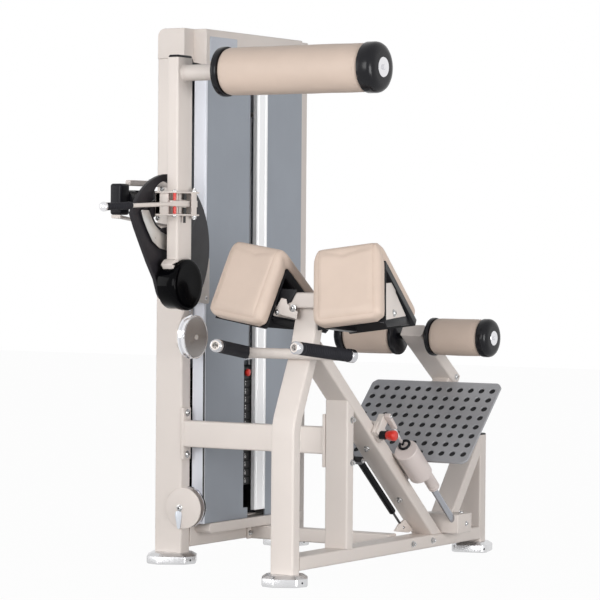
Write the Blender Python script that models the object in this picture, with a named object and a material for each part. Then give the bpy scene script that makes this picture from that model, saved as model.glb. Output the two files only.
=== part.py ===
"""Back extension machine with a weight stack tower.

A tower holds the weight stack. In front of it an upper-back roller swings on a tall arm.
Beside it a bent-tube frame carries two saddle pads, a handlebar and a sliding foot carriage
with a perforated plate and two ankle rollers.

Units are metres, +Z up. X runs from the tower to the user's frame, and -Y is the side that
the user faces. All sizes below are measured from the middle of the tower's front foot, and the
whole machine is then shifted so that the middle of its footprint is at the origin.
"""

from math import atan2, cos, hypot, pi, radians, sin, sqrt, tan

import bpy
import bmesh
from mathutils import Matrix, Vector

# Clearances
TOUCH = 0.0003
RUNNING = 0.0004
SLIDING = 0.0010

# Levelling feet
FOOT_HEIGHT = 0.034
FOOT_WIDTH = 0.157
FOOT_CORNER = 0.034
SIDE_FOOT_WIDTH = 0.138
SIDE_FOOT_CORNER = 0.032
FOOT_TURN = 31.0
REAR_FOOT_WIDTH = 0.120
REAR_FOOT_CORNER = 0.014
REAR_FOOT_TURN = 15.0

# Tower
COLUMN_WIDTH = 0.102
FRONT_COLUMN_DEPTH = 0.052
REAR_COLUMN_DEPTH = 0.070
REAR_COLUMN_Y = 0.695
COLUMN_WALL = 0.003
TOWER_HEIGHT = 1.704
CAP_HEIGHT = 0.096
CAP_ROUNDING = 0.026
BASE_BEAM_LOW = 0.050
BASE_BEAM_HIGH = 0.130
TUBE_CORNER = 0.005

# Shroud on the tower's side
SHROUD_FACE = 0.101
SHROUD_REAR = 0.612
SHROUD_SHEET = 0.004
SHROUD_LOW = 0.125
SLOT_FRONT = 0.289
SLOT_REAR = 0.330
PROFILE_REAR = 0.396
WINDOW_FRONT = 0.262
WINDOW_LOW = 0.160
WINDOW_HIGH = 0.641
SILL_LOW = 0.094
SILL_PROUD = 0.008
SILL_FRONT = 0.052

# Weight stack
STACK_X = 0.020
STACK_Y = 0.310
STACK_WIDTH = 0.124
STACK_LENGTH = 0.330
STACK_LOW = 0.2322
PLATE_COUNT = 13
PLATE_PITCH = 0.0265
HEAD_PLATE_HEIGHT = 0.040
SELECTOR_DROP = 0.0169
BUMPER_RADIUS = 0.024
PLATE_GROOVE = 0.003
PLATE_GROOVE_DEPTH = 0.005
GUIDE_ROD_RADIUS = 0.0110
GUIDE_ROD_SPREAD = 0.220
STEM_RADIUS = 0.012
SELECTOR_PIN_RADIUS = 0.005
SELECTOR_KNOB_RADIUS = 0.0125
SELECTOR_KNOB_LENGTH = 0.0125
SELECTOR_AHEAD = 0.007

# Cable and its pulleys
CABLE_RADIUS = 0.003
TOP_PULLEY_RADIUS = 0.045
ROD_BRIDGE_DROP = 0.168
ROD_BRIDGE_THICKNESS = 0.014
TOP_PULLEY_DROP = 0.088
PULLEY_WIDTH = 0.026
IDLER_X = 0.104
IDLER_Y = -0.046
IDLER_Z = 0.724
IDLER_RADIUS = 0.069
LOWER_PULLEY_X = 0.049
LOWER_PULLEY_Y = 0.0185
LOWER_PULLEY_Z = 0.178
LOWER_PULLEY_RADIUS = 0.065
LOWER_PULLEY_WIDTH = 0.012
LOWER_PULLEY_GROOVE = 0.011
LOWER_COVER_X = 0.062
LOWER_COVER_RADIUS = 0.065
PULLEY_GROOVE = 0.006
AXLE_RADIUS = 0.008

# Arm that the user's back pushes
HUB_Y = -0.240
HUB_Z = 0.892
HUB_RADIUS = 0.075
HUB_NEAR = 0.1475
HUB_FAR = 0.218
SHAFT_RADIUS = 0.0175
ARM_X = 0.180
ARM_WIDTH = 0.040
ARM_DEPTH = 0.082
ARM_TOP = 1.592
SPINDLE_Z = 1.545
SPINDLE_TUBE_RADIUS = 0.025
SPINDLE_RADIUS = 0.0125
ROLLER_NEAR = 0.338
ROLLER_FAR = 0.902
ROLLER_RADIUS = 0.0735
ROLLER_RIM = 0.020
ROLLER_CAP = 0.052
ROLLER_CORE = 0.030

# Cam and range plate
CAM_NEAR = 0.1245
CAM_THICKNESS = 0.014
CAM_CENTRE_RISE = 0.115
CAM_CENTRE_SHIFT = 0.008
CAM_RADIUS = 0.227
CAM_FLANK = ((-0.172, 0.176), (-0.137, 0.121), (-0.101, 0.066), (-0.064, 0.016))
CAM_WINDOW = 0.0745
CAM_WINDOW_SHIFT = -0.016
CAM_WINDOW_RISE = 0.245
RANGE_THICKNESS = 0.007
RANGE_START = 54.0
RANGE_END = 126.0
RANGE_HOLE_RADIUS = 0.0080
RANGE_HOLE_COUNT = 6
RANGE_HOLE_STEP = 11.0
BRACKET_THICKNESS = 0.012

# Start position latch
LATCH_Z = 1.1415
LATCH_HEIGHT = 0.074
LATCH_PLATE = 0.005
LATCH_REACH = 0.055
PIN_AHEAD = 0.028
PIN_RADIUS = 0.006
LEVER_PIVOT_Y = -0.215
LEVER_X = 0.2175
LEVER_BAR = 0.008
GRIP_START_Y = -0.494
GRIP_END_Y = -0.628
GRIP_TILT_X = 0.036
LATCH_GRIP_RADIUS = 0.0115

# Stop block in front of the tower
STOP_Z = 1.155
STOP_HEIGHT = 0.097
STOP_WIDTH = 0.043
STOP_DEPTH = 0.050
STOP_FRONT = -0.328

# User's frame: bent rectangular tube
FRAME_X = 0.625
FRAME_WIDTH = 0.080
FRAME_DEPTH = 0.042
FRAME_WALL = 0.003
FRONT_LEG_Y = -0.324
FRONT_LEG_BEND_Z = 0.478
TRUNK_BEND = (-0.220, 0.700)
TRUNK_TOP = (-0.178, 0.845)
REAR_LEG_Y = -0.009
SIDE_BEAM_LOW = 0.043
REAR_POST_Y = 0.867
REAR_POST_TOP = 0.390
DIAGONAL_Y = 0.063
DIAGONAL_Z = 0.492
DIAGONAL_SLOPE = 39.8
CROSSBEAM_Y = -0.009
CROSSBEAM_DEPTH = 0.040
CROSSBEAM_Z = 0.415
CROSSBEAM_HEIGHT = 0.084
LOWER_BEAM_Y = 0.400
LOWER_BEAM_Z = 0.0705
LOWER_BEAM_HEIGHT = 0.045
FLANGE_HEIGHT = 0.164
FLANGE_THICKNESS = 0.010
HEAD_LOW = 0.828
HEAD_HEIGHT = 0.046
HEAD_FRONT = -0.232
HEAD_REAR = -0.166
HEAD_REACH = 0.150

# Handlebar
BAR_Z = 0.690
BAR_RADIUS = 0.016
BAR_HALF = 0.180
HANDLE_LENGTH = 0.250
HANDLE_RISE = 0.041
HANDLE_TOE = 0.043
GRIP_RADIUS = 0.0195
GRIP_INSET = 0.022

# Saddle pads
PAD_OUT = 0.155
PAD_SHIFT = -0.010
PAD_RIDGE_Y = -0.227
PAD_RIDGE_Z = 1.028
PAD_WIDTH = 0.220
PAD_FRONT_LENGTH = 0.249
PAD_FRONT_ANGLE = 70.2
PAD_REAR_LENGTH = 0.356
PAD_REAR_ANGLE = 39.3
PAD_TILT = 7.8
PAD_TOE = 10.9
PAD_THICKNESS = 0.048
PAD_RIDGE_ROUNDING = 0.016
SHELL_THICKNESS = 0.012
SHELL_INSET = 0.006

# Foot carriage, with distances along the diagonal beam and above its middle
SADDLE_START = 0.060
SADDLE_END = 0.128
SADDLE_WALL = 0.011
STRAP_WIDTH = 0.060
STRAP_THICKNESS = 0.010
GUIDE_X = 0.700
GUIDE_RISE = 0.058
GUIDE_RADIUS = 0.011
GUIDE_START = 0.312
GUIDE_END = 0.655
SLEEVE_RISE = 0.042
SLEEVE_RADIUS = 0.036
SLEEVE_START = 0.236
SLEEVE_END = 0.388
NECK_RADIUS = 0.019
NECK_END = 0.462
CARRIAGE_DOWN = 0.055
GAS_X = 0.600
GAS_RISE = -0.054
GAS_RADIUS = 0.011
GAS_ROD_RADIUS = 0.004
GAS_START = 0.174
GAS_END = 0.445
GAS_LUG_LENGTH = 0.026
GAS_LUG_HANG = 0.010
GAS_FLOOR_GAP = 0.007
PULL_PIN_ALONG = 0.100
PULL_PIN_RISE = 0.004
PULL_PIN_RADIUS = 0.006
LEVER_HINGE_ALONG = 0.095
LEVER_HINGE_RISE = 0.068
LEVER_TIP_ALONG = 0.232
LEVER_TIP_RISE = 0.060
PLATE_LOW = (0.373, 0.333)
PLATE_SLOPE = 44.5
PLATE_LENGTH = 0.343
PLATE_WIDTH = 0.478
PLATE_THICKNESS = 0.008
PLATE_CHAMFER = 0.014
HOLE_RADIUS = 0.0105
HOLE_PITCH = 0.039
HOLE_COLUMNS = 12
HOLE_ROWS = 8
HOLE_SIDES = 6
ANKLE_Y = 0.470
ANKLE_Z = 0.727
ANKLE_CORNER = (0.670, 0.590)
ANKLE_RADIUS = 0.059
ANKLE_NEAR = 0.060
ANKLE_FAR = 0.282
ANKLE_CAP = 0.036
ANKLE_RIM = 0.014
ANKLE_CORE = 0.022
ANKLE_AXLE = 0.010

# Places that follow from the sizes above
COLUMN_TOP = TOWER_HEIGHT - CAP_HEIGHT
ROD_BRIDGE_Z = COLUMN_TOP - ROD_BRIDGE_DROP
TOP_PULLEY_Z = COLUMN_TOP - TOP_PULLEY_DROP
HALF_COLUMN = COLUMN_WIDTH / 2
FRONT_COLUMN_REAR = FRONT_COLUMN_DEPTH / 2
REAR_COLUMN_FRONT = REAR_COLUMN_Y - REAR_COLUMN_DEPTH / 2
REAR_COLUMN_REAR = REAR_COLUMN_Y + REAR_COLUMN_DEPTH / 2
SIDE_BEAM_HIGH = SIDE_BEAM_LOW + FRAME_DEPTH
FRAME_NEAR = FRAME_X - FRAME_WIDTH / 2
FRAME_FAR = FRAME_X + FRAME_WIDTH / 2
ARM_NEAR = ARM_X - ARM_WIDTH / 2
ARM_FAR = ARM_X + ARM_WIDTH / 2
RANGE_NEAR = CAM_NEAR + CAM_THICKNESS + TOUCH
PIN_Y = HUB_Y - ARM_DEPTH / 2 - PIN_AHEAD
PIN_REACH = hypot(PIN_Y - HUB_Y, LATCH_Z - HUB_Z)
PIN_ANGLE = atan2(LATCH_Z - HUB_Z, PIN_Y - HUB_Y)
STACK_TOP = STACK_LOW + PLATE_COUNT * PLATE_PITCH
HEAD_WEIGHT_TOP = STACK_TOP + HEAD_PLATE_HEIGHT
STEM_TOP = HEAD_WEIGHT_TOP + 0.040
ALONG = Vector((0, cos(radians(DIAGONAL_SLOPE)), -sin(radians(DIAGONAL_SLOPE))))
ABOVE = Vector((0, sin(radians(DIAGONAL_SLOPE)), cos(radians(DIAGONAL_SLOPE))))
GAS_LUG = (DIAGONAL_Z + ABOVE.z * (GAS_RISE - GAS_LUG_HANG) - SIDE_BEAM_HIGH
           - GAS_FLOOR_GAP) / -ALONG.z - GAS_LUG_LENGTH
X_AXIS = Vector((1, 0, 0))
Y_AXIS = Vector((0, 1, 0))
Z_AXIS = Vector((0, 0, 1))


def set_up_scene():
    """Empty the scene and return the empty that carries the whole machine."""
    for item in list(bpy.data.objects):
        bpy.data.objects.remove(item)
    origin = bpy.data.objects.new("machine_origin", None)
    bpy.context.scene.collection.objects.link(origin)
    return origin


def make_material(name, colour, roughness, metallic=0.0):
    material = bpy.data.materials.new(name)
    material.use_nodes = True
    shader = material.node_tree.nodes["Principled BSDF"]
    shader.inputs["Base Color"].default_value = (*colour, 1.0)
    shader.inputs["Roughness"].default_value = roughness
    shader.inputs["Metallic"].default_value = metallic
    material.diffuse_color = (*colour, 1.0)
    return material


MACHINE = set_up_scene()
CREAM = make_material("cream_paint", (0.80, 0.74, 0.67), 0.42)
TAN = make_material("tan_leather", (0.66, 0.49, 0.36), 0.55)
BLACK = make_material("black_plastic", (0.015, 0.015, 0.017), 0.35)
GLOSS = make_material("black_gloss", (0.010, 0.010, 0.012), 0.12)
RUBBER = make_material("black_rubber", (0.03, 0.03, 0.035), 0.75)
CHROME = make_material("chrome", (0.80, 0.81, 0.83), 0.12, 1.0)
STEEL = make_material("steel", (0.55, 0.56, 0.58), 0.32, 1.0)
ALUMINIUM = make_material("aluminium", (0.83, 0.84, 0.87), 0.30, 1.0)
PANEL = make_material("grey_panel", (0.33, 0.36, 0.40), 0.35, 0.3)
IRON = make_material("black_iron", (0.02, 0.02, 0.02), 0.55)
RED = make_material("red_plastic", (0.70, 0.03, 0.02), 0.35)


# Mesh building


def point(x, y, z):
    return Vector((x, y, z))


def on_diagonal(along, rise, x=FRAME_X):
    """A point given by its distance down the diagonal beam and its height above its middle."""
    return point(x, DIAGONAL_Y, DIAGONAL_Z) + ALONG * along + ABOVE * rise


def make_object(name, mesh_builder, material, origin=None, smooth=30.0):
    """Turn a bmesh in tower coordinates into an object whose origin is on its joint's axis."""
    pivot = Vector(origin) if origin else Vector((0, 0, 0))
    bmesh.ops.recalc_face_normals(mesh_builder, faces=mesh_builder.faces)
    bmesh.ops.translate(mesh_builder, verts=mesh_builder.verts, vec=-pivot)
    mesh = bpy.data.meshes.new(name)
    mesh_builder.to_mesh(mesh)
    mesh_builder.free()
    mesh.materials.append(material)
    mesh.shade_smooth()
    mesh.set_sharp_from_angle(angle=radians(smooth))
    item = bpy.data.objects.new(name, mesh)
    bpy.context.scene.collection.objects.link(item)
    item.parent = MACHINE
    item.location = pivot
    return item


def combine(item, tool, operation):
    """Weld a helper onto an object or cut it out; the helper itself isn't part of the model."""
    modifier = item.modifiers.new(tool.name, "BOOLEAN")
    modifier.operation = operation
    modifier.object = tool
    modifier.solver = "EXACT"
    tool.hide_render = True
    tool.display_type = "WIRE"


def weld(item, *tools):
    for tool in tools:
        combine(item, tool, "UNION")


def cut(item, *tools):
    for tool in tools:
        combine(item, tool, "DIFFERENCE")


def box_mesh(low, high, bevel=0.0, segments=2):
    mesh_builder = bmesh.new()
    bmesh.ops.create_cube(mesh_builder, size=1.0)
    low, high = Vector(low), Vector(high)
    size = high - low
    for vertex in mesh_builder.verts:
        vertex.co = Vector((vertex.co[i] * size[i] + (low[i] + high[i]) / 2 for i in range(3)))
    if bevel > 0:
        bmesh.ops.bevel(mesh_builder, geom=list(mesh_builder.edges), offset=bevel,
                        segments=segments, affect="EDGES", profile=0.5)
    return mesh_builder


def box(name, low, high, material, bevel=0.0, origin=None, segments=2):
    return make_object(name, box_mesh(low, high, bevel, segments), material, origin)


def axes_for(direction):
    """Two unit vectors square to a direction."""
    direction = direction.normalized()
    first = Z_AXIS if abs(direction.z) < 0.9 else X_AXIS
    side = direction.cross(first).normalized()
    return side, direction.cross(side).normalized()


def turned_mesh(start, direction, profile, sides, closed=False):
    """Spin a profile of (distance along the axis, radius) points about an axis."""
    mesh_builder = bmesh.new()
    direction = direction.normalized()
    side, up = axes_for(direction)
    rings = []
    for distance, radius in profile:
        centre = Vector(start) + direction * distance
        if radius <= 0:
            rings.append([mesh_builder.verts.new(centre)])
            continue
        ring = []
        for step in range(sides):
            angle = 2 * pi * step / sides
            ring.append(mesh_builder.verts.new(centre + (side * cos(angle) + up * sin(angle)) * radius))
        rings.append(ring)
    pairs = list(zip(rings, rings[1:]))
    if closed:
        pairs.append((rings[-1], rings[0]))
    for first, second in pairs:
        for step in range(sides):
            after = (step + 1) % sides
            if len(first) == 1 and len(second) > 1:
                mesh_builder.faces.new((first[0], second[step], second[after]))
            elif len(second) == 1 and len(first) > 1:
                mesh_builder.faces.new((first[step], second[0], first[after]))
            elif len(first) > 1:
                mesh_builder.faces.new((first[step], second[step], second[after], first[after]))
    if not closed:
        for ring in (rings[0], rings[-1]):
            if len(ring) > 1:
                mesh_builder.faces.new(ring)
    return mesh_builder


def turned(name, start, direction, profile, material, sides=32, closed=False, origin=None):
    return make_object(name, turned_mesh(start, direction, profile, sides, closed), material, origin)


def rod(name, start, end, radius, material, sides=16, origin=None):
    start, end = Vector(start), Vector(end)
    profile = [(0, radius), ((end - start).length, radius)]
    return turned(name, start, end - start, profile, material, sides, origin=origin)


def prism(name, outline, direction, length, material, origin=None, smooth=30.0):
    """Extrude a closed outline of 3-D points along a direction."""
    mesh_builder = bmesh.new()
    face = mesh_builder.faces.new([mesh_builder.verts.new(corner) for corner in outline])
    pushed = bmesh.ops.extrude_face_region(mesh_builder, geom=[face])
    moved = [item for item in pushed["geom"] if isinstance(item, bmesh.types.BMVert)]
    bmesh.ops.translate(mesh_builder, verts=moved, vec=direction.normalized() * length)
    return make_object(name, mesh_builder, material, origin, smooth)


def arc(centre, radius, start, end, steps):
    """Points on an arc in a plane, from one angle in degrees to another."""
    points = []
    for step in range(steps + 1):
        angle = radians(start + (end - start) * step / steps)
        points.append((centre[0] + radius * cos(angle), centre[1] + radius * sin(angle)))
    return points


def tube(name, path, side, width, depth, wall, material, ends=(None, None), origin=None):
    """A hollow rectangular tube along a path, mitred at its bends.

    The width lies along side, and the depth is square to it. An end can be cut on a plane,
    given by the plane's normal.
    """
    mesh_builder = bmesh.new()
    path = [Vector(p) for p in path]
    side = side.normalized()
    directions = [(b - a).normalized() for a, b in zip(path, path[1:])]
    loops = []
    for index, corner in enumerate(path):
        before = directions[max(index - 1, 0)]
        after = directions[min(index, len(directions) - 1)]
        plane = (before + after).normalized()
        if index == 0 and ends[0]:
            plane = ends[0].normalized()
        if index == len(path) - 1 and ends[1]:
            plane = ends[1].normalized()
        across = before.cross(side)
        sections = []
        for inset in (0.0, wall):
            section = []
            radius = max(TUBE_CORNER - inset, 0.001)
            half_width, half_depth = width / 2 - inset - radius, depth / 2 - inset - radius
            for quarter, (sx, sy) in enumerate(((1, 1), (-1, 1), (-1, -1), (1, -1))):
                for turn in (0, 45, 90):
                    angle = radians(90 * quarter + turn)
                    offset = (side * (sx * half_width + radius * cos(angle))
                              + across * (sy * half_depth + radius * sin(angle)))
                    slide = -offset.dot(plane) / before.dot(plane)
                    section.append(mesh_builder.verts.new(corner + offset + before * slide))
            sections.append(section)
        loops.append(sections)
    count = len(loops[0][0])
    for first, second in zip(loops, loops[1:]):
        for layer in (0, 1):
            for step in range(count):
                after = (step + 1) % count
                mesh_builder.faces.new((first[layer][step], first[layer][after],
                                        second[layer][after], second[layer][step]))
    for outer, inner in (loops[0], loops[-1]):
        for step in range(count):
            after = (step + 1) % count
            mesh_builder.faces.new((outer[step], outer[after], inner[after], inner[step]))
    return make_object(name, mesh_builder, material, origin)


def bolt_head(name, centre, direction, radius, height, material=STEEL):
    """A low domed bolt head, which its plate carries."""
    profile = [(-height * 0.4, radius), (height * 0.45, radius), (height, radius * 0.6)]
    return turned(name, centre, direction, profile, material, sides=8)


# Levelling feet


def foot(name, x, y, width, corner, turn):
    """A chamfered square foot, turned on its own stud."""
    flat = width / 2 - corner
    half = width / 2
    outline = []
    for quarter in range(4):
        angle = radians(90 * quarter + turn)
        for across in (-flat, flat):
            outline.append((x + half * cos(angle) - across * sin(angle),
                            y + half * sin(angle) + across * cos(angle)))
    mesh_builder = bmesh.new()
    levels = ((0.0, 0.97), (0.004, 1.0), (FOOT_HEIGHT - 0.010, 1.0), (FOOT_HEIGHT, 0.80))
    rings = []
    for height, share in levels:
        rings.append([mesh_builder.verts.new((x + (px - x) * share, y + (py - y) * share, height))
                      for px, py in outline])
    for first, second in zip(rings, rings[1:]):
        for step in range(8):
            after = (step + 1) % 8
            mesh_builder.faces.new((first[step], first[after], second[after], second[step]))
    mesh_builder.faces.new(rings[0])
    mesh_builder.faces.new(rings[-1])
    return make_object(name, mesh_builder, CHROME)


def build_feet():
    foot("foot_tower_front", 0, 0, FOOT_WIDTH, FOOT_CORNER, FOOT_TURN)
    foot("foot_tower_rear", 0, REAR_COLUMN_Y, FOOT_WIDTH, FOOT_CORNER, FOOT_TURN)
    foot("foot_frame_front", FRAME_X, FRONT_LEG_Y, SIDE_FOOT_WIDTH, SIDE_FOOT_CORNER, FOOT_TURN)
    foot("foot_frame_rear", FRAME_X, REAR_POST_Y, REAR_FOOT_WIDTH, REAR_FOOT_CORNER, REAR_FOOT_TURN)


# Tower


def build_tower():
    column_low = FOOT_HEIGHT + TOUCH
    column = tube("front_column", [point(0, 0, column_low), point(0, 0, COLUMN_TOP - TOUCH)],
                  X_AXIS, COLUMN_WIDTH, FRONT_COLUMN_DEPTH, COLUMN_WALL, CREAM)
    pocket_start = LOWER_PULLEY_Y - LOWER_PULLEY_WIDTH / 2 - SLIDING
    pocket = rod("pulley_pocket", (LOWER_PULLEY_X, pocket_start, LOWER_PULLEY_Z),
                 (LOWER_PULLEY_X, COLUMN_WIDTH, LOWER_PULLEY_Z),
                 LOWER_PULLEY_RADIUS + SLIDING, CREAM, sides=32)
    axle_slot = rod("axle_slot", (LOWER_PULLEY_X, -COLUMN_WIDTH, LOWER_PULLEY_Z),
                    (LOWER_PULLEY_X, COLUMN_WIDTH, LOWER_PULLEY_Z),
                    AXLE_RADIUS + TOUCH, CREAM, sides=24)
    cut(column, pocket, axle_slot)
    weld(column, idler_bracket(), stop_bracket())
    rear = tube("rear_column", [point(0, REAR_COLUMN_Y, column_low),
                                point(0, REAR_COLUMN_Y, COLUMN_TOP - TOUCH)],
                X_AXIS, COLUMN_WIDTH, REAR_COLUMN_DEPTH, COLUMN_WALL, CREAM)
    bridge = box("rod_bridge", (STACK_X - 0.028, STACK_Y - GUIDE_ROD_SPREAD / 2 - 0.025, ROD_BRIDGE_Z),
                 (STACK_X + 0.028, REAR_COLUMN_FRONT + 0.001, ROD_BRIDGE_Z + ROD_BRIDGE_THICKNESS), CREAM)
    weld(rear, bridge)
    cut(rear, rod("bridge_hole", (STACK_X, STACK_Y, ROD_BRIDGE_Z - 0.02),
                  (STACK_X, STACK_Y, ROD_BRIDGE_Z + 0.04), STEM_RADIUS, CREAM, sides=12))
    beam_z = (BASE_BEAM_LOW + BASE_BEAM_HIGH) / 2
    tube("tower_base_beam", [point(0, FRONT_COLUMN_REAR + TOUCH, beam_z),
                             point(0, REAR_COLUMN_FRONT - TOUCH, beam_z)],
         X_AXIS, COLUMN_WIDTH, BASE_BEAM_HIGH - BASE_BEAM_LOW, COLUMN_WALL, CREAM)
    build_cap()
    box("back_cover", (-HALF_COLUMN, FRONT_COLUMN_REAR + TOUCH, BASE_BEAM_HIGH + TOUCH),
        (-HALF_COLUMN + SHROUD_SHEET, REAR_COLUMN_FRONT - TOUCH, COLUMN_TOP - TOUCH), PANEL)


def build_cap():
    """The cap closes both columns and the shroud, and two ears below it carry the top pulley."""
    front, rear = -FRONT_COLUMN_DEPTH / 2, REAR_COLUMN_REAR
    outline = [point(HALF_COLUMN, front, COLUMN_TOP), point(-HALF_COLUMN, front, COLUMN_TOP)]
    corner = (-HALF_COLUMN + CAP_ROUNDING, TOWER_HEIGHT - CAP_ROUNDING)
    for x, z in arc(corner, CAP_ROUNDING, 180, 90, 6):
        outline.append(point(x, front, z))
    outline.append(point(HALF_COLUMN, front, TOWER_HEIGHT))
    cap = prism("tower_cap", outline, Y_AXIS, rear - front, CREAM)
    shroud_low = COLUMN_TOP - 0.012
    side = [point(HALF_COLUMN - 0.004, 0.026, shroud_low), point(SHROUD_FACE, 0.026, shroud_low - 0.010),
            point(SHROUD_FACE, 0.026, TOWER_HEIGHT - 0.004), point(SHROUD_FACE - 0.004, 0.026,
                                                                   TOWER_HEIGHT - 0.001),
            point(HALF_COLUMN - 0.004, 0.026, TOWER_HEIGHT - 0.001)]
    shroud_cap = prism("shroud_cap", side, Y_AXIS, SHROUD_REAR - 0.026, CREAM)
    parts = [shroud_cap]
    ear_gap = PULLEY_WIDTH / 2 + SLIDING
    ear_low = TOP_PULLEY_Z - 0.022
    for name, near in (("ear_near", STACK_X - ear_gap - 0.006), ("ear_far", STACK_X + ear_gap)):
        ear = box(name, (near, STACK_Y - TOP_PULLEY_RADIUS - 0.02, ear_low),
                  (near + 0.006, STACK_Y - TOP_PULLEY_RADIUS + 0.02, COLUMN_TOP + 0.004), CREAM)
        parts.append(ear)
    weld(cap, *parts)
    bore = rod("ear_bore", (STACK_X - ear_gap - 0.01, STACK_Y - TOP_PULLEY_RADIUS, TOP_PULLEY_Z),
               (STACK_X + ear_gap + 0.01, STACK_Y - TOP_PULLEY_RADIUS,
                TOP_PULLEY_Z), AXLE_RADIUS + RUNNING, CREAM)
    cut(cap, bore)


def channel_outline(front, rear, near, z, lips):
    """A sheet panel seen from above, with a lip folded in at each end that is asked for."""
    sheet = SHROUD_SHEET
    outline = [(SHROUD_FACE, front), (SHROUD_FACE, rear)]
    if lips[1]:
        outline += [(near, rear), (near, rear - sheet), (SHROUD_FACE - sheet, rear - sheet)]
    else:
        outline += [(SHROUD_FACE - sheet, rear)]
    if lips[0]:
        outline += [(SHROUD_FACE - sheet, front + sheet), (near, front + sheet), (near, front)]
    else:
        outline += [(SHROUD_FACE - sheet, front)]
    return [point(x, y, z) for x, y in outline]


def build_shroud():
    near = HALF_COLUMN + 0.006
    top = COLUMN_TOP - 0.022 - TOUCH
    front_panel = prism("shroud_front_panel",
                        channel_outline(FRONT_COLUMN_REAR + TOUCH, SLOT_FRONT, near, SHROUD_LOW + TOUCH,
                                        (True, False)),
                        Z_AXIS, top - SHROUD_LOW, PANEL)
    window = box("window_cut", (near, WINDOW_FRONT, WINDOW_LOW),
                 (SHROUD_FACE + 0.01, SLOT_FRONT + 0.01, WINDOW_HIGH),
                 PANEL)
    cut(front_panel, window)
    profile_low = WINDOW_LOW - 0.012
    prism("shroud_profile",
          channel_outline(SLOT_REAR, PROFILE_REAR - TOUCH, SHROUD_FACE - 0.014, profile_low, (True, True)),
          Z_AXIS, top - profile_low, ALUMINIUM)
    prism("shroud_rear_panel",
          channel_outline(PROFILE_REAR, SHROUD_REAR, near, SHROUD_LOW + TOUCH, (False, True)),
          Z_AXIS, top - SHROUD_LOW, PANEL)
    sill_outline = [(SHROUD_REAR + 0.006, SHROUD_LOW), (SHROUD_REAR + 0.006, SILL_LOW)]
    middle = (SHROUD_LOW + SILL_LOW) / 2
    half = (SHROUD_LOW - SILL_LOW) / 2
    for y, z in arc((SILL_FRONT + half, middle), half, 270, 90, 8):
        sill_outline.append((y, z))
    prism("shroud_sill", [point(HALF_COLUMN + TOUCH, y, z) for y, z in sill_outline], X_AXIS,
          SHROUD_FACE + SILL_PROUD - HALF_COLUMN, CREAM)


# Weight stack


def build_stack():
    half_width, half_length = STACK_WIDTH / 2, STACK_LENGTH / 2
    near, far = STACK_X - half_width, STACK_X + half_width
    front, rear = STACK_Y - half_length, STACK_Y + half_length
    levels = []
    for index in range(PLATE_COUNT):
        low = STACK_LOW + index * PLATE_PITCH
        groove = low + PLATE_PITCH - PLATE_GROOVE
        levels += [(low, 0.0), (groove, 0.0), (groove, PLATE_GROOVE_DEPTH),
                   (low + PLATE_PITCH, PLATE_GROOVE_DEPTH)]
    levels = levels[:-2]
    mesh_builder = bmesh.new()
    rings = []
    for z, inset in levels:
        corners = ((near + inset, front + inset), (far - inset, front + inset),
                   (far - inset, rear - inset), (near + inset, rear - inset))
        rings.append([mesh_builder.verts.new((x, y, z)) for x, y in corners])
    for first, second in zip(rings, rings[1:]):
        for step in range(4):
            after = (step + 1) % 4
            mesh_builder.faces.new((first[step], first[after], second[after], second[step]))
    mesh_builder.faces.new(rings[0])
    mesh_builder.faces.new(rings[-1])
    stack = make_object("weight_stack", mesh_builder, IRON)
    stack_top = levels[-1][0]
    bores = []
    for label, y in (("front", STACK_Y - GUIDE_ROD_SPREAD / 2), ("rear", STACK_Y + GUIDE_ROD_SPREAD / 2)):
        bumper = rod("bumper_" + label, (STACK_X, y, BASE_BEAM_HIGH + TOUCH),
                     (STACK_X, y, STACK_LOW + 0.001), BUMPER_RADIUS, IRON,
                     sides=16)
        weld(stack, bumper)
        bores.append(rod("stack_bore_" + label, (STACK_X, y, BASE_BEAM_HIGH - 0.01),
                         (STACK_X, y, HEAD_WEIGHT_TOP + 0.02),
                         GUIDE_ROD_RADIUS + SLIDING, IRON))
        rod("guide_rod_" + label, (STACK_X, y, BASE_BEAM_HIGH + TOUCH), (STACK_X, y, ROD_BRIDGE_Z - TOUCH),
            GUIDE_ROD_RADIUS, CHROME, sides=12)
    stem_bore = rod("stack_bore_stem", (STACK_X, STACK_Y, STACK_LOW + 0.02),
                    (STACK_X, STACK_Y, HEAD_WEIGHT_TOP + 0.02),
                    STEM_RADIUS + SLIDING, IRON)
    cut(stack, *bores, stem_bore)
    head = box("head_weight", (near, front, stack_top + TOUCH), (far, rear, HEAD_WEIGHT_TOP), IRON,
               bevel=0.003, segments=1)
    cut(head, *bores)
    stem_low = STACK_LOW + 0.03
    stem = turned("selector_stem", point(STACK_X, STACK_Y, stem_low), Z_AXIS,
                  [(0, STEM_RADIUS - 0.003), (0.004, STEM_RADIUS),
                   (STEM_TOP - stem_low - 0.010, STEM_RADIUS),
                   (STEM_TOP - stem_low, STEM_RADIUS - 0.004)], IRON, sides=12)
    weld(head, stem)
    pin_z = HEAD_WEIGHT_TOP - SELECTOR_DROP
    pin_y = STACK_Y - SELECTOR_AHEAD
    start = point(far - 0.030, pin_y, pin_z)
    cut(head, rod("selector_bore", start - X_AXIS * 0.001, start + X_AXIS * 0.06,
                  SELECTOR_PIN_RADIUS + RUNNING, IRON, sides=12))
    knob = SHROUD_FACE - SHROUD_SHEET - SLIDING - SELECTOR_KNOB_LENGTH - start.x
    profile = [(0, SELECTOR_PIN_RADIUS), (knob, SELECTOR_PIN_RADIUS),
               (knob + 0.001, SELECTOR_KNOB_RADIUS * 0.8),
               (knob + 0.004, SELECTOR_KNOB_RADIUS), (knob + SELECTOR_KNOB_LENGTH - 0.003,
                                                      SELECTOR_KNOB_RADIUS),
               (knob + SELECTOR_KNOB_LENGTH, SELECTOR_KNOB_RADIUS * 0.7)]
    turned("selector_pin", start, X_AXIS, profile, RED, sides=12, origin=start)


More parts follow.
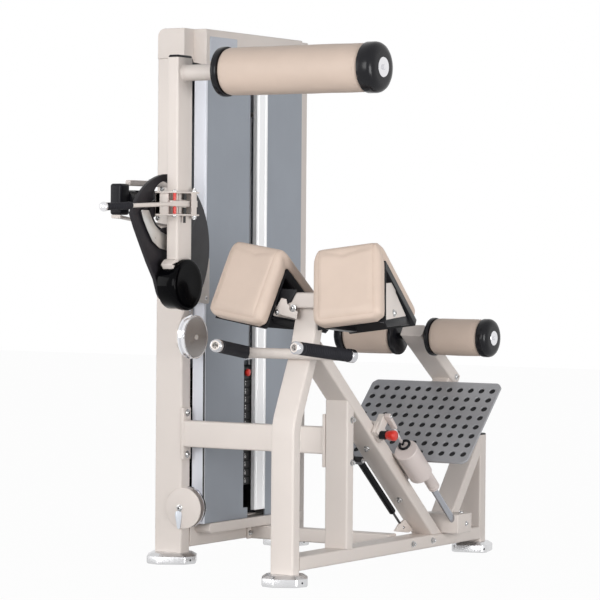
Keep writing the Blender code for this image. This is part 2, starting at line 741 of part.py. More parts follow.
# Cable and pulleys


def pulley_profile(radius, width, bore, groove):
    """Closed section of a grooved wheel, from its bore out to its rims."""
    return [(-width / 2, bore), (-width / 2, radius), (-width * 0.36, radius),
            (-width * 0.28, radius - groove),
            (width * 0.28, radius - groove), (width * 0.36, radius), (width / 2, radius), (width / 2, bore)]


def idler_bracket():
    """The plate, boss and stub axle that carry the idler on the front column."""
    plate = box("idler_bracket", (HALF_COLUMN - 0.001, IDLER_Y - 0.018, IDLER_Z - 0.045),
                (HALF_COLUMN + 0.008, 0.022, IDLER_Z + 0.095), CREAM)
    end = IDLER_X + PULLEY_WIDTH / 2 + 0.006
    stub = rod("idler_stub", (HALF_COLUMN + 0.004, IDLER_Y, IDLER_Z), (end, IDLER_Y, IDLER_Z), AXLE_RADIUS,
               CREAM)
    boss = rod("idler_boss", (HALF_COLUMN + 0.002, IDLER_Y, IDLER_Z),
               (IDLER_X - PULLEY_WIDTH / 2 - SLIDING, IDLER_Y, IDLER_Z), 0.015, CREAM)
    weld(plate, stub, boss)
    return plate


def build_pulleys():
    top = point(STACK_X, STACK_Y - TOP_PULLEY_RADIUS, TOP_PULLEY_Z)
    half = PULLEY_WIDTH / 2
    turned("top_pulley", top, X_AXIS,
           [(-half - 0.006, AXLE_RADIUS), (-half, AXLE_RADIUS), (-half, TOP_PULLEY_RADIUS),
            (-half / 2, TOP_PULLEY_RADIUS),
            (-half / 4, TOP_PULLEY_RADIUS - PULLEY_GROOVE), (half / 4, TOP_PULLEY_RADIUS - PULLEY_GROOVE),
            (half / 2, TOP_PULLEY_RADIUS), (half, TOP_PULLEY_RADIUS), (half, AXLE_RADIUS), (half + 0.006,
                                                                                            AXLE_RADIUS)],
           BLACK, sides=16, origin=top)
    idler = point(IDLER_X, IDLER_Y, IDLER_Z)
    idler_profile = [(-half, AXLE_RADIUS + RUNNING), (-half, IDLER_RADIUS), (-half * 0.5, IDLER_RADIUS),
                     (-half * 0.3, IDLER_RADIUS - PULLEY_GROOVE), (half * 0.3,
                                                                   IDLER_RADIUS - PULLEY_GROOVE),
                     (half * 0.5, IDLER_RADIUS), (half, IDLER_RADIUS), (half, IDLER_RADIUS - 0.004),
                     (half - 0.005, IDLER_RADIUS - 0.012), (half - 0.005, 0.022), (half, 0.018),
                     (half, AXLE_RADIUS + RUNNING)]
    turned("idler_pulley", idler, X_AXIS, idler_profile, ALUMINIUM, sides=28, closed=True, origin=idler)
    lower = point(LOWER_PULLEY_X, LOWER_PULLEY_Y, LOWER_PULLEY_Z)
    turned("lower_pulley", lower, Y_AXIS,
           pulley_profile(LOWER_PULLEY_RADIUS, LOWER_PULLEY_WIDTH, AXLE_RADIUS + RUNNING,
                          LOWER_PULLEY_GROOVE),
           CHROME, sides=28, closed=True, origin=lower)
    cover_back = -FRONT_COLUMN_DEPTH / 2 - TOUCH
    cover = turned("lower_pulley_cover", point(LOWER_COVER_X, cover_back, LOWER_PULLEY_Z), -Y_AXIS,
                   [(0, LOWER_COVER_RADIUS), (0.003, LOWER_COVER_RADIUS),
                    (0.005, LOWER_COVER_RADIUS - 0.002)],
                   CREAM, sides=40)
    pin = rod("lower_axle", (LOWER_PULLEY_X, cover_back - 0.004, LOWER_PULLEY_Z),
              (LOWER_PULLEY_X, LOWER_PULLEY_Y + LOWER_PULLEY_WIDTH / 2, LOWER_PULLEY_Z), AXLE_RADIUS, CREAM)
    bolt = bolt_head("lower_bolt", point(LOWER_PULLEY_X, cover_back - 0.005, LOWER_PULLEY_Z), -Y_AXIS,
                     0.0095, 0.007)
    weld(cover, pin, bolt)


def wrap_radius(groove_radius, step):
    """How far out a cable's middle runs, so that its straight steps clear the groove."""
    return (groove_radius + CABLE_RADIUS + TOUCH) / cos(radians(step / 2))


def build_cables():
    """Two steel cables: one lifts the stack, the other runs down from the cam."""
    wrap = wrap_radius(TOP_PULLEY_RADIUS - PULLEY_GROOVE, 12)
    centre = STACK_Y - TOP_PULLEY_RADIUS
    route = [point(STACK_X, centre + wrap, STEM_TOP + TOUCH)]
    for y, z in arc((centre, TOP_PULLEY_Z), wrap, 0, 90, 8):
        route.append(point(STACK_X, y, z))
    route.append(point(STACK_X, FRONT_COLUMN_REAR + TOUCH, TOP_PULLEY_Z + wrap))
    cable("lift_cable", route)
    wrap = wrap_radius(LOWER_PULLEY_RADIUS - LOWER_PULLEY_GROOVE, 12)
    idler_wrap = wrap_radius(IDLER_RADIUS - PULLEY_GROOVE, 12)
    drive = [point(IDLER_X, IDLER_Y + idler_wrap, IDLER_Z + 0.030),
             point(IDLER_X, IDLER_Y + idler_wrap, IDLER_Z - 0.004)]
    for x, z in arc((LOWER_PULLEY_X, LOWER_PULLEY_Z), wrap, 0, -180, 15):
        drive.append(point(x, LOWER_PULLEY_Y, z))
    drive.append(point(LOWER_PULLEY_X - wrap, LOWER_PULLEY_Y, LOWER_PULLEY_Z + 0.150))
    cable("drive_cable", drive)


def cable(name, route):
    curve = bpy.data.curves.new(name, "CURVE")
    curve.dimensions = "3D"
    curve.bevel_depth = CABLE_RADIUS
    curve.bevel_resolution = 1
    curve.use_fill_caps = True
    curve.resolution_u = 1
    curve.render_resolution_u = 0
    spline = curve.splines.new("POLY")
    spline.points.add(len(route) - 1)
    for spot, place in zip(spline.points, route):
        spot.co = (*place, 1.0)
    curve.materials.append(BLACK)
    item = bpy.data.objects.new(name, curve)
    bpy.context.scene.collection.objects.link(item)
    item.parent = MACHINE
    return item


# Arm, hub, cam and latch


def hub_point(angle, radius, x):
    return point(x, HUB_Y + radius * cos(radians(angle)), HUB_Z + radius * sin(radians(angle)))


def build_pivot():
    far = CAM_NEAR - TOUCH - 0.002
    near = far - BRACKET_THICKNESS
    bracket = prism("pivot_bracket",
                    [point(near, FRONT_COLUMN_REAR - 0.004, HUB_Z - 0.065),
                     point(near, FRONT_COLUMN_REAR - 0.004, HUB_Z + 0.085),
                     point(near, HUB_Y + 0.05, HUB_Z + 0.032), point(near, HUB_Y - 0.012, HUB_Z + 0.030),
                     point(near, HUB_Y - 0.026, HUB_Z), point(near, HUB_Y - 0.012, HUB_Z - 0.030),
                     point(near, HUB_Y + 0.05, HUB_Z - 0.032)], X_AXIS, BRACKET_THICKNESS, CREAM)
    spacer = box("pivot_spacer", (HALF_COLUMN + TOUCH, -0.022, HUB_Z - 0.060),
                 (near + 0.004, FRONT_COLUMN_REAR - 0.006, HUB_Z + 0.078),
                 CREAM)
    shaft = rod("pivot_shaft", (near + 0.002, HUB_Y, HUB_Z), (HUB_FAR - 0.006, HUB_Y, HUB_Z), SHAFT_RADIUS,
                STEEL, sides=24)
    weld(bracket, spacer, shaft)


def build_cam():
    """The cam is an eccentric disc with a long flank towards the hub and a round window."""
    hub = point(CAM_NEAR, HUB_Y, HUB_Z)
    centre = (HUB_Y + CAM_CENTRE_SHIFT, HUB_Z + CAM_CENTRE_RISE)
    outline = arc(centre, CAM_RADIUS, -36, 153, 28)
    outline += [(HUB_Y + y, HUB_Z + z) for y, z in CAM_FLANK]
    outline += arc((HUB_Y, HUB_Z), 0.052, 205, 300, 6)
    cam = prism("cam", [point(CAM_NEAR, y, z) for y, z in outline], X_AXIS, CAM_THICKNESS, BLACK,
                origin=hub)
    outer_edge = PIN_REACH + 0.014
    inner = arc((HUB_Y + CAM_WINDOW_SHIFT, HUB_Z + CAM_WINDOW_RISE), CAM_WINDOW, 0, 345, 23)
    window = prism("cam_window", [point(CAM_NEAR - 0.01, y, z) for y, z in inner], X_AXIS,
                   CAM_THICKNESS + 0.02, BLACK)
    bore = rod("cam_bore", (CAM_NEAR - 0.02, HUB_Y, HUB_Z), (CAM_NEAR + 0.04, HUB_Y, HUB_Z),
               SHAFT_RADIUS + RUNNING, BLACK, sides=24)
    cut(cam, window, bore)
    sector = arc((HUB_Y, HUB_Z), outer_edge, RANGE_START, RANGE_END, 16)
    sector += arc((HUB_Y, HUB_Z + 0.312), 0.204, 242, 298, 10)
    plate = prism("range_plate", [point(RANGE_NEAR, y, z) for y, z in sector], X_AXIS, RANGE_THICKNESS,
                  STEEL, origin=hub)
    slots = arc((HUB_Y, HUB_Z), PIN_REACH - 0.034, 66, 117, 8) + arc((HUB_Y, HUB_Z), 0.178, 112, 72, 5)
    lightening = prism("range_window", [point(RANGE_NEAR - 0.01, y, z) for y, z in slots], X_AXIS,
                       RANGE_THICKNESS + 0.02, STEEL)
    cutters = [lightening]
    pin_degrees = PIN_ANGLE * 180 / pi
    for index in range(RANGE_HOLE_COUNT):
        spot = hub_point(pin_degrees + (index - 4) * RANGE_HOLE_STEP, PIN_REACH, RANGE_NEAR - 0.01)
        cutters.append(rod("range_hole_%d" % index, spot, spot + X_AXIS * 0.03, RANGE_HOLE_RADIUS, STEEL,
                           sides=8))
    cut(plate, *cutters)


def build_arm():
    hub = point(ARM_X, HUB_Y, HUB_Z)
    arm = tube("arm_tube", [point(ARM_X, HUB_Y, HUB_Z + HUB_RADIUS * 0.6), point(ARM_X, HUB_Y, ARM_TOP)],
               X_AXIS, ARM_WIDTH, ARM_DEPTH, FRAME_WALL, CREAM, origin=hub)
    spindle = turned("arm_spindle", point(ARM_NEAR + 0.006, HUB_Y, SPINDLE_Z), X_AXIS,
                     [(0, SPINDLE_TUBE_RADIUS), (ROLLER_NEAR - 0.010 - ARM_NEAR, SPINDLE_TUBE_RADIUS),
                      (ROLLER_NEAR - 0.006 - ARM_NEAR, SPINDLE_RADIUS + 0.004),
                      (ROLLER_NEAR - 0.006 - SLIDING - ARM_NEAR + 0.001, SPINDLE_RADIUS),
                      (ROLLER_FAR - 0.014 - ARM_NEAR - 0.006, SPINDLE_RADIUS)], CREAM, sides=24)
    saddle = [point(ARM_NEAR, y, z) for y, z in arc((HUB_Y, HUB_Z), HUB_RADIUS + 0.011, 14, 128, 12)]
    saddle += [point(ARM_NEAR, y, z) for y, z in arc((HUB_Y, HUB_Z), HUB_RADIUS - 0.010, 128, 14, 12)]
    yoke = prism("arm_yoke", saddle, X_AXIS, ARM_WIDTH, CREAM)
    weld(arm, spindle, yoke)
    room = rod("hub_room", (HUB_NEAR - 0.02, HUB_Y, HUB_Z), (HUB_FAR + 0.02, HUB_Y, HUB_Z),
               HUB_RADIUS + 2 * TOUCH, CREAM, sides=36)
    cut(arm, room)
    length = HUB_FAR - HUB_NEAR
    cover = turned("hub_cover", point(HUB_NEAR, HUB_Y, HUB_Z), X_AXIS,
                   [(0, 0.0), (0, HUB_RADIUS - 0.004), (0.004, HUB_RADIUS), (length - 0.006, HUB_RADIUS),
                    (length - 0.002, HUB_RADIUS - 0.002), (length, HUB_RADIUS - 0.008), (length, 0.0)],
                   GLOSS, sides=36, origin=hub)
    bore = rod("hub_bore", (HUB_NEAR - 0.01, HUB_Y, HUB_Z), (HUB_FAR - 0.006 + SLIDING, HUB_Y, HUB_Z),
               SHAFT_RADIUS + RUNNING, GLOSS, sides=20)
    cut(cover, bore)


def roller_core(name, start, direction, length, sizes, material, origin, sides=32):
    """A spool: a rim at the near end, a core under the foam, and a rounded cap at the far end."""
    rim, cap, radius, core = sizes
    far = length
    profile = [(0, 0), (0, radius - 0.003), (0.003, radius), (rim, radius), (rim, core), (far - cap, core),
               (far - cap, radius),
               (far - cap * 0.45, radius), (far - cap * 0.2, radius - cap * 0.13), (far - cap * 0.05,
                                                                                    radius - cap * 0.36),
               (far, radius - cap * 0.55), (far, 0)]
    return turned(name, start, direction, profile, material, sides, origin=origin)


def foam(name, start, direction, length, radius, bore, material, origin, sides=32):
    """A padded sleeve with a slight crown and rolled ends."""
    roll = radius * 0.10
    crown = 0.0012
    profile = [(0, bore), (0, radius - roll), (roll * 0.3, radius - roll * 0.35), (roll, radius - crown),
               (length * 0.3, radius - crown * 0.2), (length * 0.7, radius - crown * 0.2),
               (length - roll, radius - crown), (length - roll * 0.3,
                                                 radius - roll * 0.35), (length, radius - roll),
               (length, bore)]
    return turned(name, start, direction, profile, material, sides, closed=True, origin=origin)


def build_back_roller():
    axis = point(ROLLER_NEAR, HUB_Y, SPINDLE_Z)
    length = ROLLER_FAR - ROLLER_NEAR
    core = roller_core("back_roller_core", axis, X_AXIS, length,
                       (ROLLER_RIM, ROLLER_CAP, ROLLER_RADIUS + 0.003, ROLLER_CORE), BLACK, axis, sides=28)
    bore = rod("roller_bore", (ROLLER_NEAR - 0.02, HUB_Y, SPINDLE_Z),
               (ROLLER_FAR - 0.013, HUB_Y, SPINDLE_Z),
               SPINDLE_RADIUS + RUNNING, BLACK, sides=24)
    cut(core, bore)
    start = point(ROLLER_NEAR + ROLLER_RIM + TOUCH, HUB_Y, SPINDLE_Z)
    foam("back_roller_pad", start, X_AXIS, length - ROLLER_RIM - ROLLER_CAP - 2 * TOUCH, ROLLER_RADIUS,
         ROLLER_CORE + TOUCH,
         TAN, axis, sides=28)


def build_latch():
    front = HUB_Y - ARM_DEPTH / 2
    low, high = LATCH_Z - LATCH_HEIGHT / 2, LATCH_Z + LATCH_HEIGHT / 2
    face = ARM_FAR + TOUCH
    web = box("latch_bracket", (face, front + 0.004, low),
              (face + LATCH_PLATE, HUB_Y + ARM_DEPTH / 2, high), CREAM)
    plates = []
    for label, z in (("low", low), ("high", high - LATCH_PLATE)):
        outline = [point(ARM_NEAR - 0.010, front - LATCH_REACH, z),
                   point(LEVER_X + 0.014, front - LATCH_REACH, z),
                   point(LEVER_X + 0.014, HUB_Y + ARM_DEPTH / 2, z), point(face, HUB_Y + ARM_DEPTH / 2, z),
                   point(face, front - TOUCH, z), point(ARM_NEAR - 0.010, front - TOUCH, z)]
        plates.append(prism("latch_plate_" + label, outline, Z_AXIS, LATCH_PLATE, CREAM))
    housing = box("latch_housing", (ARM_NEAR - 0.010, PIN_Y - 0.015, low + 0.001),
                  (ARM_NEAR + 0.008, PIN_Y + 0.015, high - 0.001), CREAM)
    pivot = rod("latch_pivot", (LEVER_X, LEVER_PIVOT_Y, low - 0.008),
                (LEVER_X, LEVER_PIVOT_Y, high + 0.008), 0.005, CREAM, sides=12)
    weld(web, *plates, housing, pivot)
    pin_bore = rod("latch_pin_bore", (ARM_NEAR - 0.03, PIN_Y, LATCH_Z), (ARM_NEAR + 0.03, PIN_Y, LATCH_Z),
                   PIN_RADIUS + RUNNING, CREAM)
    cut(web, pin_bore)
    pin_start = point(RANGE_NEAR + RANGE_THICKNESS + TOUCH, PIN_Y, LATCH_Z)
    reach = LEVER_X - LEVER_BAR / 2 - 0.0015 - pin_start.x
    turned("latch_pin", pin_start, X_AXIS,
           [(0, PIN_RADIUS - 0.001), (0.001, PIN_RADIUS), (reach - 0.006, PIN_RADIUS),
                                            (reach - 0.006,
                                             0.010), (reach, 0.010)], RED, sides=16, origin=pin_start)
    pivot_point = point(LEVER_X, LEVER_PIVOT_Y, LATCH_Z)
    eye = turned("latch_lever", point(LEVER_X, LEVER_PIVOT_Y, LATCH_Z - 0.010), Z_AXIS,
                 [(0, 0.011), (0.020, 0.011)],
                 CREAM, sides=20, origin=pivot_point)
    bend = point(LEVER_X, PIN_Y - 0.030, LATCH_Z - 0.002)
    tip = point(LEVER_X - GRIP_TILT_X, GRIP_END_Y + 0.002, LATCH_Z - 0.014)
    bar = box("lever_bar", (LEVER_X - LEVER_BAR / 2, PIN_Y - 0.034, LATCH_Z - 0.009),
              (LEVER_X + LEVER_BAR / 2, LEVER_PIVOT_Y, LATCH_Z + 0.009),
              CREAM)
    shank = rod("lever_shank", bend, tip, 0.0065, CREAM, sides=12)
    weld(eye, bar, shank)
    eye_bore = rod("lever_eye_bore", (LEVER_X, LEVER_PIVOT_Y, LATCH_Z - 0.03),
                   (LEVER_X, LEVER_PIVOT_Y, LATCH_Z + 0.03), 0.005 + RUNNING, CREAM, sides=12)
    cut(eye, eye_bore)
    direction = (tip - bend).normalized()
    share = (GRIP_START_Y - bend.y) / direction.y
    grip_start = bend + direction * share
    length = (tip - grip_start).length + 0.004
    turned("latch_grip", grip_start, direction,
           [(0, 0.0065 + TOUCH), (0, LATCH_GRIP_RADIUS - 0.002), (0.002, LATCH_GRIP_RADIUS),
            (length, LATCH_GRIP_RADIUS),
            (length, LATCH_GRIP_RADIUS + 0.001), (length + 0.006, LATCH_GRIP_RADIUS
                                                  + 0.004), (length + 0.018, LATCH_GRIP_RADIUS + 0.004),
            (length + 0.026, LATCH_GRIP_RADIUS - 0.003), (length + 0.026, 0.0), (length - 0.003,
                    0.0), (length - 0.003, 0.0065 + TOUCH)],
           RUBBER, sides=16, closed=True, origin=pivot_point)


def stop_bracket():
    """The bent strip that carries the stop block in front of the column."""
    low, high = STOP_Z - STOP_HEIGHT / 2, STOP_Z + STOP_HEIGHT / 2
    face = -FRONT_COLUMN_DEPTH / 2 + 0.001
    rear = STOP_FRONT + STOP_DEPTH
    plate = 0.010
    outline = [(face, low - 0.040), (face, high + 0.010), (rear + 0.012, high + 0.010),
               (rear + 0.012, high + 0.010 - plate),
               (face - plate, high + 0.010 - plate), (face - plate,
                                                      low - 0.030), (rear, low - TOUCH - plate + 0.004),
               (STOP_FRONT + 0.004, low - TOUCH), (STOP_FRONT + 0.004, low - TOUCH - plate), (rear,
                                                                                              low - 0.012)]
    start = -STOP_WIDTH / 2 + 0.004
    return prism("stop_bracket", [point(start, y, z) for y, z in outline], X_AXIS, STOP_WIDTH - 0.008,
                 CREAM)


def build_stop():
    low, high = STOP_Z - STOP_HEIGHT / 2, STOP_Z + STOP_HEIGHT / 2
    half = STOP_WIDTH / 2
    rear = STOP_FRONT + STOP_DEPTH
    drum_end = -FRONT_COLUMN_DEPTH / 2 - 0.009 - TOUCH
    block = box("stop_block", (-half, STOP_FRONT, low), (half, rear, high), RUBBER, bevel=0.008)
    drum = turned("stop_drum", point(0, rear - 0.004, STOP_Z), Y_AXIS,
                  [(0, 0.030), (drum_end - rear + 0.004, 0.030)], RUBBER, sides=20)
    weld(block, drum)


# User's frame


def build_frame():
    front_leg = tube("front_leg", [point(FRAME_X, FRONT_LEG_Y, FOOT_HEIGHT + TOUCH),
                                   point(FRAME_X, FRONT_LEG_Y, FRONT_LEG_BEND_Z - 0.03),
                                   point(FRAME_X, FRONT_LEG_Y + 0.004, FRONT_LEG_BEND_Z), point(FRAME_X,
                                           FRONT_LEG_Y + 0.018, FRONT_LEG_BEND_Z + 0.035),
                                   point(FRAME_X, *TRUNK_BEND), point(FRAME_X, *TRUNK_TOP)],
                     X_AXIS, FRAME_WIDTH, FRAME_DEPTH, FRAME_WALL, CREAM)
    head = box("head_tube", (FRAME_X - HEAD_REACH, HEAD_FRONT, HEAD_LOW),
               (FRAME_X + HEAD_REACH, HEAD_REAR, HEAD_LOW + HEAD_HEIGHT),
               CREAM, bevel=TUBE_CORNER)
    weld(front_leg, head)
    slope = radians(DIAGONAL_SLOPE)
    half = FRAME_DEPTH / 2
    underside_z = DIAGONAL_Z - tan(slope) * (REAR_LEG_Y
                                             - DIAGONAL_Y) - half / cos(slope) - TOUCH / cos(slope)
    tube("rear_leg", [point(FRAME_X, REAR_LEG_Y, SIDE_BEAM_HIGH + TOUCH),
                      point(FRAME_X, REAR_LEG_Y, underside_z)],
         X_AXIS, FRAME_WIDTH, FRAME_DEPTH, FRAME_WALL, CREAM, ends=(None, ABOVE))
    trunk_way = Vector((0, TRUNK_BEND[0] - FRONT_LEG_Y - 0.018,
                        TRUNK_BEND[1] - FRONT_LEG_BEND_Z - 0.035)).normalized()
    trunk_out = Vector((0, trunk_way.z, -trunk_way.y))
    trunk_spot = point(FRAME_X, *TRUNK_BEND) + trunk_out * (half + TOUCH)
    reach = (trunk_spot - on_diagonal(0, 0)).dot(trunk_out) / ALONG.dot(trunk_out)
    floor_way = (SIDE_BEAM_HIGH + TOUCH - DIAGONAL_Z) / ALONG.z
    tube("diagonal_beam", [on_diagonal(reach, 0), on_diagonal(floor_way, 0)],
         X_AXIS, FRAME_WIDTH, FRAME_DEPTH, FRAME_WALL, CREAM, ends=(trunk_out, Z_AXIS))
    base = tube("side_base_beam", [point(FRAME_X, FRONT_LEG_Y + half + TOUCH, SIDE_BEAM_LOW + half),
                                   point(FRAME_X, REAR_POST_Y - half + 0.001, SIDE_BEAM_LOW + half)],
                X_AXIS, FRAME_WIDTH, FRAME_DEPTH, FRAME_WALL, CREAM)
    post = tube("rear_post", [point(FRAME_X, REAR_POST_Y, FOOT_HEIGHT + TOUCH),
                              point(FRAME_X, REAR_POST_Y, REAR_POST_TOP)],
         X_AXIS, FRAME_WIDTH, FRAME_DEPTH, FRAME_WALL, CREAM)
    weld(base, post)
    build_brace()
    build_crossbeams()


def build_brace():
    """The brace props the rear post, and a block at its foot holds the carriage's guide rod."""
    half = FRAME_DEPTH / 2
    top_y = REAR_POST_Y - half - TOUCH
    way = Vector((0, 0.628, 0.778))
    top = point(FRAME_X, top_y, REAR_POST_TOP - 0.034)
    length = (top.z - SIDE_BEAM_HIGH - TOUCH) / way.z
    brace = tube("brace", [top - way * length, top], X_AXIS, FRAME_WIDTH, FRAME_DEPTH, FRAME_WALL, CREAM,
                 ends=(Z_AXIS, Y_AXIS))
    rod_end = on_diagonal(GUIDE_END, GUIDE_RISE, GUIDE_X)
    front = rod_end.y - 0.022
    block = box("guide_block", (FRAME_NEAR, front, SIDE_BEAM_HIGH + TOUCH),
                (GUIDE_X + 0.024, front + 0.095, rod_end.z + 0.030), CREAM)
    weld(brace, block)
    socket = rod("guide_socket", on_diagonal(GUIDE_END - 0.10, GUIDE_RISE, GUIDE_X),
                 on_diagonal(GUIDE_END + 0.002, GUIDE_RISE, GUIDE_X),
                 GUIDE_RADIUS + TOUCH, CREAM, sides=20)
    clear = bar_box("diagonal_clearance", 0.3, 0.9, -0.2, half + TOUCH, FRAME_NEAR - TOUCH,
                    FRAME_FAR + TOUCH)
    cut(brace, socket, clear)


def build_crossbeams():
    start = HALF_COLUMN + TOUCH
    end = FRAME_NEAR - TOUCH
    half_height = CROSSBEAM_HEIGHT / 2
    front, rear = CROSSBEAM_Y - CROSSBEAM_DEPTH / 2, CROSSBEAM_Y + CROSSBEAM_DEPTH / 2
    upper = box("upper_crossbeam", (start + 0.004, front, CROSSBEAM_Z - half_height),
                (end - 0.004, rear, CROSSBEAM_Z + half_height), CREAM, bevel=TUBE_CORNER)
    flanges = []
    for label, x in (("tower", start), ("frame", end - FLANGE_THICKNESS)):
        flanges.append(box("flange_" + label, (x, front - 0.001, CROSSBEAM_Z - FLANGE_HEIGHT / 2),
                           (x + FLANGE_THICKNESS, rear + 0.001,
                            CROSSBEAM_Z + FLANGE_HEIGHT / 2), CREAM, bevel=0.002, segments=1))
    bolts = []
    for side, x, way in (("tower", start + FLANGE_THICKNESS, X_AXIS),
                         ("frame", end - FLANGE_THICKNESS, -X_AXIS)):
        for label, rise in (("low", -0.066), ("high", 0.066)):
            bolts.append(bolt_head("bolt_%s_%s" % (side, label), point(x, CROSSBEAM_Y, CROSSBEAM_Z + rise),
                                   way, 0.010, 0.008))
    weld(upper, *flanges, *bolts)
    lower = tube("lower_crossbeam", [point(start + 0.004, LOWER_BEAM_Y, LOWER_BEAM_Z),
                                     point(end, LOWER_BEAM_Y, LOWER_BEAM_Z)],
                 Y_AXIS, FRAME_DEPTH, LOWER_BEAM_HEIGHT, FRAME_WALL, CREAM)
    tab = box("lower_flange", (start, LOWER_BEAM_Y - 0.040, BASE_BEAM_LOW - 0.002),
              (start + 0.008, LOWER_BEAM_Y + 0.040, SILL_LOW - 0.003), CREAM,
              bevel=0.002, segments=1)
    nut = bolt_head("lower_nut", point(start + 0.008, LOWER_BEAM_Y - 0.030, LOWER_BEAM_Z - 0.003), X_AXIS,
                    0.008, 0.007)
    weld(lower, tab, nut)


def handle_points(side):
    """The rear and front ends of one handle."""
    rear = point(FRAME_X + side * BAR_HALF, bar_y() + 0.006, BAR_Z)
    way = Vector((-side * HANDLE_TOE, -sqrt(HANDLE_LENGTH ** 2 - HANDLE_TOE ** 2 - HANDLE_RISE ** 2),
                  HANDLE_RISE))
    return rear, rear + way


def bar_y():
    """The cross bar lies against the front of the trunk."""
    share = (BAR_Z - FRONT_LEG_BEND_Z) / (TRUNK_BEND[1] - FRONT_LEG_BEND_Z)
    middle = FRONT_LEG_Y + share * (TRUNK_BEND[0] - FRONT_LEG_Y)
    lean = atan2(TRUNK_BEND[0] - FRONT_LEG_Y, TRUNK_BEND[1] - FRONT_LEG_BEND_Z)
    return middle - (FRAME_DEPTH / 2 + BAR_RADIUS + TOUCH) / cos(lean)


def build_handlebar():
    y = bar_y()
    bar = rod("handlebar", (FRAME_X - BAR_HALF, y, BAR_Z), (FRAME_X + BAR_HALF, y, BAR_Z), BAR_RADIUS,
              CREAM, sides=16)
    handles = []
    for label, side in (("left", -1), ("right", 1)):
        rear, front = handle_points(side)
        way = (front - rear).normalized()
        handles.append(turned("handle_" + label, rear - way * 0.020, way,
                              [(0, 0.014), (0.004, GRIP_RADIUS + 0.001), (0.018, GRIP_RADIUS + 0.001),
                               (0.020, BAR_RADIUS - 0.002),
                               (HANDLE_LENGTH + 0.020 - GRIP_INSET, BAR_RADIUS - 0.002),
                               (HANDLE_LENGTH + 0.022 - GRIP_INSET, GRIP_RADIUS + 0.001),
                               (HANDLE_LENGTH + 0.016, GRIP_RADIUS
                                + 0.001), (HANDLE_LENGTH + 0.020, GRIP_RADIUS - 0.003)], CREAM, sides=16))
        start = rear + way * (BAR_RADIUS + 0.010)
        length = HANDLE_LENGTH - GRIP_INSET - BAR_RADIUS - 0.010
        turned("grip_" + label, start, way,
               [(0, BAR_RADIUS - 0.002 + TOUCH), (0, GRIP_RADIUS - 0.002), (0.003, GRIP_RADIUS),
                (length - 0.003, GRIP_RADIUS),
                (length - TOUCH, GRIP_RADIUS - 0.002), (length - TOUCH, BAR_RADIUS - 0.002
                                                        + TOUCH)], RUBBER, sides=16, closed=True)
    weld(bar, *handles)


# Saddle pads


def pad_matrix(side):
    """Places a pad's own frame, whose +X points away from the machine's middle plane."""
    place = Matrix.Translation(point(FRAME_X + side * PAD_OUT + PAD_SHIFT, PAD_RIDGE_Y, PAD_RIDGE_Z))
    toe = Matrix.Rotation(radians(PAD_TOE), 4, "Z")
    tilt = Matrix.Rotation(-radians(PAD_TILT), 4, "Y")
    mirror = Matrix.Scale(side, 4, X_AXIS)
    return place @ mirror @ toe @ tilt


def saddle_section(depth, rounding, trim=0.0):
    """The bent section at a depth under the pad's skin: front foot, ridge, rear foot, as (y, z)."""
    front, rear = radians(PAD_FRONT_ANGLE), radians(PAD_REAR_ANGLE)
    apex = pi - front - rear
    drop = depth / sin(apex / 2)
    bisector = (front - rear) / 2
    top = (drop * sin(bisector), -drop * cos(bisector))
    back = depth / tan(apex / 2)
    front_length = PAD_FRONT_LENGTH - back - trim
    rear_length = PAD_REAR_LENGTH - back - trim
    front_foot = (top[0] - front_length * cos(front), top[1] - front_length * sin(front))
    rear_foot = (top[0] + rear_length * cos(rear), top[1] - rear_length * sin(rear))
    if rounding <= 0:
        return front_foot, [top], rear_foot
    set_back = rounding / tan(apex / 2)
    start = (top[0] - set_back * cos(front), top[1] - set_back * sin(front))
    normal = (-sin(front), cos(front))
    centre = (start[0] - normal[0] * rounding, start[1] - normal[1] * rounding)
    first = 180 - (90 - PAD_FRONT_ANGLE)
    last = 90 - PAD_REAR_ANGLE
    return front_foot, arc(centre, rounding, first, last, 6), rear_foot


def spread(start, end, shares):
    return [(start[0] + (end[0] - start[0]) * share, start[1] + (end[1] - start[1]) * share)
            for share in shares]


def saddle_rows(depth, rounding, trim=0.0):
    front_foot, ridge, rear_foot = saddle_section(depth, rounding, trim)
    front = spread(front_foot, ridge[0], (0.0, 0.03, 0.09, 0.22, 0.45, 0.7))
    rear = spread(ridge[-1], rear_foot, (0.2, 0.42, 0.64, 0.84, 0.94, 0.98, 1.0))
    return front + ridge + rear


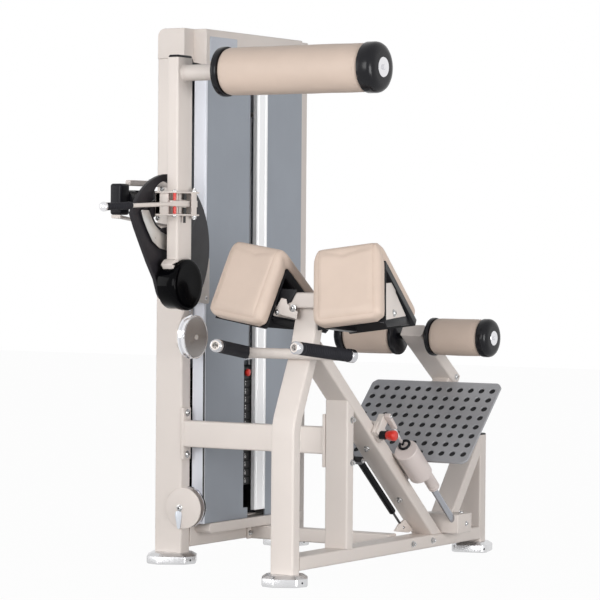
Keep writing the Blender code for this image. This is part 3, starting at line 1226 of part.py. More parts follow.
def build_pad(label, side):
    """A padded saddle: crowned skin, drawn-in sides and a flat back on its shell."""
    outer = saddle_rows(0.0, PAD_RIDGE_ROUNDING)
    back = saddle_rows(PAD_THICKNESS, 0.004)
    half = PAD_WIDTH / 2
    stations = (-1.0, -0.97, -0.90, -0.76, -0.45, 0.0, 0.45, 0.76, 0.90, 0.97, 1.0)
    side_rises = (0.45, 0.74, 0.90, 0.965, 0.992, 1.0, 0.992, 0.965, 0.90, 0.74, 0.45)
    end_rises = (0.45, 0.76, 0.92, 1.0)
    last = len(outer) - 1
    mesh_builder = bmesh.new()
    matrix = pad_matrix(side)
    skin, base = [], []
    for row, ((oy, oz), (by, bz)) in enumerate(zip(outer, back)):
        end_rise = end_rises[min(row, last - row, 3)]
        skin_row, base_row = [], []
        for station, side_rise in zip(stations, side_rises):
            rise = max(end_rise * side_rise, 0.40)
            x = station * half
            skin_row.append(mesh_builder.verts.new(matrix @ Vector((x, by + (oy - by) * rise,
                                                                    bz + (oz - bz) * rise))))
            drawn = 1.0 - 0.02 * (abs(station) == 1.0)
            base_row.append(mesh_builder.verts.new(matrix @ Vector((x * drawn, by, bz))))
        skin.append(skin_row)
        base.append(base_row)
    for grid in (skin, base):
        for first, second in zip(grid, grid[1:]):
            for step in range(len(stations) - 1):
                mesh_builder.faces.new((first[step], first[step + 1], second[step + 1], second[step]))
    for edge in (0, len(stations) - 1):
        for row in range(last):
            mesh_builder.faces.new((skin[row][edge], skin[row + 1][edge], base[row + 1][edge],
                                    base[row][edge]))
    for row in (0, last):
        for step in range(len(stations) - 1):
            mesh_builder.faces.new((skin[row][step], skin[row][step + 1], base[row][step + 1],
                                    base[row][step]))
    return make_object("pad_" + label, mesh_builder, TAN, smooth=50.0)


def build_shell(label, side):
    """The black backing shell, bent like the pad, with two ties that close its open side."""
    matrix = pad_matrix(side)
    half = PAD_WIDTH / 2 - SHELL_INSET
    outer = PAD_THICKNESS + TOUCH
    rows = [saddle_section(outer, 0.0055, 0.004), saddle_section(outer + SHELL_THICKNESS, 0.0, 0.004)]
    outline = [rows[0][0]] + rows[0][1] + [rows[0][2], rows[1][2], rows[1][1][0], rows[1][0]]
    shell = prism("pad_shell_" + label, [matrix @ Vector((-half, y, z)) for y, z in outline],
                  matrix.to_3x3() @ X_AXIS, 2 * half, BLACK)
    front, _, rear = rows[1]
    for name, x in (("inner", -half + 0.010), ("outer", half - 0.034)):
        tie_outline = [(front[0] - 0.004, front[1] + 0.002), (rear[0] - 0.020, rear[1] + 0.004),
                       (rear[0] - 0.040, rear[1] + 0.030),
                       (front[0] + 0.006, front[1] + 0.030)]
        tie = prism("tie_%s_%s" % (label, name), [matrix @ Vector((x, y, z)) for y, z in tie_outline],
                    matrix.to_3x3() @ X_AXIS, 0.024, BLACK)
        weld(shell, tie)
    bracket_low = rows[1][1][0]
    block = prism("saddle_block_" + label,
                  [matrix @ Vector((-half + 0.050 + side * 0.010, y, z)) for y, z in
                   ((bracket_low[0], bracket_low[1] + 0.003),
                    (bracket_low[0] + 0.060, bracket_low[1] - 0.044),
                    (bracket_low[0] + 0.045, bracket_low[1] - 0.088), (bracket_low[0] - 0.036,
                                                                       bracket_low[1] - 0.088))],
                  matrix.to_3x3() @ X_AXIS, 0.100, BLACK)
    return shell, block


def build_pads():
    for label, side in (("left", -1), ("right", 1)):
        build_pad(label, side)
        shell, block = build_shell(label, side)
        weld(shell, block)
        room = box("head_room_" + label, (FRAME_X - HEAD_REACH - TOUCH, HEAD_FRONT - TOUCH,
                                          HEAD_LOW - TOUCH),
                   (FRAME_X + HEAD_REACH + TOUCH, HEAD_REAR + TOUCH, HEAD_LOW + HEAD_HEIGHT + TOUCH), BLACK)
        cut(shell, room)


# Foot carriage


def build_carriage():
    """The saddle, strap, guide sleeve, spine and ankle arm are one welding that slides on the beam."""
    origin = on_diagonal(SADDLE_START, 0)
    beam_half = FRAME_DEPTH / 2 + SLIDING
    beam_side = FRAME_WIDTH / 2 + SLIDING
    near, far = FRAME_X - beam_side - SADDLE_WALL, FRAME_X + beam_side + SADDLE_WALL
    carriage = prism("carriage", [on_diagonal(SADDLE_START, -beam_half, near),
                                  on_diagonal(SADDLE_START, beam_half + SADDLE_WALL, near),
                                  on_diagonal(SADDLE_START, beam_half + SADDLE_WALL,
                                              far), on_diagonal(SADDLE_START, -beam_half, far),
                                  on_diagonal(SADDLE_START, -beam_half,
                                              far - SADDLE_WALL), on_diagonal(SADDLE_START, beam_half,
                                                                              far - SADDLE_WALL),
                                  on_diagonal(SADDLE_START, beam_half,
                                              near + SADDLE_WALL), on_diagonal(SADDLE_START, -beam_half,
                                                                               near + SADDLE_WALL)],
                     ALONG, SADDLE_END - SADDLE_START, CREAM, origin=origin)
    strap_low = beam_half + 0.002
    strap_high = strap_low + STRAP_THICKNESS
    strap_near, strap_far = FRAME_X - STRAP_WIDTH / 2, FRAME_X + STRAP_WIDTH / 2
    plate_way = Vector((0, cos(radians(PLATE_SLOPE)), sin(radians(PLATE_SLOPE))))
    plate_out = Vector((0, -sin(radians(PLATE_SLOPE)), cos(radians(PLATE_SLOPE))))
    low = point(FRAME_X, *PLATE_LOW)
    spine_low = low - plate_out * (PLATE_THICKNESS / 2 + TOUCH + FRAME_DEPTH / 2) - plate_way * 0.046
    corner = point(FRAME_X, *ANKLE_CORNER)
    spine_high = spine_low + plate_way * ((corner - spine_low).dot(plate_way) + FRAME_DEPTH / 2)
    ankle_high = point(FRAME_X, ANKLE_Y, ANKLE_Z) - ALONG * 0.030
    ankle_way = (ankle_high - corner).normalized()
    bracket_near = near - 0.004
    parts = [
        bar_box("carriage_strap", SADDLE_START + 0.010, SLEEVE_END, strap_low, strap_high, strap_near,
                strap_far),
        bar_box("hinge_block", SADDLE_START + 0.013, SADDLE_END - 0.008, strap_low + 0.002,
                LEVER_HINGE_RISE + 0.008, far - 0.024, far + 0.0012),
        solid_run("carriage_spine", spine_low, spine_high, STRAP_WIDTH, FRAME_DEPTH),
        solid_run("ankle_arm", corner - ankle_way * (FRAME_DEPTH / 2), ankle_high, FRAME_WIDTH,
                  FRAME_DEPTH),
        rod("sleeve", on_diagonal(SLEEVE_START, SLEEVE_RISE, GUIDE_X),
            on_diagonal(SLEEVE_END, SLEEVE_RISE, GUIDE_X), SLEEVE_RADIUS, CREAM, sides=28),
        rod("neck", on_diagonal(SLEEVE_END - 0.02, GUIDE_RISE, GUIDE_X),
            on_diagonal(NECK_END, GUIDE_RISE, GUIDE_X), NECK_RADIUS, CREAM, sides=24),
        bar_box("sleeve_web", SLEEVE_START + 0.010, SLEEVE_END - 0.015, strap_low + 0.001,
                strap_high - 0.001, strap_far - 0.010, GUIDE_X - 0.010),
        bar_box("gas_bracket", SADDLE_START + 0.015, SADDLE_END - 0.010, GAS_RISE - 0.010, 0.0,
                bracket_near, near + 0.005),
        bar_box("gas_arm", SADDLE_END - 0.030, GAS_START - 0.004, GAS_RISE - 0.012, GAS_RISE + 0.012,
                bracket_near + 0.001, FRAME_NEAR - 0.003),
        bar_box("gas_eye", GAS_START - 0.014, GAS_START - TOUCH, GAS_RISE - 0.011, GAS_RISE + 0.011,
                bracket_near + 0.002, GAS_X + 0.012),
    ]
    hinge = on_diagonal(LEVER_HINGE_ALONG, LEVER_HINGE_RISE, far)
    parts.append(rod("hinge_pin", hinge, hinge + X_AXIS * 0.026, 0.004, CREAM, sides=12))
    weld(carriage, *parts)
    bore = rod("sleeve_bore", on_diagonal(SLEEVE_START + 0.012, GUIDE_RISE, GUIDE_X),
               on_diagonal(NECK_END + 0.05, GUIDE_RISE, GUIDE_X), GUIDE_RADIUS + RUNNING, CREAM, sides=20)
    axle_bore = rod("ankle_bore", (FRAME_NEAR - 0.02, ANKLE_Y, ANKLE_Z),
                    (FRAME_FAR + 0.02, ANKLE_Y, ANKLE_Z), ANKLE_AXLE + RUNNING, CREAM, sides=20)
    pin_bore = rod("pull_pin_bore", on_diagonal(PULL_PIN_ALONG, PULL_PIN_RISE, far - 0.03),
                   on_diagonal(PULL_PIN_ALONG, PULL_PIN_RISE, far + 0.02),
                   PULL_PIN_RADIUS + RUNNING, CREAM, sides=12)
    cut(carriage, bore, axle_bore, pin_bore)
    rod("guide_rod", on_diagonal(GUIDE_START, GUIDE_RISE, GUIDE_X),
        on_diagonal(GUIDE_END, GUIDE_RISE, GUIDE_X), GUIDE_RADIUS, CHROME, sides=20)
    build_foot_plate(low, plate_way, plate_out, origin)
    build_gas_spring(origin)
    build_release(far)


def bar_box(name, start, end, rise_low, rise_high, x_low, x_high):
    """A bar laid parallel to the diagonal beam."""
    corners = [on_diagonal(start, rise_low, x_low), on_diagonal(end, rise_low, x_low),
               on_diagonal(end, rise_high, x_low), on_diagonal(start, rise_high, x_low)]
    return prism(name, corners, X_AXIS, x_high - x_low, CREAM)


def solid_run(name, start, end, width, depth):
    """A solid rectangular bar between two points in one plane X."""
    way = (end - start).normalized()
    across = way.cross(X_AXIS) * (depth / 2)
    offset = X_AXIS * (-width / 2)
    corners = [start + across + offset, end + across + offset, end - across + offset,
               start - across + offset]
    return prism(name, corners, X_AXIS, width, CREAM)


def build_foot_plate(low, way, out, origin):
    half = PLATE_WIDTH / 2
    base = low - out * (PLATE_THICKNESS / 2)
    c = PLATE_CHAMFER
    outline = [(-half + c, 0), (half - c, 0), (half, c), (half, PLATE_LENGTH - c),
               (half - c, PLATE_LENGTH), (-half + c, PLATE_LENGTH),
               (-half, PLATE_LENGTH - c), (-half, c)]
    plate = prism("foot_plate", [base + X_AXIS * x + way * s for x, s in outline], out, PLATE_THICKNESS,
                  STEEL, origin=origin)
    mesh_builder = bmesh.new()
    first_x = -(HOLE_COLUMNS - 1) * HOLE_PITCH / 2
    first_s = (PLATE_LENGTH - (HOLE_ROWS - 1) * HOLE_PITCH) / 2
    for column in range(HOLE_COLUMNS):
        for row in range(HOLE_ROWS):
            centre = base + X_AXIS * (first_x + column * HOLE_PITCH) + way * (first_s + row * HOLE_PITCH)
            rings = []
            for rise in (-0.004, PLATE_THICKNESS + 0.004):
                ring = []
                for step in range(HOLE_SIDES):
                    angle = 2 * pi * (step + 0.5) / HOLE_SIDES
                    spoke = X_AXIS * (HOLE_RADIUS * cos(angle)) + way * (HOLE_RADIUS * sin(angle))
                    ring.append(mesh_builder.verts.new(centre + out * rise + spoke))
                rings.append(ring)
            for step in range(HOLE_SIDES):
                after = (step + 1) % HOLE_SIDES
                mesh_builder.faces.new((rings[0][step], rings[0][after], rings[1][after], rings[1][step]))
            mesh_builder.faces.new(reversed(rings[0]))
            mesh_builder.faces.new(rings[1])
    notch = rod("foot_plate_notch", on_diagonal(SLEEVE_START, GUIDE_RISE, GUIDE_X),
                on_diagonal(SLEEVE_END, GUIDE_RISE, GUIDE_X),
                SLEEVE_RADIUS + TOUCH, STEEL, sides=24)
    cut(plate, make_object("foot_plate_holes", mesh_builder, STEEL), notch)


def build_ankle_rollers():
    """Both ankle rollers turn on one axle through the ankle arm."""
    axis = point(FRAME_X, ANKLE_Y, ANKLE_Z)
    cores = []
    for label, side in (("left", -1), ("right", 1)):
        start = axis + X_AXIS * (side * ANKLE_NEAR)
        way = X_AXIS * side
        length = ANKLE_FAR - ANKLE_NEAR
        name = "ankle_roller_core" if side < 0 else "ankle_core_" + label
        cores.append(roller_core(name, start, way, length,
                                 (ANKLE_RIM, ANKLE_CAP, ANKLE_RADIUS + 0.002,
                                  ANKLE_CORE), BLACK, axis, sides=24))
        foam("ankle_pad_" + label, start + way * (ANKLE_RIM + TOUCH), way,
             length - ANKLE_RIM - ANKLE_CAP - 2 * TOUCH, ANKLE_RADIUS, ANKLE_CORE + TOUCH,
             TAN, axis, sides=24)
    axle = rod("ankle_axle", axis - X_AXIS * (ANKLE_NEAR + 0.01), axis + X_AXIS * (ANKLE_NEAR + 0.01),
               ANKLE_AXLE, BLACK, sides=20)
    weld(cores[0], cores[1], axle)


def build_gas_spring(origin):
    """The cylinder rides with the carriage, and its rod stands on a lug under the beam."""
    length = GAS_END - GAS_START
    turned("gas_spring_cylinder", on_diagonal(GAS_START, GAS_RISE, GAS_X), ALONG,
           [(0, 0.0), (0, GAS_RADIUS - 0.002), (0.003, GAS_RADIUS), (length - 0.003, GAS_RADIUS),
            (length, GAS_RADIUS - 0.003),
            (length, GAS_ROD_RADIUS + RUNNING), (0.026, GAS_ROD_RADIUS
                                                 + RUNNING), (0.026, 0.0)], BLACK, sides=16, origin=origin)
    lug = bar_box("gas_spring_rod", GAS_LUG, GAS_LUG + GAS_LUG_LENGTH, GAS_RISE - GAS_LUG_HANG,
                  -FRAME_DEPTH / 2 - TOUCH, GAS_X - 0.010, GAS_X + 0.010)
    piston = rod("gas_piston", on_diagonal(GAS_START + 0.026 + CARRIAGE_DOWN + 0.004, GAS_RISE, GAS_X),
                 on_diagonal(GAS_LUG + 0.004, GAS_RISE, GAS_X),
                 GAS_ROD_RADIUS, STEEL, sides=10)
    weld(lug, piston)


def build_release(face):
    """A red pull knob locks the carriage, and a hand lever lies along the sleeve."""
    start = on_diagonal(PULL_PIN_ALONG, PULL_PIN_RISE, face - SADDLE_WALL)
    turned("pull_knob", start, X_AXIS, [(0, 0.005), (0.001, PULL_PIN_RADIUS),
                                        (SADDLE_WALL + 0.012, PULL_PIN_RADIUS), (SADDLE_WALL + 0.013,
                                                                                 0.014),
                                        (SADDLE_WALL + 0.032, 0.017), (SADDLE_WALL + 0.042,
                                                0.017), (SADDLE_WALL + 0.048, 0.012)],
           RED, sides=16, origin=start)
    hinge = on_diagonal(LEVER_HINGE_ALONG, LEVER_HINGE_RISE, face + 0.012)
    tip = on_diagonal(LEVER_TIP_ALONG, LEVER_TIP_RISE, face + 0.012)
    way = (tip - hinge).normalized()
    start = hinge - way * 0.010
    across = way.cross(X_AXIS) * 0.007
    offset = X_AXIS * -0.010
    lever = prism("release_lever", [start + across + offset, tip + across * 0.7 + offset,
                                    tip - across * 0.7 + offset, start - across + offset],
                  X_AXIS, 0.020, CREAM, origin=hinge)
    eye = rod("release_eye", hinge - X_AXIS * 0.03, hinge + X_AXIS * 0.03, 0.004 + RUNNING, CREAM, sides=12)
    cut(lever, eye)


def centre_footprint():
    """Shift the whole machine so that the middle of its box stands on the origin."""
    graph = bpy.context.evaluated_depsgraph_get()
    low, high = Vector((9, 9)), Vector((-9, -9))
    for item in bpy.data.objects:
        if item.type not in {"MESH", "CURVE"} or item.hide_render:
            continue
        shape = item.evaluated_get(graph)
        mesh = shape.to_mesh()
        for vertex in mesh.vertices:
            spot = shape.matrix_world @ vertex.co
            for axis in (0, 1):
                low[axis] = min(low[axis], spot[axis])
                high[axis] = max(high[axis], spot[axis])
        shape.to_mesh_clear()
    MACHINE.location = (-(low[0] + high[0]) / 2, -(low[1] + high[1]) / 2, 0)


def main():
    build_feet()
    build_tower()
    build_shroud()
    build_stack()
    build_pulleys()
    build_cables()
    build_pivot()
    build_cam()
    build_arm()
    build_back_roller()
    build_latch()
    build_stop()
    build_frame()
    build_handlebar()
    build_pads()
    build_carriage()
    build_ankle_rollers()
    centre_footprint()


main()
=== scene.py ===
"""Looks of the back extension machine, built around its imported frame.

Places are given from the middle of the tower's front foot, in metres: X runs from the tower to
the user's frame, the user faces -Y and Z is up. P() turns such a place into the row's frame.
"""

from math import atan2, cos, hypot, pi, radians, sin, sqrt, tan

import bpy
import bmesh
from mathutils import Matrix, Vector
from mathutils.bvhtree import BVHTree
from mathutils.kdtree import KDTree


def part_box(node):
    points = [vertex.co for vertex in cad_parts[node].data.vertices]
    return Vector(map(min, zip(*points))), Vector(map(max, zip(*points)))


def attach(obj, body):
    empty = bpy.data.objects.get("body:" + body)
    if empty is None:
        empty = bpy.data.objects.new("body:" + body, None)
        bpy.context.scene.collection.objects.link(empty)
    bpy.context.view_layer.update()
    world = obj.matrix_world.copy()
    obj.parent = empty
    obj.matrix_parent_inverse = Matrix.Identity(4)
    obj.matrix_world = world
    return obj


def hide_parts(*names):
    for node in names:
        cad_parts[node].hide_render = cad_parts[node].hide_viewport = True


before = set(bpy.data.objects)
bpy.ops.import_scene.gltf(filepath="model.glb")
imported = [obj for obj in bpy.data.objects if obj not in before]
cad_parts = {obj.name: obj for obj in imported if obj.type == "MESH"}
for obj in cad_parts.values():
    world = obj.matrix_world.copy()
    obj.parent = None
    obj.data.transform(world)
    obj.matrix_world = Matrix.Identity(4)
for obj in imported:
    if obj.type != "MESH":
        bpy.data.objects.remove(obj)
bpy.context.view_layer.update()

X = Vector((1, 0, 0))
Y = Vector((0, 1, 0))
Z = Vector((0, 0, 1))
foot_low, foot_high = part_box("foot_tower_front")
BASE = Vector(((foot_low.x + foot_high.x) / 2, (foot_low.y + foot_high.y) / 2, 0))


def P(x, y, z):
    return BASE + Vector((x, y, z))


def at_x(x, points):
    return [P(x, y, z) for y, z in points]


def at_y(y, points):
    return [P(x, y, z) for x, z in points]


def at_z(z, points):
    return [P(x, y, z) for x, y in points]


# Camera and light

VIEW_FROM = (5.092, -7.556, 1.014)
VIEW_YAW = 31.439
VIEW_PITCH = 1.082
VIEW_ROLL = 0.454
VIEW_FOCAL_PIXELS = 2850
PICTURE_PIXELS = 600
SENSOR = 36.0
FLOOR_REACH = 14.0


def put(name, data):
    item = bpy.data.objects.new(name, data)
    bpy.context.scene.collection.objects.link(item)
    return item


def add_camera():
    yaw, pitch, roll = radians(VIEW_YAW), radians(VIEW_PITCH), radians(VIEW_ROLL)
    level = Vector((-sin(yaw), cos(yaw), 0))
    right = Vector((cos(yaw), sin(yaw), 0))
    forward = level * cos(pitch) - Z * sin(pitch)
    up = Z * cos(pitch) + level * sin(pitch)
    side = right * cos(roll) + up * sin(roll)
    top = up * cos(roll) - right * sin(roll)
    data = bpy.data.cameras.new("photo_view")
    data.sensor_width = SENSOR
    data.lens = VIEW_FOCAL_PIXELS / PICTURE_PIXELS * SENSOR
    data.clip_end = 60
    camera = put("photo_view", data)
    turn = Matrix((side, top, -forward)).transposed().to_4x4()
    camera.matrix_world = Matrix.Translation(P(*VIEW_FROM)) @ turn
    bpy.context.scene.camera = camera


def add_lamp(name, place, target, size, power):
    data = bpy.data.lights.new(name, "AREA")
    data.shape = "RECTANGLE"
    data.size, data.size_y = size
    data.energy = power
    lamp = put(name, data)
    lamp.location = P(*place)
    lamp.rotation_euler = (P(*target) - lamp.location).to_track_quat("-Z", "Y").to_euler()


def set_inputs(node, values):
    for name, value in values.items():
        node.inputs[name].default_value = value


def ramp(tree, source, low, high, start, end):
    """Colour that goes from low to high as the source goes from start to end."""
    node = tree.nodes.new("ShaderNodeValToRGB")
    for element, place, colour in zip(node.color_ramp.elements, (start, end), (low, high)):
        element.position = place
        element.color = (*colour, 1)
    tree.links.new(source, node.inputs["Fac"])
    return node.outputs["Color"]


def background_mix(tree, plain, white, share=1.0):
    """Mix two shaders so that camera, glossy and transmission rays see the white one."""
    link = tree.links.new
    path = tree.nodes.new("ShaderNodeLightPath")
    seen = path.outputs["Is Camera Ray"]
    for ray in ("Is Glossy Ray", "Is Transmission Ray"):
        either = tree.nodes.new("ShaderNodeMath")
        either.operation = "MAXIMUM"
        link(seen, either.inputs[0])
        link(path.outputs[ray], either.inputs[1])
        seen = either.outputs[0]
    scale = tree.nodes.new("ShaderNodeMath")
    scale.operation = "MULTIPLY"
    scale.inputs[1].default_value = share
    link(seen, scale.inputs[0])
    mix = tree.nodes.new("ShaderNodeMixShader")
    link(scale.outputs[0], mix.inputs[0])
    link(plain.outputs[0], mix.inputs[1])
    link(white.outputs[0], mix.inputs[2])
    return mix.outputs[0]


def add_studio():
    scene = bpy.context.scene
    scene.view_settings.view_transform = "Standard"
    world = bpy.data.worlds.new("studio")
    scene.world = world
    world.use_nodes = True
    tree = world.node_tree
    plain = tree.nodes["Background"]
    set_inputs(plain, {"Strength": 0.46})
    place = tree.nodes.new("ShaderNodeTexCoord")
    split = tree.nodes.new("ShaderNodeSeparateXYZ")
    tree.links.new(place.outputs["Generated"], split.inputs[0])
    sky = ramp(tree, split.outputs["Z"], (1.03, 1.04, 1.06), (0.60, 0.61, 0.63), 0.15, 0.80)
    tree.links.new(sky, plain.inputs["Color"])
    white = tree.nodes.new("ShaderNodeBackground")
    set_inputs(white, {"Color": (1, 1, 1, 1), "Strength": 1.0})
    tree.links.new(background_mix(tree, plain, white), tree.nodes["World Output"].inputs["Surface"])
    add_lamp("key", (0.5, -6.0, 2.0), (0.35, 0.1, 0.9), (3.6, 2.8), 190)
    add_lamp("left_fill", (-3.4, -3.2, 1.8), (0.2, 0.1, 0.9), (2.0, 2.6), 45)
    add_lamp("right_fill", (5.0, -1.6, 0.8), (0.4, 0.2, 0.7), (2.4, 2.0), 140)
    floor = bpy.data.meshes.new("floor")
    corners = [(x * FLOOR_REACH, y * FLOOR_REACH, 0.0) for x, y in ((-1, -1), (1, -1), (1, 1), (-1, 1))]
    floor.from_pydata(corners, [], [(0, 1, 2, 3)])
    ground = put("floor", floor)
    paint = bpy.data.materials.new("floor_white")
    paint.use_nodes = True
    tree = paint.node_tree
    matt = tree.nodes["Principled BSDF"]
    set_inputs(matt, {"Base Color": (0.42, 0.42, 0.42, 1), "Roughness": 0.9})
    glow = tree.nodes.new("ShaderNodeEmission")
    set_inputs(glow, {"Color": (1, 1, 1, 1)})
    tree.links.new(background_mix(tree, matt, glow, 0.97),
            tree.nodes["Material Output"].inputs["Surface"])
    floor.materials.append(paint)


# Materials


def add_node(tree, kind, **values):
    node = tree.nodes.new(kind)
    for key, value in values.items():
        if key in node.inputs:
            node.inputs[key].default_value = value
        else:
            setattr(node, key, value)
    return node


def surface(name, colour, roughness, metallic=0.0, tint=0.04, patch=5.0, grain=900.0, depth=0.05,
        stretch=(1, 1, 1), spread=0.08, kind="noise", coat=0.0, sheen=0.0, specular=0.5):
    """A finish with slow colour drift, uneven gloss and a fine relief.

    stretch draws the relief out along an axis, as brushing does. kind is noise, or cells for
    leather and moulded grain.
    """
    material = bpy.data.materials.new(name)
    material.use_nodes = True
    tree = material.node_tree
    link = tree.links.new
    shader = tree.nodes["Principled BSDF"]
    set_inputs(shader, {"Metallic": metallic, "Specular IOR Level": specular})
    if coat:
        set_inputs(shader, {"Coat Weight": coat, "Coat Roughness": 0.08})
    if sheen:
        set_inputs(shader, {"Sheen Weight": sheen, "Sheen Roughness": 0.5})
    place = add_node(tree, "ShaderNodeTexCoord").outputs["Object"]
    mapping = add_node(tree, "ShaderNodeMapping", Scale=stretch)
    link(place, mapping.inputs["Vector"])
    drawn = mapping.outputs["Vector"]
    drift = add_node(tree, "ShaderNodeTexNoise", Scale=patch, Detail=4.0, Roughness=0.6)
    link(place, drift.inputs["Vector"])
    low = [max(value * (1 - tint), 0) for value in colour]
    high = [min(value * (1 + tint), 1) for value in colour]
    link(ramp(tree, drift.outputs["Fac"], low, high, 0.3, 0.7), shader.inputs["Base Color"])
    if kind == "cells":
        relief = add_node(tree, "ShaderNodeTexVoronoi", Scale=grain, feature="DISTANCE_TO_EDGE")
        height = relief.outputs["Distance"]
    else:
        relief = add_node(tree, "ShaderNodeTexNoise", Scale=grain, Detail=3.0, Roughness=0.55)
        height = relief.outputs["Fac"]
    link(drawn, relief.inputs["Vector"])
    uneven = add_node(tree, "ShaderNodeTexNoise", Scale=patch * 6, Detail=5.0, Roughness=0.6)
    link(drawn, uneven.inputs["Vector"])
    gloss = add_node(tree, "ShaderNodeMapRange")
    set_inputs(gloss, {"To Min": max(roughness - spread, 0.02), "To Max": min(roughness + spread, 1.0)})
    link(uneven.outputs["Fac"], gloss.inputs["Value"])
    link(gloss.outputs["Result"], shader.inputs["Roughness"])
    bump = add_node(tree, "ShaderNodeBump", Strength=depth, Distance=0.001)
    link(height, bump.inputs["Height"])
    link(bump.outputs["Normal"], shader.inputs["Normal"])
    return material


CREAM = surface("cream_powder_coat", (0.69, 0.625, 0.580), 0.46, tint=0.015, grain=1400)
TAN = surface("tan_leather", (0.610, 0.490, 0.410), 0.54, tint=0.03, patch=9, grain=620, depth=0.16,
        kind="cells", sheen=0.04, specular=0.4)
# Darker tan for lines laid in seam grooves: painted shade in the creases.
SEAM_SHADE = surface("tan_seam_shade", (0.55, 0.43, 0.355), 0.6, tint=0.05, patch=40, grain=1500, depth=0.3)
STITCH = surface("tan_thread", (0.62, 0.50, 0.42), 0.6, tint=0.05, patch=60, grain=2500, depth=0.4)
BLACK = surface("black_moulding", (0.012, 0.012, 0.014), 0.34, tint=0.25, grain=1100, depth=0.10,
        kind="cells", specular=0.12)
GLOSS = surface("black_gloss", (0.0015, 0.0015, 0.002), 0.10, tint=0.2, grain=60, depth=0.01, spread=0.03,
        specular=0.05)
CAM_PAINT = surface("black_cam_paint", (0.017, 0.015, 0.018), 0.45, tint=0.15, grain=1300, depth=0.08,
        specular=0.25)
RUBBER = surface("black_rubber", (0.018, 0.018, 0.022), 0.62, tint=0.2, patch=20, grain=1600, depth=0.2,
        specular=0.12)
CHROME = surface("chrome", (0.80, 0.80, 0.82), 0.10, 1.0, tint=0.04, grain=300, depth=0.01, spread=0.05)
ROD_CHROME = surface("rod_chrome", (0.36, 0.37, 0.40), 0.22, 1.0, tint=0.04, grain=300, depth=0.01,
        spread=0.05)
FOOT_METAL = surface("foot_chrome", (0.62, 0.62, 0.63), 0.26, 1.0, tint=0.06, depth=0.04)
BOLT = surface("bolt_zinc", (0.50, 0.50, 0.50), 0.25, 1.0, tint=0.12, patch=90)
DARK_STEEL = surface("dark_steel", (0.09, 0.09, 0.095), 0.35, 0.9, tint=0.2)
# Near-black steel: the floors of hexagon sockets, as painted shade, and the dark latch screws.
DARK_SCREW_AND_SOCKET_SHADE = surface("dark_screw_and_socket_shade", (0.03, 0.03, 0.03), 0.5, 0.6, tint=0.2, depth=0.1)
PANEL = surface("grey_satin_panel", (0.285, 0.31, 0.35), 0.38, 0.35, tint=0.05, patch=3, depth=0.03,
        stretch=(1, 1, 0.03))
# A paler copy of the grey panel paint for the face turned to the lamps: painted light.
LIT_PANEL = surface("panel_return_painted_light", (0.74, 0.76, 0.82), 0.35, 0.15, tint=0.03, patch=4, depth=0.03,
        stretch=(1, 1, 0.03))
PROFILE = surface("aluminium_profile", (0.97, 0.97, 0.98), 0.30, 0.30, tint=0.02, patch=4, depth=0.03,
        stretch=(1, 1, 0.03))
IRON = surface("black_plates", (0.012, 0.012, 0.013), 0.5, tint=0.3, patch=25, grain=700, depth=0.12)
MARK = surface("plate_marks", (0.80, 0.80, 0.80), 0.5, tint=0.05, patch=30, depth=0.03)
RED = surface("red_plastic", (0.62, 0.018, 0.008), 0.30, tint=0.10, patch=30, grain=700, coat=0.2)
CABLE = surface("black_cable", (0.012, 0.012, 0.013), 0.4, tint=0.2, patch=60, grain=2200, depth=0.2)
# Near-black paint for discs set into holes: painted shade standing in for the depth of each hole.
HOLE_SHADE = surface("painted_hole_shade", (0.004, 0.004, 0.005), 0.8, tint=0.2, grain=300)
IDLER_DISH = surface("turned_aluminium", (0.40, 0.385, 0.375), 0.24, 1.0, tint=0.05, patch=10, grain=700,
        depth=0.04)
LABEL = surface("blank_label", (0.46, 0.48, 0.53), 0.30, 0.4, tint=0.03, patch=20, depth=0.02,
        stretch=(1, 0.05, 1))
PALE_METAL = surface("pale_metal_tab", (0.62, 0.65, 0.70), 0.30, 0.6, tint=0.05, patch=20)
RANGE_STEEL = surface("range_plate_steel", (0.60, 0.59, 0.57), 0.30, 0.85, tint=0.05, patch=10, grain=700,
        depth=0.04)
STOP_RUBBER = surface("stop_rubber", (0.010, 0.010, 0.013), 0.34, tint=0.2, patch=20, depth=0.12,
        kind="cells", specular=0.15)
SPOOL = surface("spool_plastic", (0.008, 0.008, 0.010), 0.22, tint=0.2, depth=0.04, specular=0.22)
CAP_METAL = surface("handle_cap_metal", (0.55, 0.55, 0.57), 0.24, 1.0, tint=0.05, patch=20, grain=500,
        depth=0.03)
SLEEVE_WHITE = surface("white_sleeve", (0.68, 0.60, 0.57), 0.44, tint=0.02, grain=1200)
GREY_STEEL = surface("foot_plate_grey", (0.36, 0.36, 0.375), 0.42, 0.45, tint=0.06, patch=6, grain=700,
        depth=0.06)
GAS_BLACK = surface("gas_barrel_black", (0.004, 0.004, 0.005), 0.28, tint=0.1, patch=20, grain=700,
        depth=0.03, specular=0.12)


# Meshes


def soften(points, radius, steps=4, closed=False):
    """Round each corner of a line of points with a short curve."""
    points = [Vector(p) for p in points]
    count = len(points)
    line = []
    for index, corner in enumerate(points):
        if not closed and index in (0, count - 1):
            line.append(corner)
            continue
        before = points[index - 1]
        after = points[(index + 1) % count]
        back = min(radius, (before - corner).length * 0.48)
        ahead = min(radius, (after - corner).length * 0.48)
        if back < 1e-6 or ahead < 1e-6:
            line.append(corner)
            continue
        start = corner + (before - corner).normalized() * back
        end = corner + (after - corner).normalized() * ahead
        for step in range(steps + 1):
            t = step / steps
            line.append(start * (1 - t) ** 2 + corner * (2 * t * (1 - t)) + end * t ** 2)
    return line


def rounded(points, radius):
    return soften(points, radius, 4, closed=True)


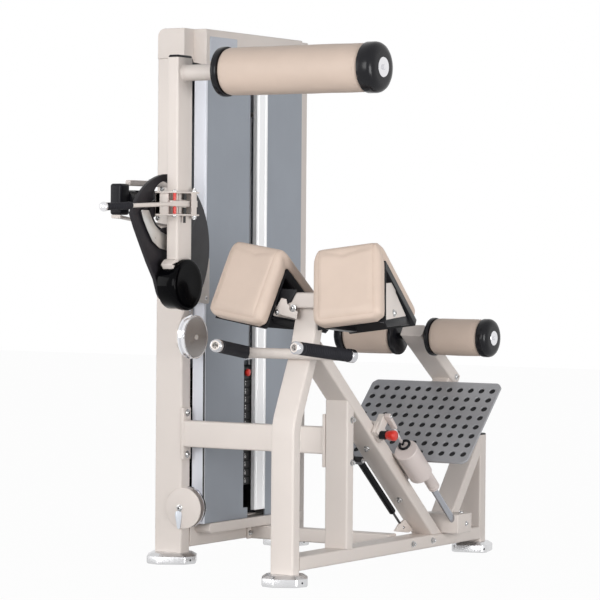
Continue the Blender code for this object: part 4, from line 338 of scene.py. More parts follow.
def arc(centre, radius, start, end, steps):
    """Points on an arc in a plane, between two angles in degrees."""
    points = []
    for step in range(steps + 1):
        angle = radians(start + (end - start) * step / steps)
        points.append((centre[0] + radius * cos(angle), centre[1] + radius * sin(angle)))
    return points


def square_to(direction):
    first = Z if abs(direction.normalized().z) < 0.9 else X
    side = direction.cross(first).normalized()
    return side, direction.cross(side).normalized()


def circle(mesh, centre, side, up, radius, sides):
    turns = [2 * pi * step / sides for step in range(sides)]
    return [mesh.verts.new(centre + (side * cos(turn) + up * sin(turn)) * radius) for turn in turns]


def join(mesh, first, second):
    for step in range(len(first)):
        after = (step + 1) % len(first)
        mesh.faces.new((first[step], first[after], second[after], second[step]))


def skin(mesh, rings, closed=False):
    """Join each ring of vertices to the next; a closed skin has no ends, an open one is capped."""
    for first, second in zip(rings, rings[1:]):
        join(mesh, first, second)
    if closed:
        join(mesh, rings[-1], rings[0])
    else:
        mesh.faces.new(rings[0])
        mesh.faces.new(rings[-1])


def shifted(points, along, out=0.0):
    return [(along + a, out + b) for a, b in points]


def grooves(starts, radius, deep, slope, wide):
    """Profile points of grooves cut into a round grip, one from each start."""
    points = []
    for a in starts:
        points += [(a, radius), (a + slope, radius - deep), (a + wide - slope, radius - deep),
                (a + wide, radius)]
    return points


def revolve(mesh, start, direction, profile, sides=64, closed=False):
    """Spin a profile of (distance, radius) points about an axis, into an open bmesh."""
    direction = direction.normalized()
    side, up = square_to(direction)
    rings = []
    for distance, radius in profile:
        centre = Vector(start) + direction * distance
        if radius <= 1e-7:
            rings.append([mesh.verts.new(centre)])
            continue
        rings.append(circle(mesh, centre, side, up, radius, sides))
    pairs = list(zip(rings, rings[1:]))
    if closed:
        pairs.append((rings[-1], rings[0]))
    for first, second in pairs:
        for step in range(sides):
            after = (step + 1) % sides
            if len(first) == 1 and len(second) == 1:
                break
            if len(first) == 1:
                mesh.faces.new((first[0], second[step], second[after]))
            elif len(second) == 1:
                mesh.faces.new((first[step], second[0], first[after]))
            else:
                mesh.faces.new((first[step], second[step], second[after], first[after]))
    if not closed:
        for ring in (rings[0], rings[-1]):
            if len(ring) > 2:
                mesh.faces.new(ring)


def rod(mesh, start, direction, radius, length, sides=32):
    revolve(mesh, start, direction, [(0, 0), (0, radius), (length, radius), (length, 0)], sides)


def round_edges(mesh, edges, radius, segments):
    """Round each edge once, in the order given, so that every run makes the same mesh."""
    bmesh.ops.bevel(mesh, geom=list(dict.fromkeys(edges)), offset=radius, segments=segments,
            affect="EDGES", profile=0.5)


def extrude(mesh, outline, direction, length, bevel=0.0, segments=3):
    """Extrude a closed outline and round the edges of its two ends."""
    base = mesh.faces.new([mesh.verts.new(corner) for corner in outline])
    pushed = bmesh.ops.extrude_face_region(mesh, geom=[base])
    moved = [item for item in pushed["geom"] if isinstance(item, bmesh.types.BMVert)]
    faces = [item for item in pushed["geom"] if isinstance(item, bmesh.types.BMFace)]
    bmesh.ops.translate(mesh, verts=moved, vec=direction.normalized() * length)
    if bevel > 0:
        edges = list(base.edges)
        for face in faces:
            edges += list(face.edges)
        round_edges(mesh, edges, bevel, segments)


def rounded_box(mesh, low, high, radius, segments=4):
    cube = bmesh.ops.create_cube(mesh, size=1.0)
    low, high = Vector(low), Vector(high)
    for vertex in cube["verts"]:
        vertex.co = Vector(((vertex.co[i] + 0.5) * (high[i] - low[i]) + low[i] for i in range(3)))
    if radius > 0:
        edges = [edge for vertex in cube["verts"] for edge in vertex.link_edges]
        round_edges(mesh, edges, radius, segments)


def section(width, depth, radius, steps=5):
    """A rounded rectangle as (across, deep) points."""
    points = []
    for quarter, (sx, sy) in enumerate(((1, 1), (-1, 1), (-1, -1), (1, -1))):
        centre = (sx * (width / 2 - radius), sy * (depth / 2 - radius))
        points += arc(centre, radius, 90 * quarter, 90 * quarter + 90, steps)
    return points


def rect_tube(mesh, path, side, width, depth, radius=0.006, ends=(None, None)):
    """A closed rectangular bar with round edges along a path in one plane."""
    path = [Vector(p) for p in path]
    ways = [(b - a).normalized() for a, b in zip(path, path[1:])]
    shape = section(width, depth, radius)
    rings = []
    for index, corner in enumerate(path):
        before = ways[max(index - 1, 0)]
        after = ways[min(index, len(ways) - 1)]
        plane = (before + after).normalized()
        if index == 0 and ends[0]:
            plane = ends[0].normalized()
        if index == len(path) - 1 and ends[1]:
            plane = ends[1].normalized()
        across = before.cross(side).normalized()
        ring = []
        for a, b in shape:
            offset = side * a + across * b
            shear = before * (offset.dot(plane) / before.dot(plane))
            ring.append(mesh.verts.new(corner + offset - shear))
        rings.append(ring)
    skin(mesh, rings)


def round_tube(mesh, path, radius, sides=16, closed=False):
    """A round tube along a path, kept from twisting."""
    path = [Vector(p) for p in path]
    count = len(path)
    rings = []
    side = None
    for index, corner in enumerate(path):
        if closed:
            way = (path[(index + 1) % count] - path[index - 1]).normalized()
        else:
            way = (path[min(index + 1, count - 1)] - path[max(index - 1, 0)]).normalized()
        if side is None:
            side = square_to(way)[0]
        side = (side - way * side.dot(way)).normalized()
        up = way.cross(side)
        rings.append(circle(mesh, corner, side, up, radius, sides))
    skin(mesh, rings, closed)


def made(shape, *values, **options):
    """A bmesh that holds one shape."""
    mesh = bmesh.new()
    shape(mesh, *values, **options)
    return mesh


def mesh_data(name, mesh):
    """Mesh data from a bmesh, with its faces turned outward."""
    bmesh.ops.recalc_face_normals(mesh, faces=mesh.faces)
    data = bpy.data.meshes.new(name)
    mesh.to_mesh(data)
    mesh.free()
    return data


def shade(data, angle):
    data.shade_smooth()
    data.set_sharp_from_angle(angle=radians(angle))


def piece(name, mesh, material, body, slot, *nodes, angle=32.0):
    """Make an object of a bmesh, ride it on its body and let it stand for CAD nodes."""
    data = mesh_data(name, mesh)
    data.materials.append(material)
    shade(data, angle)
    item = put(name, data)
    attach(item, body)
    if nodes:
        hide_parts(*nodes)
    return item


def cream(name, mesh, *nodes, angle=32.0):
    """A painted piece that stays on the frame."""
    return piece(name, mesh, CREAM, "frame", "cream_paint", *nodes, angle=angle)


def settle(item):
    """Apply an object's modifiers to its mesh."""
    graph = bpy.context.evaluated_depsgraph_get()
    data = bpy.data.meshes.new_from_object(item.evaluated_get(graph))
    item.modifiers.clear()
    item.data = data


def plug(place, shape, reach, levels):
    """A low domed plug in a tube's open end, from (height, inset) levels."""
    mesh = bmesh.new()
    rings = []
    for height, inset in levels:
        across, deep = 1 - inset / reach[0], 1 - inset / reach[1]
        rings.append([mesh.verts.new(place + Vector((a * across, b * deep, height))) for a, b in shape])
    skin(mesh, rings)
    return mesh


def carve(item, cutter_mesh):
    """Cut a closed bmesh out of an object and apply the cut."""
    cutter = put("cutter", mesh_data("cutter", cutter_mesh))
    modifier = item.modifiers.new("cut", "BOOLEAN")
    modifier.object = cutter
    modifier.operation = "DIFFERENCE"
    modifier.solver = "EXACT"
    bpy.context.view_layer.update()
    settle(item)
    bpy.data.objects.remove(cutter)
    shade(item.data, 32)


def add_to(item, part):
    """Move a part's mesh into a piece."""
    mesh = bmesh.new()
    mesh.from_mesh(item.data)
    mesh.from_mesh(part.data)
    mesh.to_mesh(item.data)
    mesh.free()
    bpy.data.objects.remove(part)
    shade(item.data, 32)


def bore(item, start, direction, radius, length, sides=32):
    """Cut a round hole into an object."""
    carve(item, made(rod, start, direction, radius, length, sides))


# Fasteners


class Fasteners:
    """Collects the bolts of one body, so that heads and the painted shade in their sockets are one piece
    each.
    """

    def __init__(self, body):
        self.body = body
        self.heads = bmesh.new()
        self.socket_shade = bmesh.new()

    def button(self, place, way, radius=0.0085, washer=True):
        """A button head with a hexagon socket on a washer."""
        way = way.normalized()
        rise = 0.0
        if washer:
            revolve(self.heads, place, way, [(0, 0), (0, radius * 1.35), (0.0014, radius * 1.35),
                    (0.0018, radius * 1.25), (0.0018, 0)], 32)
            rise = 0.0018
        top = radius * 0.62
        revolve(self.heads, place + way * rise, way, [(0, 0), (0, radius), (top * 0.35, radius * 0.97),
                (top * 0.75, radius * 0.78), (top, radius * 0.52), (top, radius * 0.44),
                (top * 0.45, radius * 0.40), (top * 0.45, 0)], 32)
        # The socket's floor is a dark hexagon: painted shade in the recess.
        rod(self.socket_shade, place + way * (rise + top * 0.5), way, radius * 0.42, top * 0.06, 6)

    def nut(self, place, way, radius=0.0085, stud=0.004):
        """A hexagon nut on a washer, with its stud's end."""
        way = way.normalized()
        revolve(self.heads, place, way, [(0, 0), (0, radius * 1.3), (0.0015, radius * 1.3),
                (0.0018, radius * 1.2), (0.0018, 0)], 32)
        revolve(self.heads, place + way * 0.0018, way, [(0, 0), (0, radius), (radius * 0.75, radius),
                (radius * 0.85, radius * 0.88), (radius * 0.85, 0)], 6)
        revolve(self.heads, place + way * 0.0018, way, [(0, 0), (0, radius * 0.5),
                (radius * 0.85 + stud, radius * 0.5), (radius * 0.85 + stud + 0.001, radius * 0.4),
                (radius * 0.85 + stud + 0.001, 0)], 20)

    def finish(self):
        if self.heads.verts:
            piece("bolts_" + self.body, self.heads, BOLT, self.body, "steel")
        if self.socket_shade.verts:
            piece("bolt_socket_shade_" + self.body, self.socket_shade, DARK_SCREW_AND_SOCKET_SHADE, self.body, "steel")


frame_bolts = Fasteners("frame")
arm_bolts = Fasteners("arm")
carriage_bolts = Fasteners("carriage")
cam_bolts = Fasteners("cam")


# Tower

COLUMN_WIDTH = 0.102
FRONT_DEPTH = 0.052
REAR_DEPTH = 0.070
REAR_Y = 0.695
FOOT_TOP = 0.0343
COLUMN_TOP = 1.6075
CAP_LOW = 1.608
TOWER_TOP = 1.704
FACE = 0.101
SHROUD = (1.5855, 0.1255)
SHROUD_REAR = 0.612
BASE_BEAM_Z = 0.090
CABLE_RADIUS = 0.003
ROD_LOW = 0.1303
HALF = COLUMN_WIDTH / 2
JOINT = 0.0003
IDLER = (0.104, -0.046, 0.724)
IDLER_RADIUS = 0.069
IDLER_HALF = 0.013
TOP_PULLEY = (0.020, 0.265, 1.520)
LOWER = (0.049, 0.0185, 0.178)
LOWER_RADIUS = 0.065
LOWER_COVER_X = 0.062
AXLE = 0.008
STOP_Z = 1.155
STOP_HALF_HEIGHT = 0.0485
STOP_FRONT = -0.328
STOP_DEPTH = 0.050
STOP_HALF = 0.0215
FEET = {"tower_front": (31, 0.157, 0.034), "tower_rear": (31, 0.157, 0.034),
        "frame_front": (31, 0.138, 0.032), "frame_rear": (15, 0.120, 0.014)}
FOOT_LEVELS = ((0.0, 0.965), (0.002, 0.985), (0.004, 1.0), (0.0225, 1.0), (0.0245, 0.99), (0.0325, 0.82),
        (0.0337, 0.79), (0.0340, 0.77))


def add_feet():
    """Chamfered chromed feet, each with a locking hole in one chamfer drawn as a disc of painted shade."""
    for name, (turn, width, corner) in FEET.items():
        low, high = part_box("foot_" + name)
        centre = Vector(((low.x + high.x) / 2, (low.y + high.y) / 2, 0))
        flat, half = width / 2 - corner, width / 2
        outline = []
        for quarter in range(4):
            angle = radians(90 * quarter + turn)
            for across in (-flat, flat):
                outline.append(centre + Vector((half * cos(angle) - across * sin(angle),
                        half * sin(angle) + across * cos(angle), 0)))
        outline = rounded(outline, 0.006)
        mesh = bmesh.new()
        rings = [[mesh.verts.new(centre + (spot - centre) * share + Z * height) for spot in outline]
                for height, share in FOOT_LEVELS]
        skin(mesh, rings)
        piece("foot_body_" + name, mesh, FOOT_METAL, "frame", "chrome", "foot_" + name, angle=24)
        # The locking hole is a near-black disc on the chamfer: painted shade in place of the hole's depth.
        way = Vector((cos(radians(turn - 45)), sin(radians(turn - 45)), 0))
        reach = half * sqrt(2) - corner / sqrt(2)
        mesh = bmesh.new()
        rod(mesh, centre + way * (reach - 0.001) + Z * 0.013, way, 0.0032, 0.0014, 20)
        piece("foot_hole_shade_" + name, mesh, HOLE_SHADE, "frame", "black_plastic")


def add_columns():
    mesh = bmesh.new()
    rect_tube(mesh, [P(0, 0, FOOT_TOP), P(0, 0, COLUMN_TOP)], X, COLUMN_WIDTH, FRONT_DEPTH, 0.007)
    column = cream("column_front", mesh, "front_column")
    bore(column, P(LOWER[0], 0.0115, LOWER[2]), Y, LOWER_RADIUS + 0.001, 0.06, 64)
    mesh = bmesh.new()
    rect_tube(mesh, [P(0, REAR_Y, FOOT_TOP), P(0, REAR_Y, COLUMN_TOP)], X, COLUMN_WIDTH, REAR_DEPTH,
            0.007)
    cream("column_rear", mesh, "rear_column")
    mesh = bmesh.new()
    rounded_box(mesh, P(-0.008, 0.175, 1.440), P(0.048, REAR_Y - REAR_DEPTH / 2, 1.454), 0.002, 2)
    bridge = cream("rod_bridge", mesh, "rear_column")
    bore(bridge, P(STACK_X, STACK_Y, 1.43), Z, 0.012, 0.04, 32)
    mesh = bmesh.new()
    path = at_x(0, ((FRONT_DEPTH / 2 + JOINT, BASE_BEAM_Z),
            (REAR_Y - REAR_DEPTH / 2 - JOINT, BASE_BEAM_Z)))
    rect_tube(mesh, path, X, COLUMN_WIDTH, 0.080, 0.006)
    cream("base_beam", mesh, "tower_base_beam")
    mesh = bmesh.new()
    corner = FRONT_DEPTH / 2 + 0.001
    add_bead(mesh, at_x(HALF + 0.0002, ((corner, BASE_BEAM_Z - 0.034), (corner, BASE_BEAM_Z + 0.034))),
            0.0022)
    cream("base_weld", mesh)


def add_bead(mesh, ends, radius, pitch=0.0035):
    """A painted weld: a thin tube whose thickness ripples."""
    start, end = Vector(ends[0]), Vector(ends[1])
    length = (end - start).length
    count = max(int(length / (pitch / 4)), 8)
    way = (end - start).normalized()
    profile = [(0, 0)]
    for step in range(count + 1):
        ripple = 1 + 0.10 * sin(2 * pi * step / 4)
        taper = min(1.0, (step + 0.6) / 3, (count - step + 0.6) / 3)
        profile.append((length * step / count, radius * ripple * taper))
    profile.append((length, 0))
    revolve(mesh, start, way, profile, 12)


def add_cap():
    """The cap over both columns, its step over the shroud, and the pulley's ears."""
    front, rear = -FRONT_DEPTH / 2, REAR_Y + REAR_DEPTH / 2
    outline = [(HALF, CAP_LOW), (-HALF, CAP_LOW)]
    outline += arc((-HALF + 0.026, TOWER_TOP - 0.026), 0.026, 180, 90, 14)
    outline += arc((HALF - 0.004, TOWER_TOP - 0.004), 0.004, 90, 0, 4)
    cream("cap_body", made(extrude, at_y(front, outline), Y, rear - front, 0.0025), "tower_cap")
    low = 1.586
    step = [(HALF - 0.003, low + 0.012), (FACE, low), (FACE, TOWER_TOP - 0.004),
            (FACE - 0.004, TOWER_TOP - 0.001), (HALF - 0.003, TOWER_TOP - 0.001)]
    mesh = bmesh.new()
    extrude(mesh, at_y(0.026, soften(step, 0.003, 3, closed=True)), Y, SHROUD_REAR - 0.026, 0.002)
    cream("cap_shroud", mesh, "tower_cap")
    mesh = bmesh.new()
    x, y, z = TOP_PULLEY
    ear = [(y - 0.020, z + 0.092), (y + 0.020, z + 0.092)] + arc((y, z - 0.004), 0.020, 0, -180, 14)
    for near in (x - 0.014 - 0.006, x + 0.014):
        extrude(mesh, at_x(near, ear), X, 0.006, 0.001, 2)
    ears = cream("cap_ears", mesh, "tower_cap")
    bore(ears, P(-0.02, y, z), X, AXLE + 0.0006, 0.08, 32)
    mesh = bmesh.new()
    extrude(mesh, at_x(FACE + 0.0002, rounded([(0.045, 1.601), (0.205, 1.601), (0.205, 1.680),
            (0.045, 1.680)], 0.004)), X, 0.0012, 0.0004, 2)
    piece("blank_plate", mesh, LABEL, "frame", "aluminium")


def add_shroud():
    top, low = SHROUD
    # The front-facing return of the panel takes the paler copy: painted light on the same sheet as the
    # grey side.
    mesh = bmesh.new()
    bend = soften([(HALF + 0.006, 0.0263), (FACE - 0.0002, 0.0263), (FACE - 0.0002, 0.036)], 0.003, 4)
    inner = [(FACE - 0.0042, 0.036), (FACE - 0.0042, 0.0303), (HALF + 0.006, 0.0303)]
    extrude(mesh, at_z(low, bend + inner), Z, top - low, 0.0008, 2)
    piece("shroud_return", mesh, LIT_PANEL, "frame", "grey_panel", "shroud_front_panel")
    mesh = bmesh.new()
    extrude(mesh, at_z(low, ((FACE, 0.0372), (FACE, 0.289), (FACE - 0.004, 0.289),
            (FACE - 0.004, 0.0372))), Z, top - low, 0.0008, 2)
    panel = piece("shroud_side", mesh, PANEL, "frame", "grey_panel", "shroud_front_panel")
    cutter = bmesh.new()
    outline = rounded([(0.262, 0.160), (0.320, 0.160), (0.320, 0.641), (0.262, 0.641)], 0.004)
    extrude(cutter, at_x(HALF + 0.02, outline), X, 0.08)
    carve(panel, cutter)
    mesh = bmesh.new()
    face = FACE + 0.0002
    outline = [(face, 0.3305)]
    for groove in (0.342, 0.384):
        outline += [(face, groove - 0.0012), (face - 0.0012, groove), (face, groove + 0.0012)]
    outline += [(face, 0.3955), (0.087, 0.3955), (0.087, 0.3915), (FACE - 0.004, 0.3915),
            (FACE - 0.004, 0.3345), (0.087, 0.3345), (0.087, 0.3305)]
    extrude(mesh, at_z(0.148, outline), Z, top - 0.148, 0.0006, 2)
    piece("profile_strip", mesh, PROFILE, "frame", "aluminium", "shroud_profile", angle=25)
    mesh = bmesh.new()
    bend = soften([(FACE, 0.3965), (FACE, SHROUD_REAR), (HALF + 0.006, SHROUD_REAR)], 0.003, 4)
    inner = [(HALF + 0.006, SHROUD_REAR - 0.004), (FACE - 0.004, SHROUD_REAR - 0.004),
            (FACE - 0.004, 0.3965)]
    extrude(mesh, at_z(low, bend + inner), Z, top - low, 0.0008, 2)
    piece("shroud_rear", mesh, PANEL, "frame", "grey_panel", "shroud_rear_panel")
    mesh = bmesh.new()
    outline = [(0.618, 0.125), (0.618, 0.094)] + arc((0.0675, 0.1095), 0.0155, 270, 90, 16)
    extrude(mesh, at_x(HALF + JOINT, outline), X, FACE + 0.008 - HALF, 0.0022)
    cream("sill_body", mesh, "shroud_sill")
    mesh = bmesh.new()
    rounded_box(mesh, P(-HALF + 0.0002, 0.0265, 0.1305), P(-HALF + 0.0042, 0.6595, 1.6075), 0.0008, 2)
    piece("back_sheet", mesh, PANEL, "frame", "grey_panel", "back_cover")


STACK_X = 0.020
STACK_Y = 0.310
STACK_HALF_X = 0.062
STACK_HALF_Y = 0.165
STACK_LOW = 0.2322
PLATE_PITCH = 0.0265
PLATE_COUNT = 13
HEAD_HEIGHT = 0.040
PIN_DROP = 0.0169
PIN_Y_STACK = 0.303
ROD_SPREAD = 0.110
MARK_Y = 0.301


def add_stack():
    """Cast plates with selector holes and a number on each, and the rods they slide on."""
    mesh = bmesh.new()
    # holes gathers a near-black disc for each selector hole: painted shade in place of the hole.
    holes = bmesh.new()
    near, far = STACK_X - STACK_HALF_X, STACK_X + STACK_HALF_X
    for index in range(PLATE_COUNT):
        low = STACK_LOW + index * PLATE_PITCH
        rounded_box(mesh, P(near, STACK_Y - STACK_HALF_Y, low),
                P(far, STACK_Y + STACK_HALF_Y, low + PLATE_PITCH - 0.0008), 0.0022, 2)
        rod(holes, P(far - 0.001, PIN_Y_STACK, low + PLATE_PITCH * 0.72), X, 0.0052, 0.00115, 20)
    piece("stack_plates", mesh, IRON, "frame", "black_iron", "weight_stack")
    piece("stack_hole_shade", holes, HOLE_SHADE, "frame", "black_iron")
    for label, way in (("front", -1), ("rear", 1)):
        spot = STACK_Y + way * ROD_SPREAD
        rods = bmesh.new()
        rod(rods, P(STACK_X, spot, ROD_LOW), Z, 0.011, 1.3094, 32)
        piece("rod_" + label, rods, CHROME, "frame", "chrome", "guide_rod_" + label)
        bumper = bmesh.new()
        height = STACK_LOW - ROD_LOW
        profile = [(0, 0.0112), (0, 0.023), (0.003, 0.024), (height * 0.3, 0.024), (height * 0.36, 0.021),
                (height * 0.44, 0.024), (height * 0.66, 0.024), (height * 0.72, 0.021),
                (height * 0.80, 0.024), (height - 0.003, 0.024), (height, 0.023), (height, 0.0112)]
        revolve(bumper, P(STACK_X, spot, ROD_LOW), Z, profile, 40, closed=True)
        piece("bumper_" + label, bumper, RUBBER, "frame", "black_rubber")
    head_low = STACK_LOW + PLATE_COUNT * PLATE_PITCH - 0.0002
    head_top = head_low + HEAD_HEIGHT
    mesh = bmesh.new()
    rounded_box(mesh, P(near, STACK_Y - STACK_HALF_Y, head_low), P(far, STACK_Y + STACK_HALF_Y, head_top),
            0.0028, 3)
    head = piece("head_plate", mesh, IRON, "head_weight", "black_iron", "head_weight")
    bore(head, P(STACK_X, STACK_Y, head_low - 0.01), Z, 0.0068, 0.12, 24)
    mesh = bmesh.new()
    revolve(mesh, P(STACK_X, STACK_Y, head_top + 0.0001), Z,
            [(0, 0.0068), (0, 0.017), (0.010, 0.017), (0.012, 0.012), (0.039, 0.012), (0.041, 0.009),
            (0.041, 0.0068)], 32, closed=True)
    piece("head_boss", mesh, IRON, "head_weight", "black_iron")
    add_marks(far)
    place = P(0.052, PIN_Y_STACK, head_top - PIN_DROP)
    mesh = bmesh.new()
    profile = [(0, 0), (0, 0.0035), (0.0015, 0.005), (0.0313, 0.005), (0.0316, 0.0090)]
    profile += [(0.0322, 0.0108), (0.0345, 0.0122), (0.0370, 0.0124), (0.0400, 0.0122), (0.0425, 0.0108),
            (0.0437, 0.0080), (0.0439, 0.0)]
    revolve(mesh, place, X, profile, 48)
    piece("selector_knob", mesh, RED, "selector_pin", "red_plastic", "selector_pin")


def add_marks(face):
    """Numbers from the top plate down, each under a dot."""
    mesh = bmesh.new()
    turn = Matrix(((0, 0, 1, 0), (1, 0, 0, 0), (0, 1, 0, 0), (0, 0, 0, 1)))
    for index in range(PLATE_COUNT):
        middle = STACK_LOW + (index + 0.5) * PLATE_PITCH
        curve = bpy.data.curves.new("mark", "FONT")
        curve.body = str(PLATE_COUNT - index)
        curve.size = 0.0125
        curve.align_x = "CENTER"
        curve.align_y = "CENTER"
        curve.extrude = 0.00015
        curve.offset = 0.0003
        holder = put("mark", curve)
        bpy.context.view_layer.update()
        flat = bpy.data.meshes.new_from_object(holder.evaluated_get(bpy.context.evaluated_depsgraph_get()))
        flat.transform(Matrix.Translation(P(face + 0.0002, MARK_Y, middle - 0.002)) @ turn)
        mesh.from_mesh(flat)
        bpy.data.objects.remove(holder)
        bpy.data.curves.remove(curve)
        bpy.data.meshes.remove(flat)
        rod(mesh, P(face, MARK_Y, middle + 0.0072), X, 0.0021, 0.0003, 20)
    piece("plate_numbers", mesh, MARK, "frame", "aluminium")


def add_pulleys():
    place = P(*TOP_PULLEY)
    half = 0.013
    mesh = bmesh.new()
    rim = soften([(-half, 0.0), (-half, 0.0445), (-half * 0.45, 0.045), (0, 0.0365), (half * 0.45, 0.045),
            (half, 0.0445), (half, 0.0)], 0.0025, 3)
    revolve(mesh, place, X, rim, 56)
    revolve(mesh, place, X, [(-half - 0.006, 0.0), (-half - 0.006, AXLE), (half + 0.006, AXLE),
            (half + 0.006, 0.0)], 32)
    piece("pulley_top", mesh, BLACK, "top_pulley", "black_plastic", "top_pulley")
    add_idler()
    add_lower_pulley()
    add_cables()


def add_idler():
    """A turned wheel with a polished rim and a dished face, on its bracket."""
    place = P(*IDLER)
    half, radius = IDLER_HALF, IDLER_RADIUS
    mesh = bmesh.new()
    outline = [(-half, AXLE + 0.0005), (-half, radius - 0.001), (-half + 0.001, radius),
            (-half * 0.5, radius), (-half * 0.3, radius - 0.006), (half * 0.3, radius - 0.006),
            (half * 0.5, radius), (half - 0.001, radius), (half, radius - 0.001), (half, radius - 0.0045),
            (half - 0.0008, radius - 0.0060), (half - 0.0012, AXLE + 0.0005)]
    revolve(mesh, place, X, outline, 96, closed=True)
    piece("idler_wheel", mesh, CHROME, "idler_pulley", "aluminium", "idler_pulley", angle=40)
    mesh = bmesh.new()
    dish = [(half + 0.0001, radius - 0.0052)]
    for step in range(13):
        share = step / 12
        dish.append((half - 0.0008 - 0.0065 * sin(pi / 2 * share) + 0.0078 * (share ** 2),
                (radius - 0.006) * (1 - share)))
    revolve(mesh, place, X, dish, 96)
    piece("idler_dish", mesh, IDLER_DISH, "idler_pulley", "aluminium")
    mesh = bmesh.new()
    plate = rounded([(-0.064, 0.700), (-0.064, 0.748), (-0.018, 0.819), (0.022, 0.819), (0.022, 0.679),
            (-0.040, 0.679)], 0.008)
    extrude(mesh, at_x(HALF + 0.0001, plate), X, 0.008, 0.0012, 2)
    revolve(mesh, P(HALF + 0.004, *IDLER[1:]), X, [(0, 0), (0, 0.015), (0.0335, 0.015), (0.0348, 0.0135),
            (0.0348, AXLE), (0.065, AXLE), (0.066, AXLE - 0.001), (0.066, 0)], 40)
    cream("idler_carrier", mesh, "front_column")
    for z in (0.790, 0.808):
        frame_bolts.button(P(HALF + 0.0081, 0.004, z), X, 0.0055)


def add_lower_pulley():
    place = P(*LOWER)
    half, radius = 0.006, LOWER_RADIUS
    mesh = bmesh.new()
    outline = [(-half, AXLE + 0.0005), (-half, radius - 0.0006), (-half + 0.0006, radius),
            (-half * 0.72, radius), (-half * 0.56, radius - 0.011), (half * 0.56, radius - 0.011),
            (half * 0.72, radius), (half - 0.0006, radius), (half, radius - 0.0006),
            (half, AXLE + 0.0005)]
    revolve(mesh, place, Y, outline, 96, closed=True)
    piece("lower_wheel", mesh, CHROME, "lower_pulley", "chrome", "lower_pulley", angle=40)
    mesh = bmesh.new()
    back = -FRONT_DEPTH / 2 - JOINT
    revolve(mesh, P(LOWER_COVER_X, back, LOWER[2]), -Y, [(0, 0), (0, 0.065), (0.0035, 0.065),
            (0.0046, 0.0642), (0.005, 0.063), (0.005, 0)], 128)
    cream("lower_cover_disc", mesh, "lower_pulley_cover")
    frame_bolts.button(P(LOWER[0], back - 0.0051, LOWER[2]), -Y, 0.0082)
    mesh = bmesh.new()
    rod(mesh, P(LOWER[0], back - 0.004, LOWER[2]), Y, AXLE, 0.0545, 32)
    piece("lower_axle", mesh, BOLT, "frame", "cream_paint")
    mesh = bmesh.new()
    x, z = LOWER[0] - 0.002, LOWER[2]
    tab = [(x - 0.011, z - 0.010), (x + 0.010, z - 0.010), (x + 0.0115, z - 0.024),
            (x + 0.006, z - 0.066), (x - 0.004, z - 0.066), (x - 0.0125, z - 0.024)]
    extrude(mesh, at_y(back - 0.0052, rounded(tab, 0.005)), -Y, 0.0042, 0.0012, 3)
    piece("cover_tab", mesh, PALE_METAL, "frame", "aluminium")


def add_cables():
    """The lift cable over the top pulley and the drive cable round the lower one."""
    wrap = 0.0425
    _, centre, top = TOP_PULLEY
    route = [P(STACK_X, centre + wrap, 0.6357)]
    route += at_x(STACK_X, arc((centre, top), wrap, 0, 90, 16))
    route.append(P(STACK_X, FRONT_DEPTH / 2 + JOINT, top + wrap))
    mesh = bmesh.new()
    round_tube(mesh, route, CABLE_RADIUS)
    piece("cable_lift", mesh, CABLE, "frame", "black_plastic", "lift_cable")
    drop = 0.0575
    idler_wrap = IDLER_RADIUS - 0.006 + 0.0033
    line = [P(IDLER[0], IDLER[1] + idler_wrap, IDLER[2] + 0.030),
            P(IDLER[0], IDLER[1] + idler_wrap, IDLER[2] - 0.004)]
    line += [P(x, LOWER[1], z) for x, z in arc((LOWER[0], LOWER[2]), drop, 0, -180, 24)]
    line.append(P(LOWER[0] - drop, LOWER[1], LOWER[2] + 0.150))
    mesh = bmesh.new()
    round_tube(mesh, line, CABLE_RADIUS)
    piece("cable_drive", mesh, CABLE, "frame", "black_plastic", "drive_cable")


# Arm, cam, latch and stop

HUB = (-0.240, 0.892)
ARM_X = 0.180
ARM_TOP = 1.592
ARM_NEAR = 0.160
ARM_FAR = 0.200
ARM_FRONT = -0.281
ARM_REAR = -0.199
HUB_RADIUS = 0.075
HUB_NEAR = 0.1475
HUB_FAR = 0.218
SPINDLE_Z = 1.545
LATCH_Z = 1.1415
LATCH_HALF = 0.037
PIN_AT = -0.309
CAM_NEAR = 0.1245
CAM_THICKNESS = 0.014
CAM_CENTRE = (-0.232, 1.007)
CAM_RADIUS = 0.227
CAM_FLANK = ((-0.412, 1.068), (-0.377, 1.013), (-0.341, 0.958), (-0.304, 0.908))
CAM_WINDOW = ((-0.256, 1.137), 0.0745)
CRESCENT = ((-0.3988, 1.1209), (-0.386, 1.090), (-0.362, 1.056), (-0.335, 1.024), (-0.298, 1.004),
        (-0.255, 0.997), (-0.205, 1.004), (-0.205, 1.046), (-0.255, 1.045), (-0.292, 1.055),
        (-0.323, 1.074), (-0.343, 1.096), (-0.357, 1.1209))
RANGE_NEAR = 0.1388
RANGE_THICKNESS = 0.007
PIN_STEP = 11.0
BACK_ROLLER = (0.338, 0.902)
PIN_REACH = hypot(PIN_AT - HUB[0], LATCH_Z - HUB[1])
PIN_DEGREES = atan2(LATCH_Z - HUB[1], PIN_AT - HUB[0]) * 180 / pi
LEVER_X = 0.2175
LEVER_PIVOT_Y = -0.215
RED_SLEEVE = (0.2225, -0.3285)
SLEEVE_SEAM = 0.016
SLEEVE_LINE = radians(250)


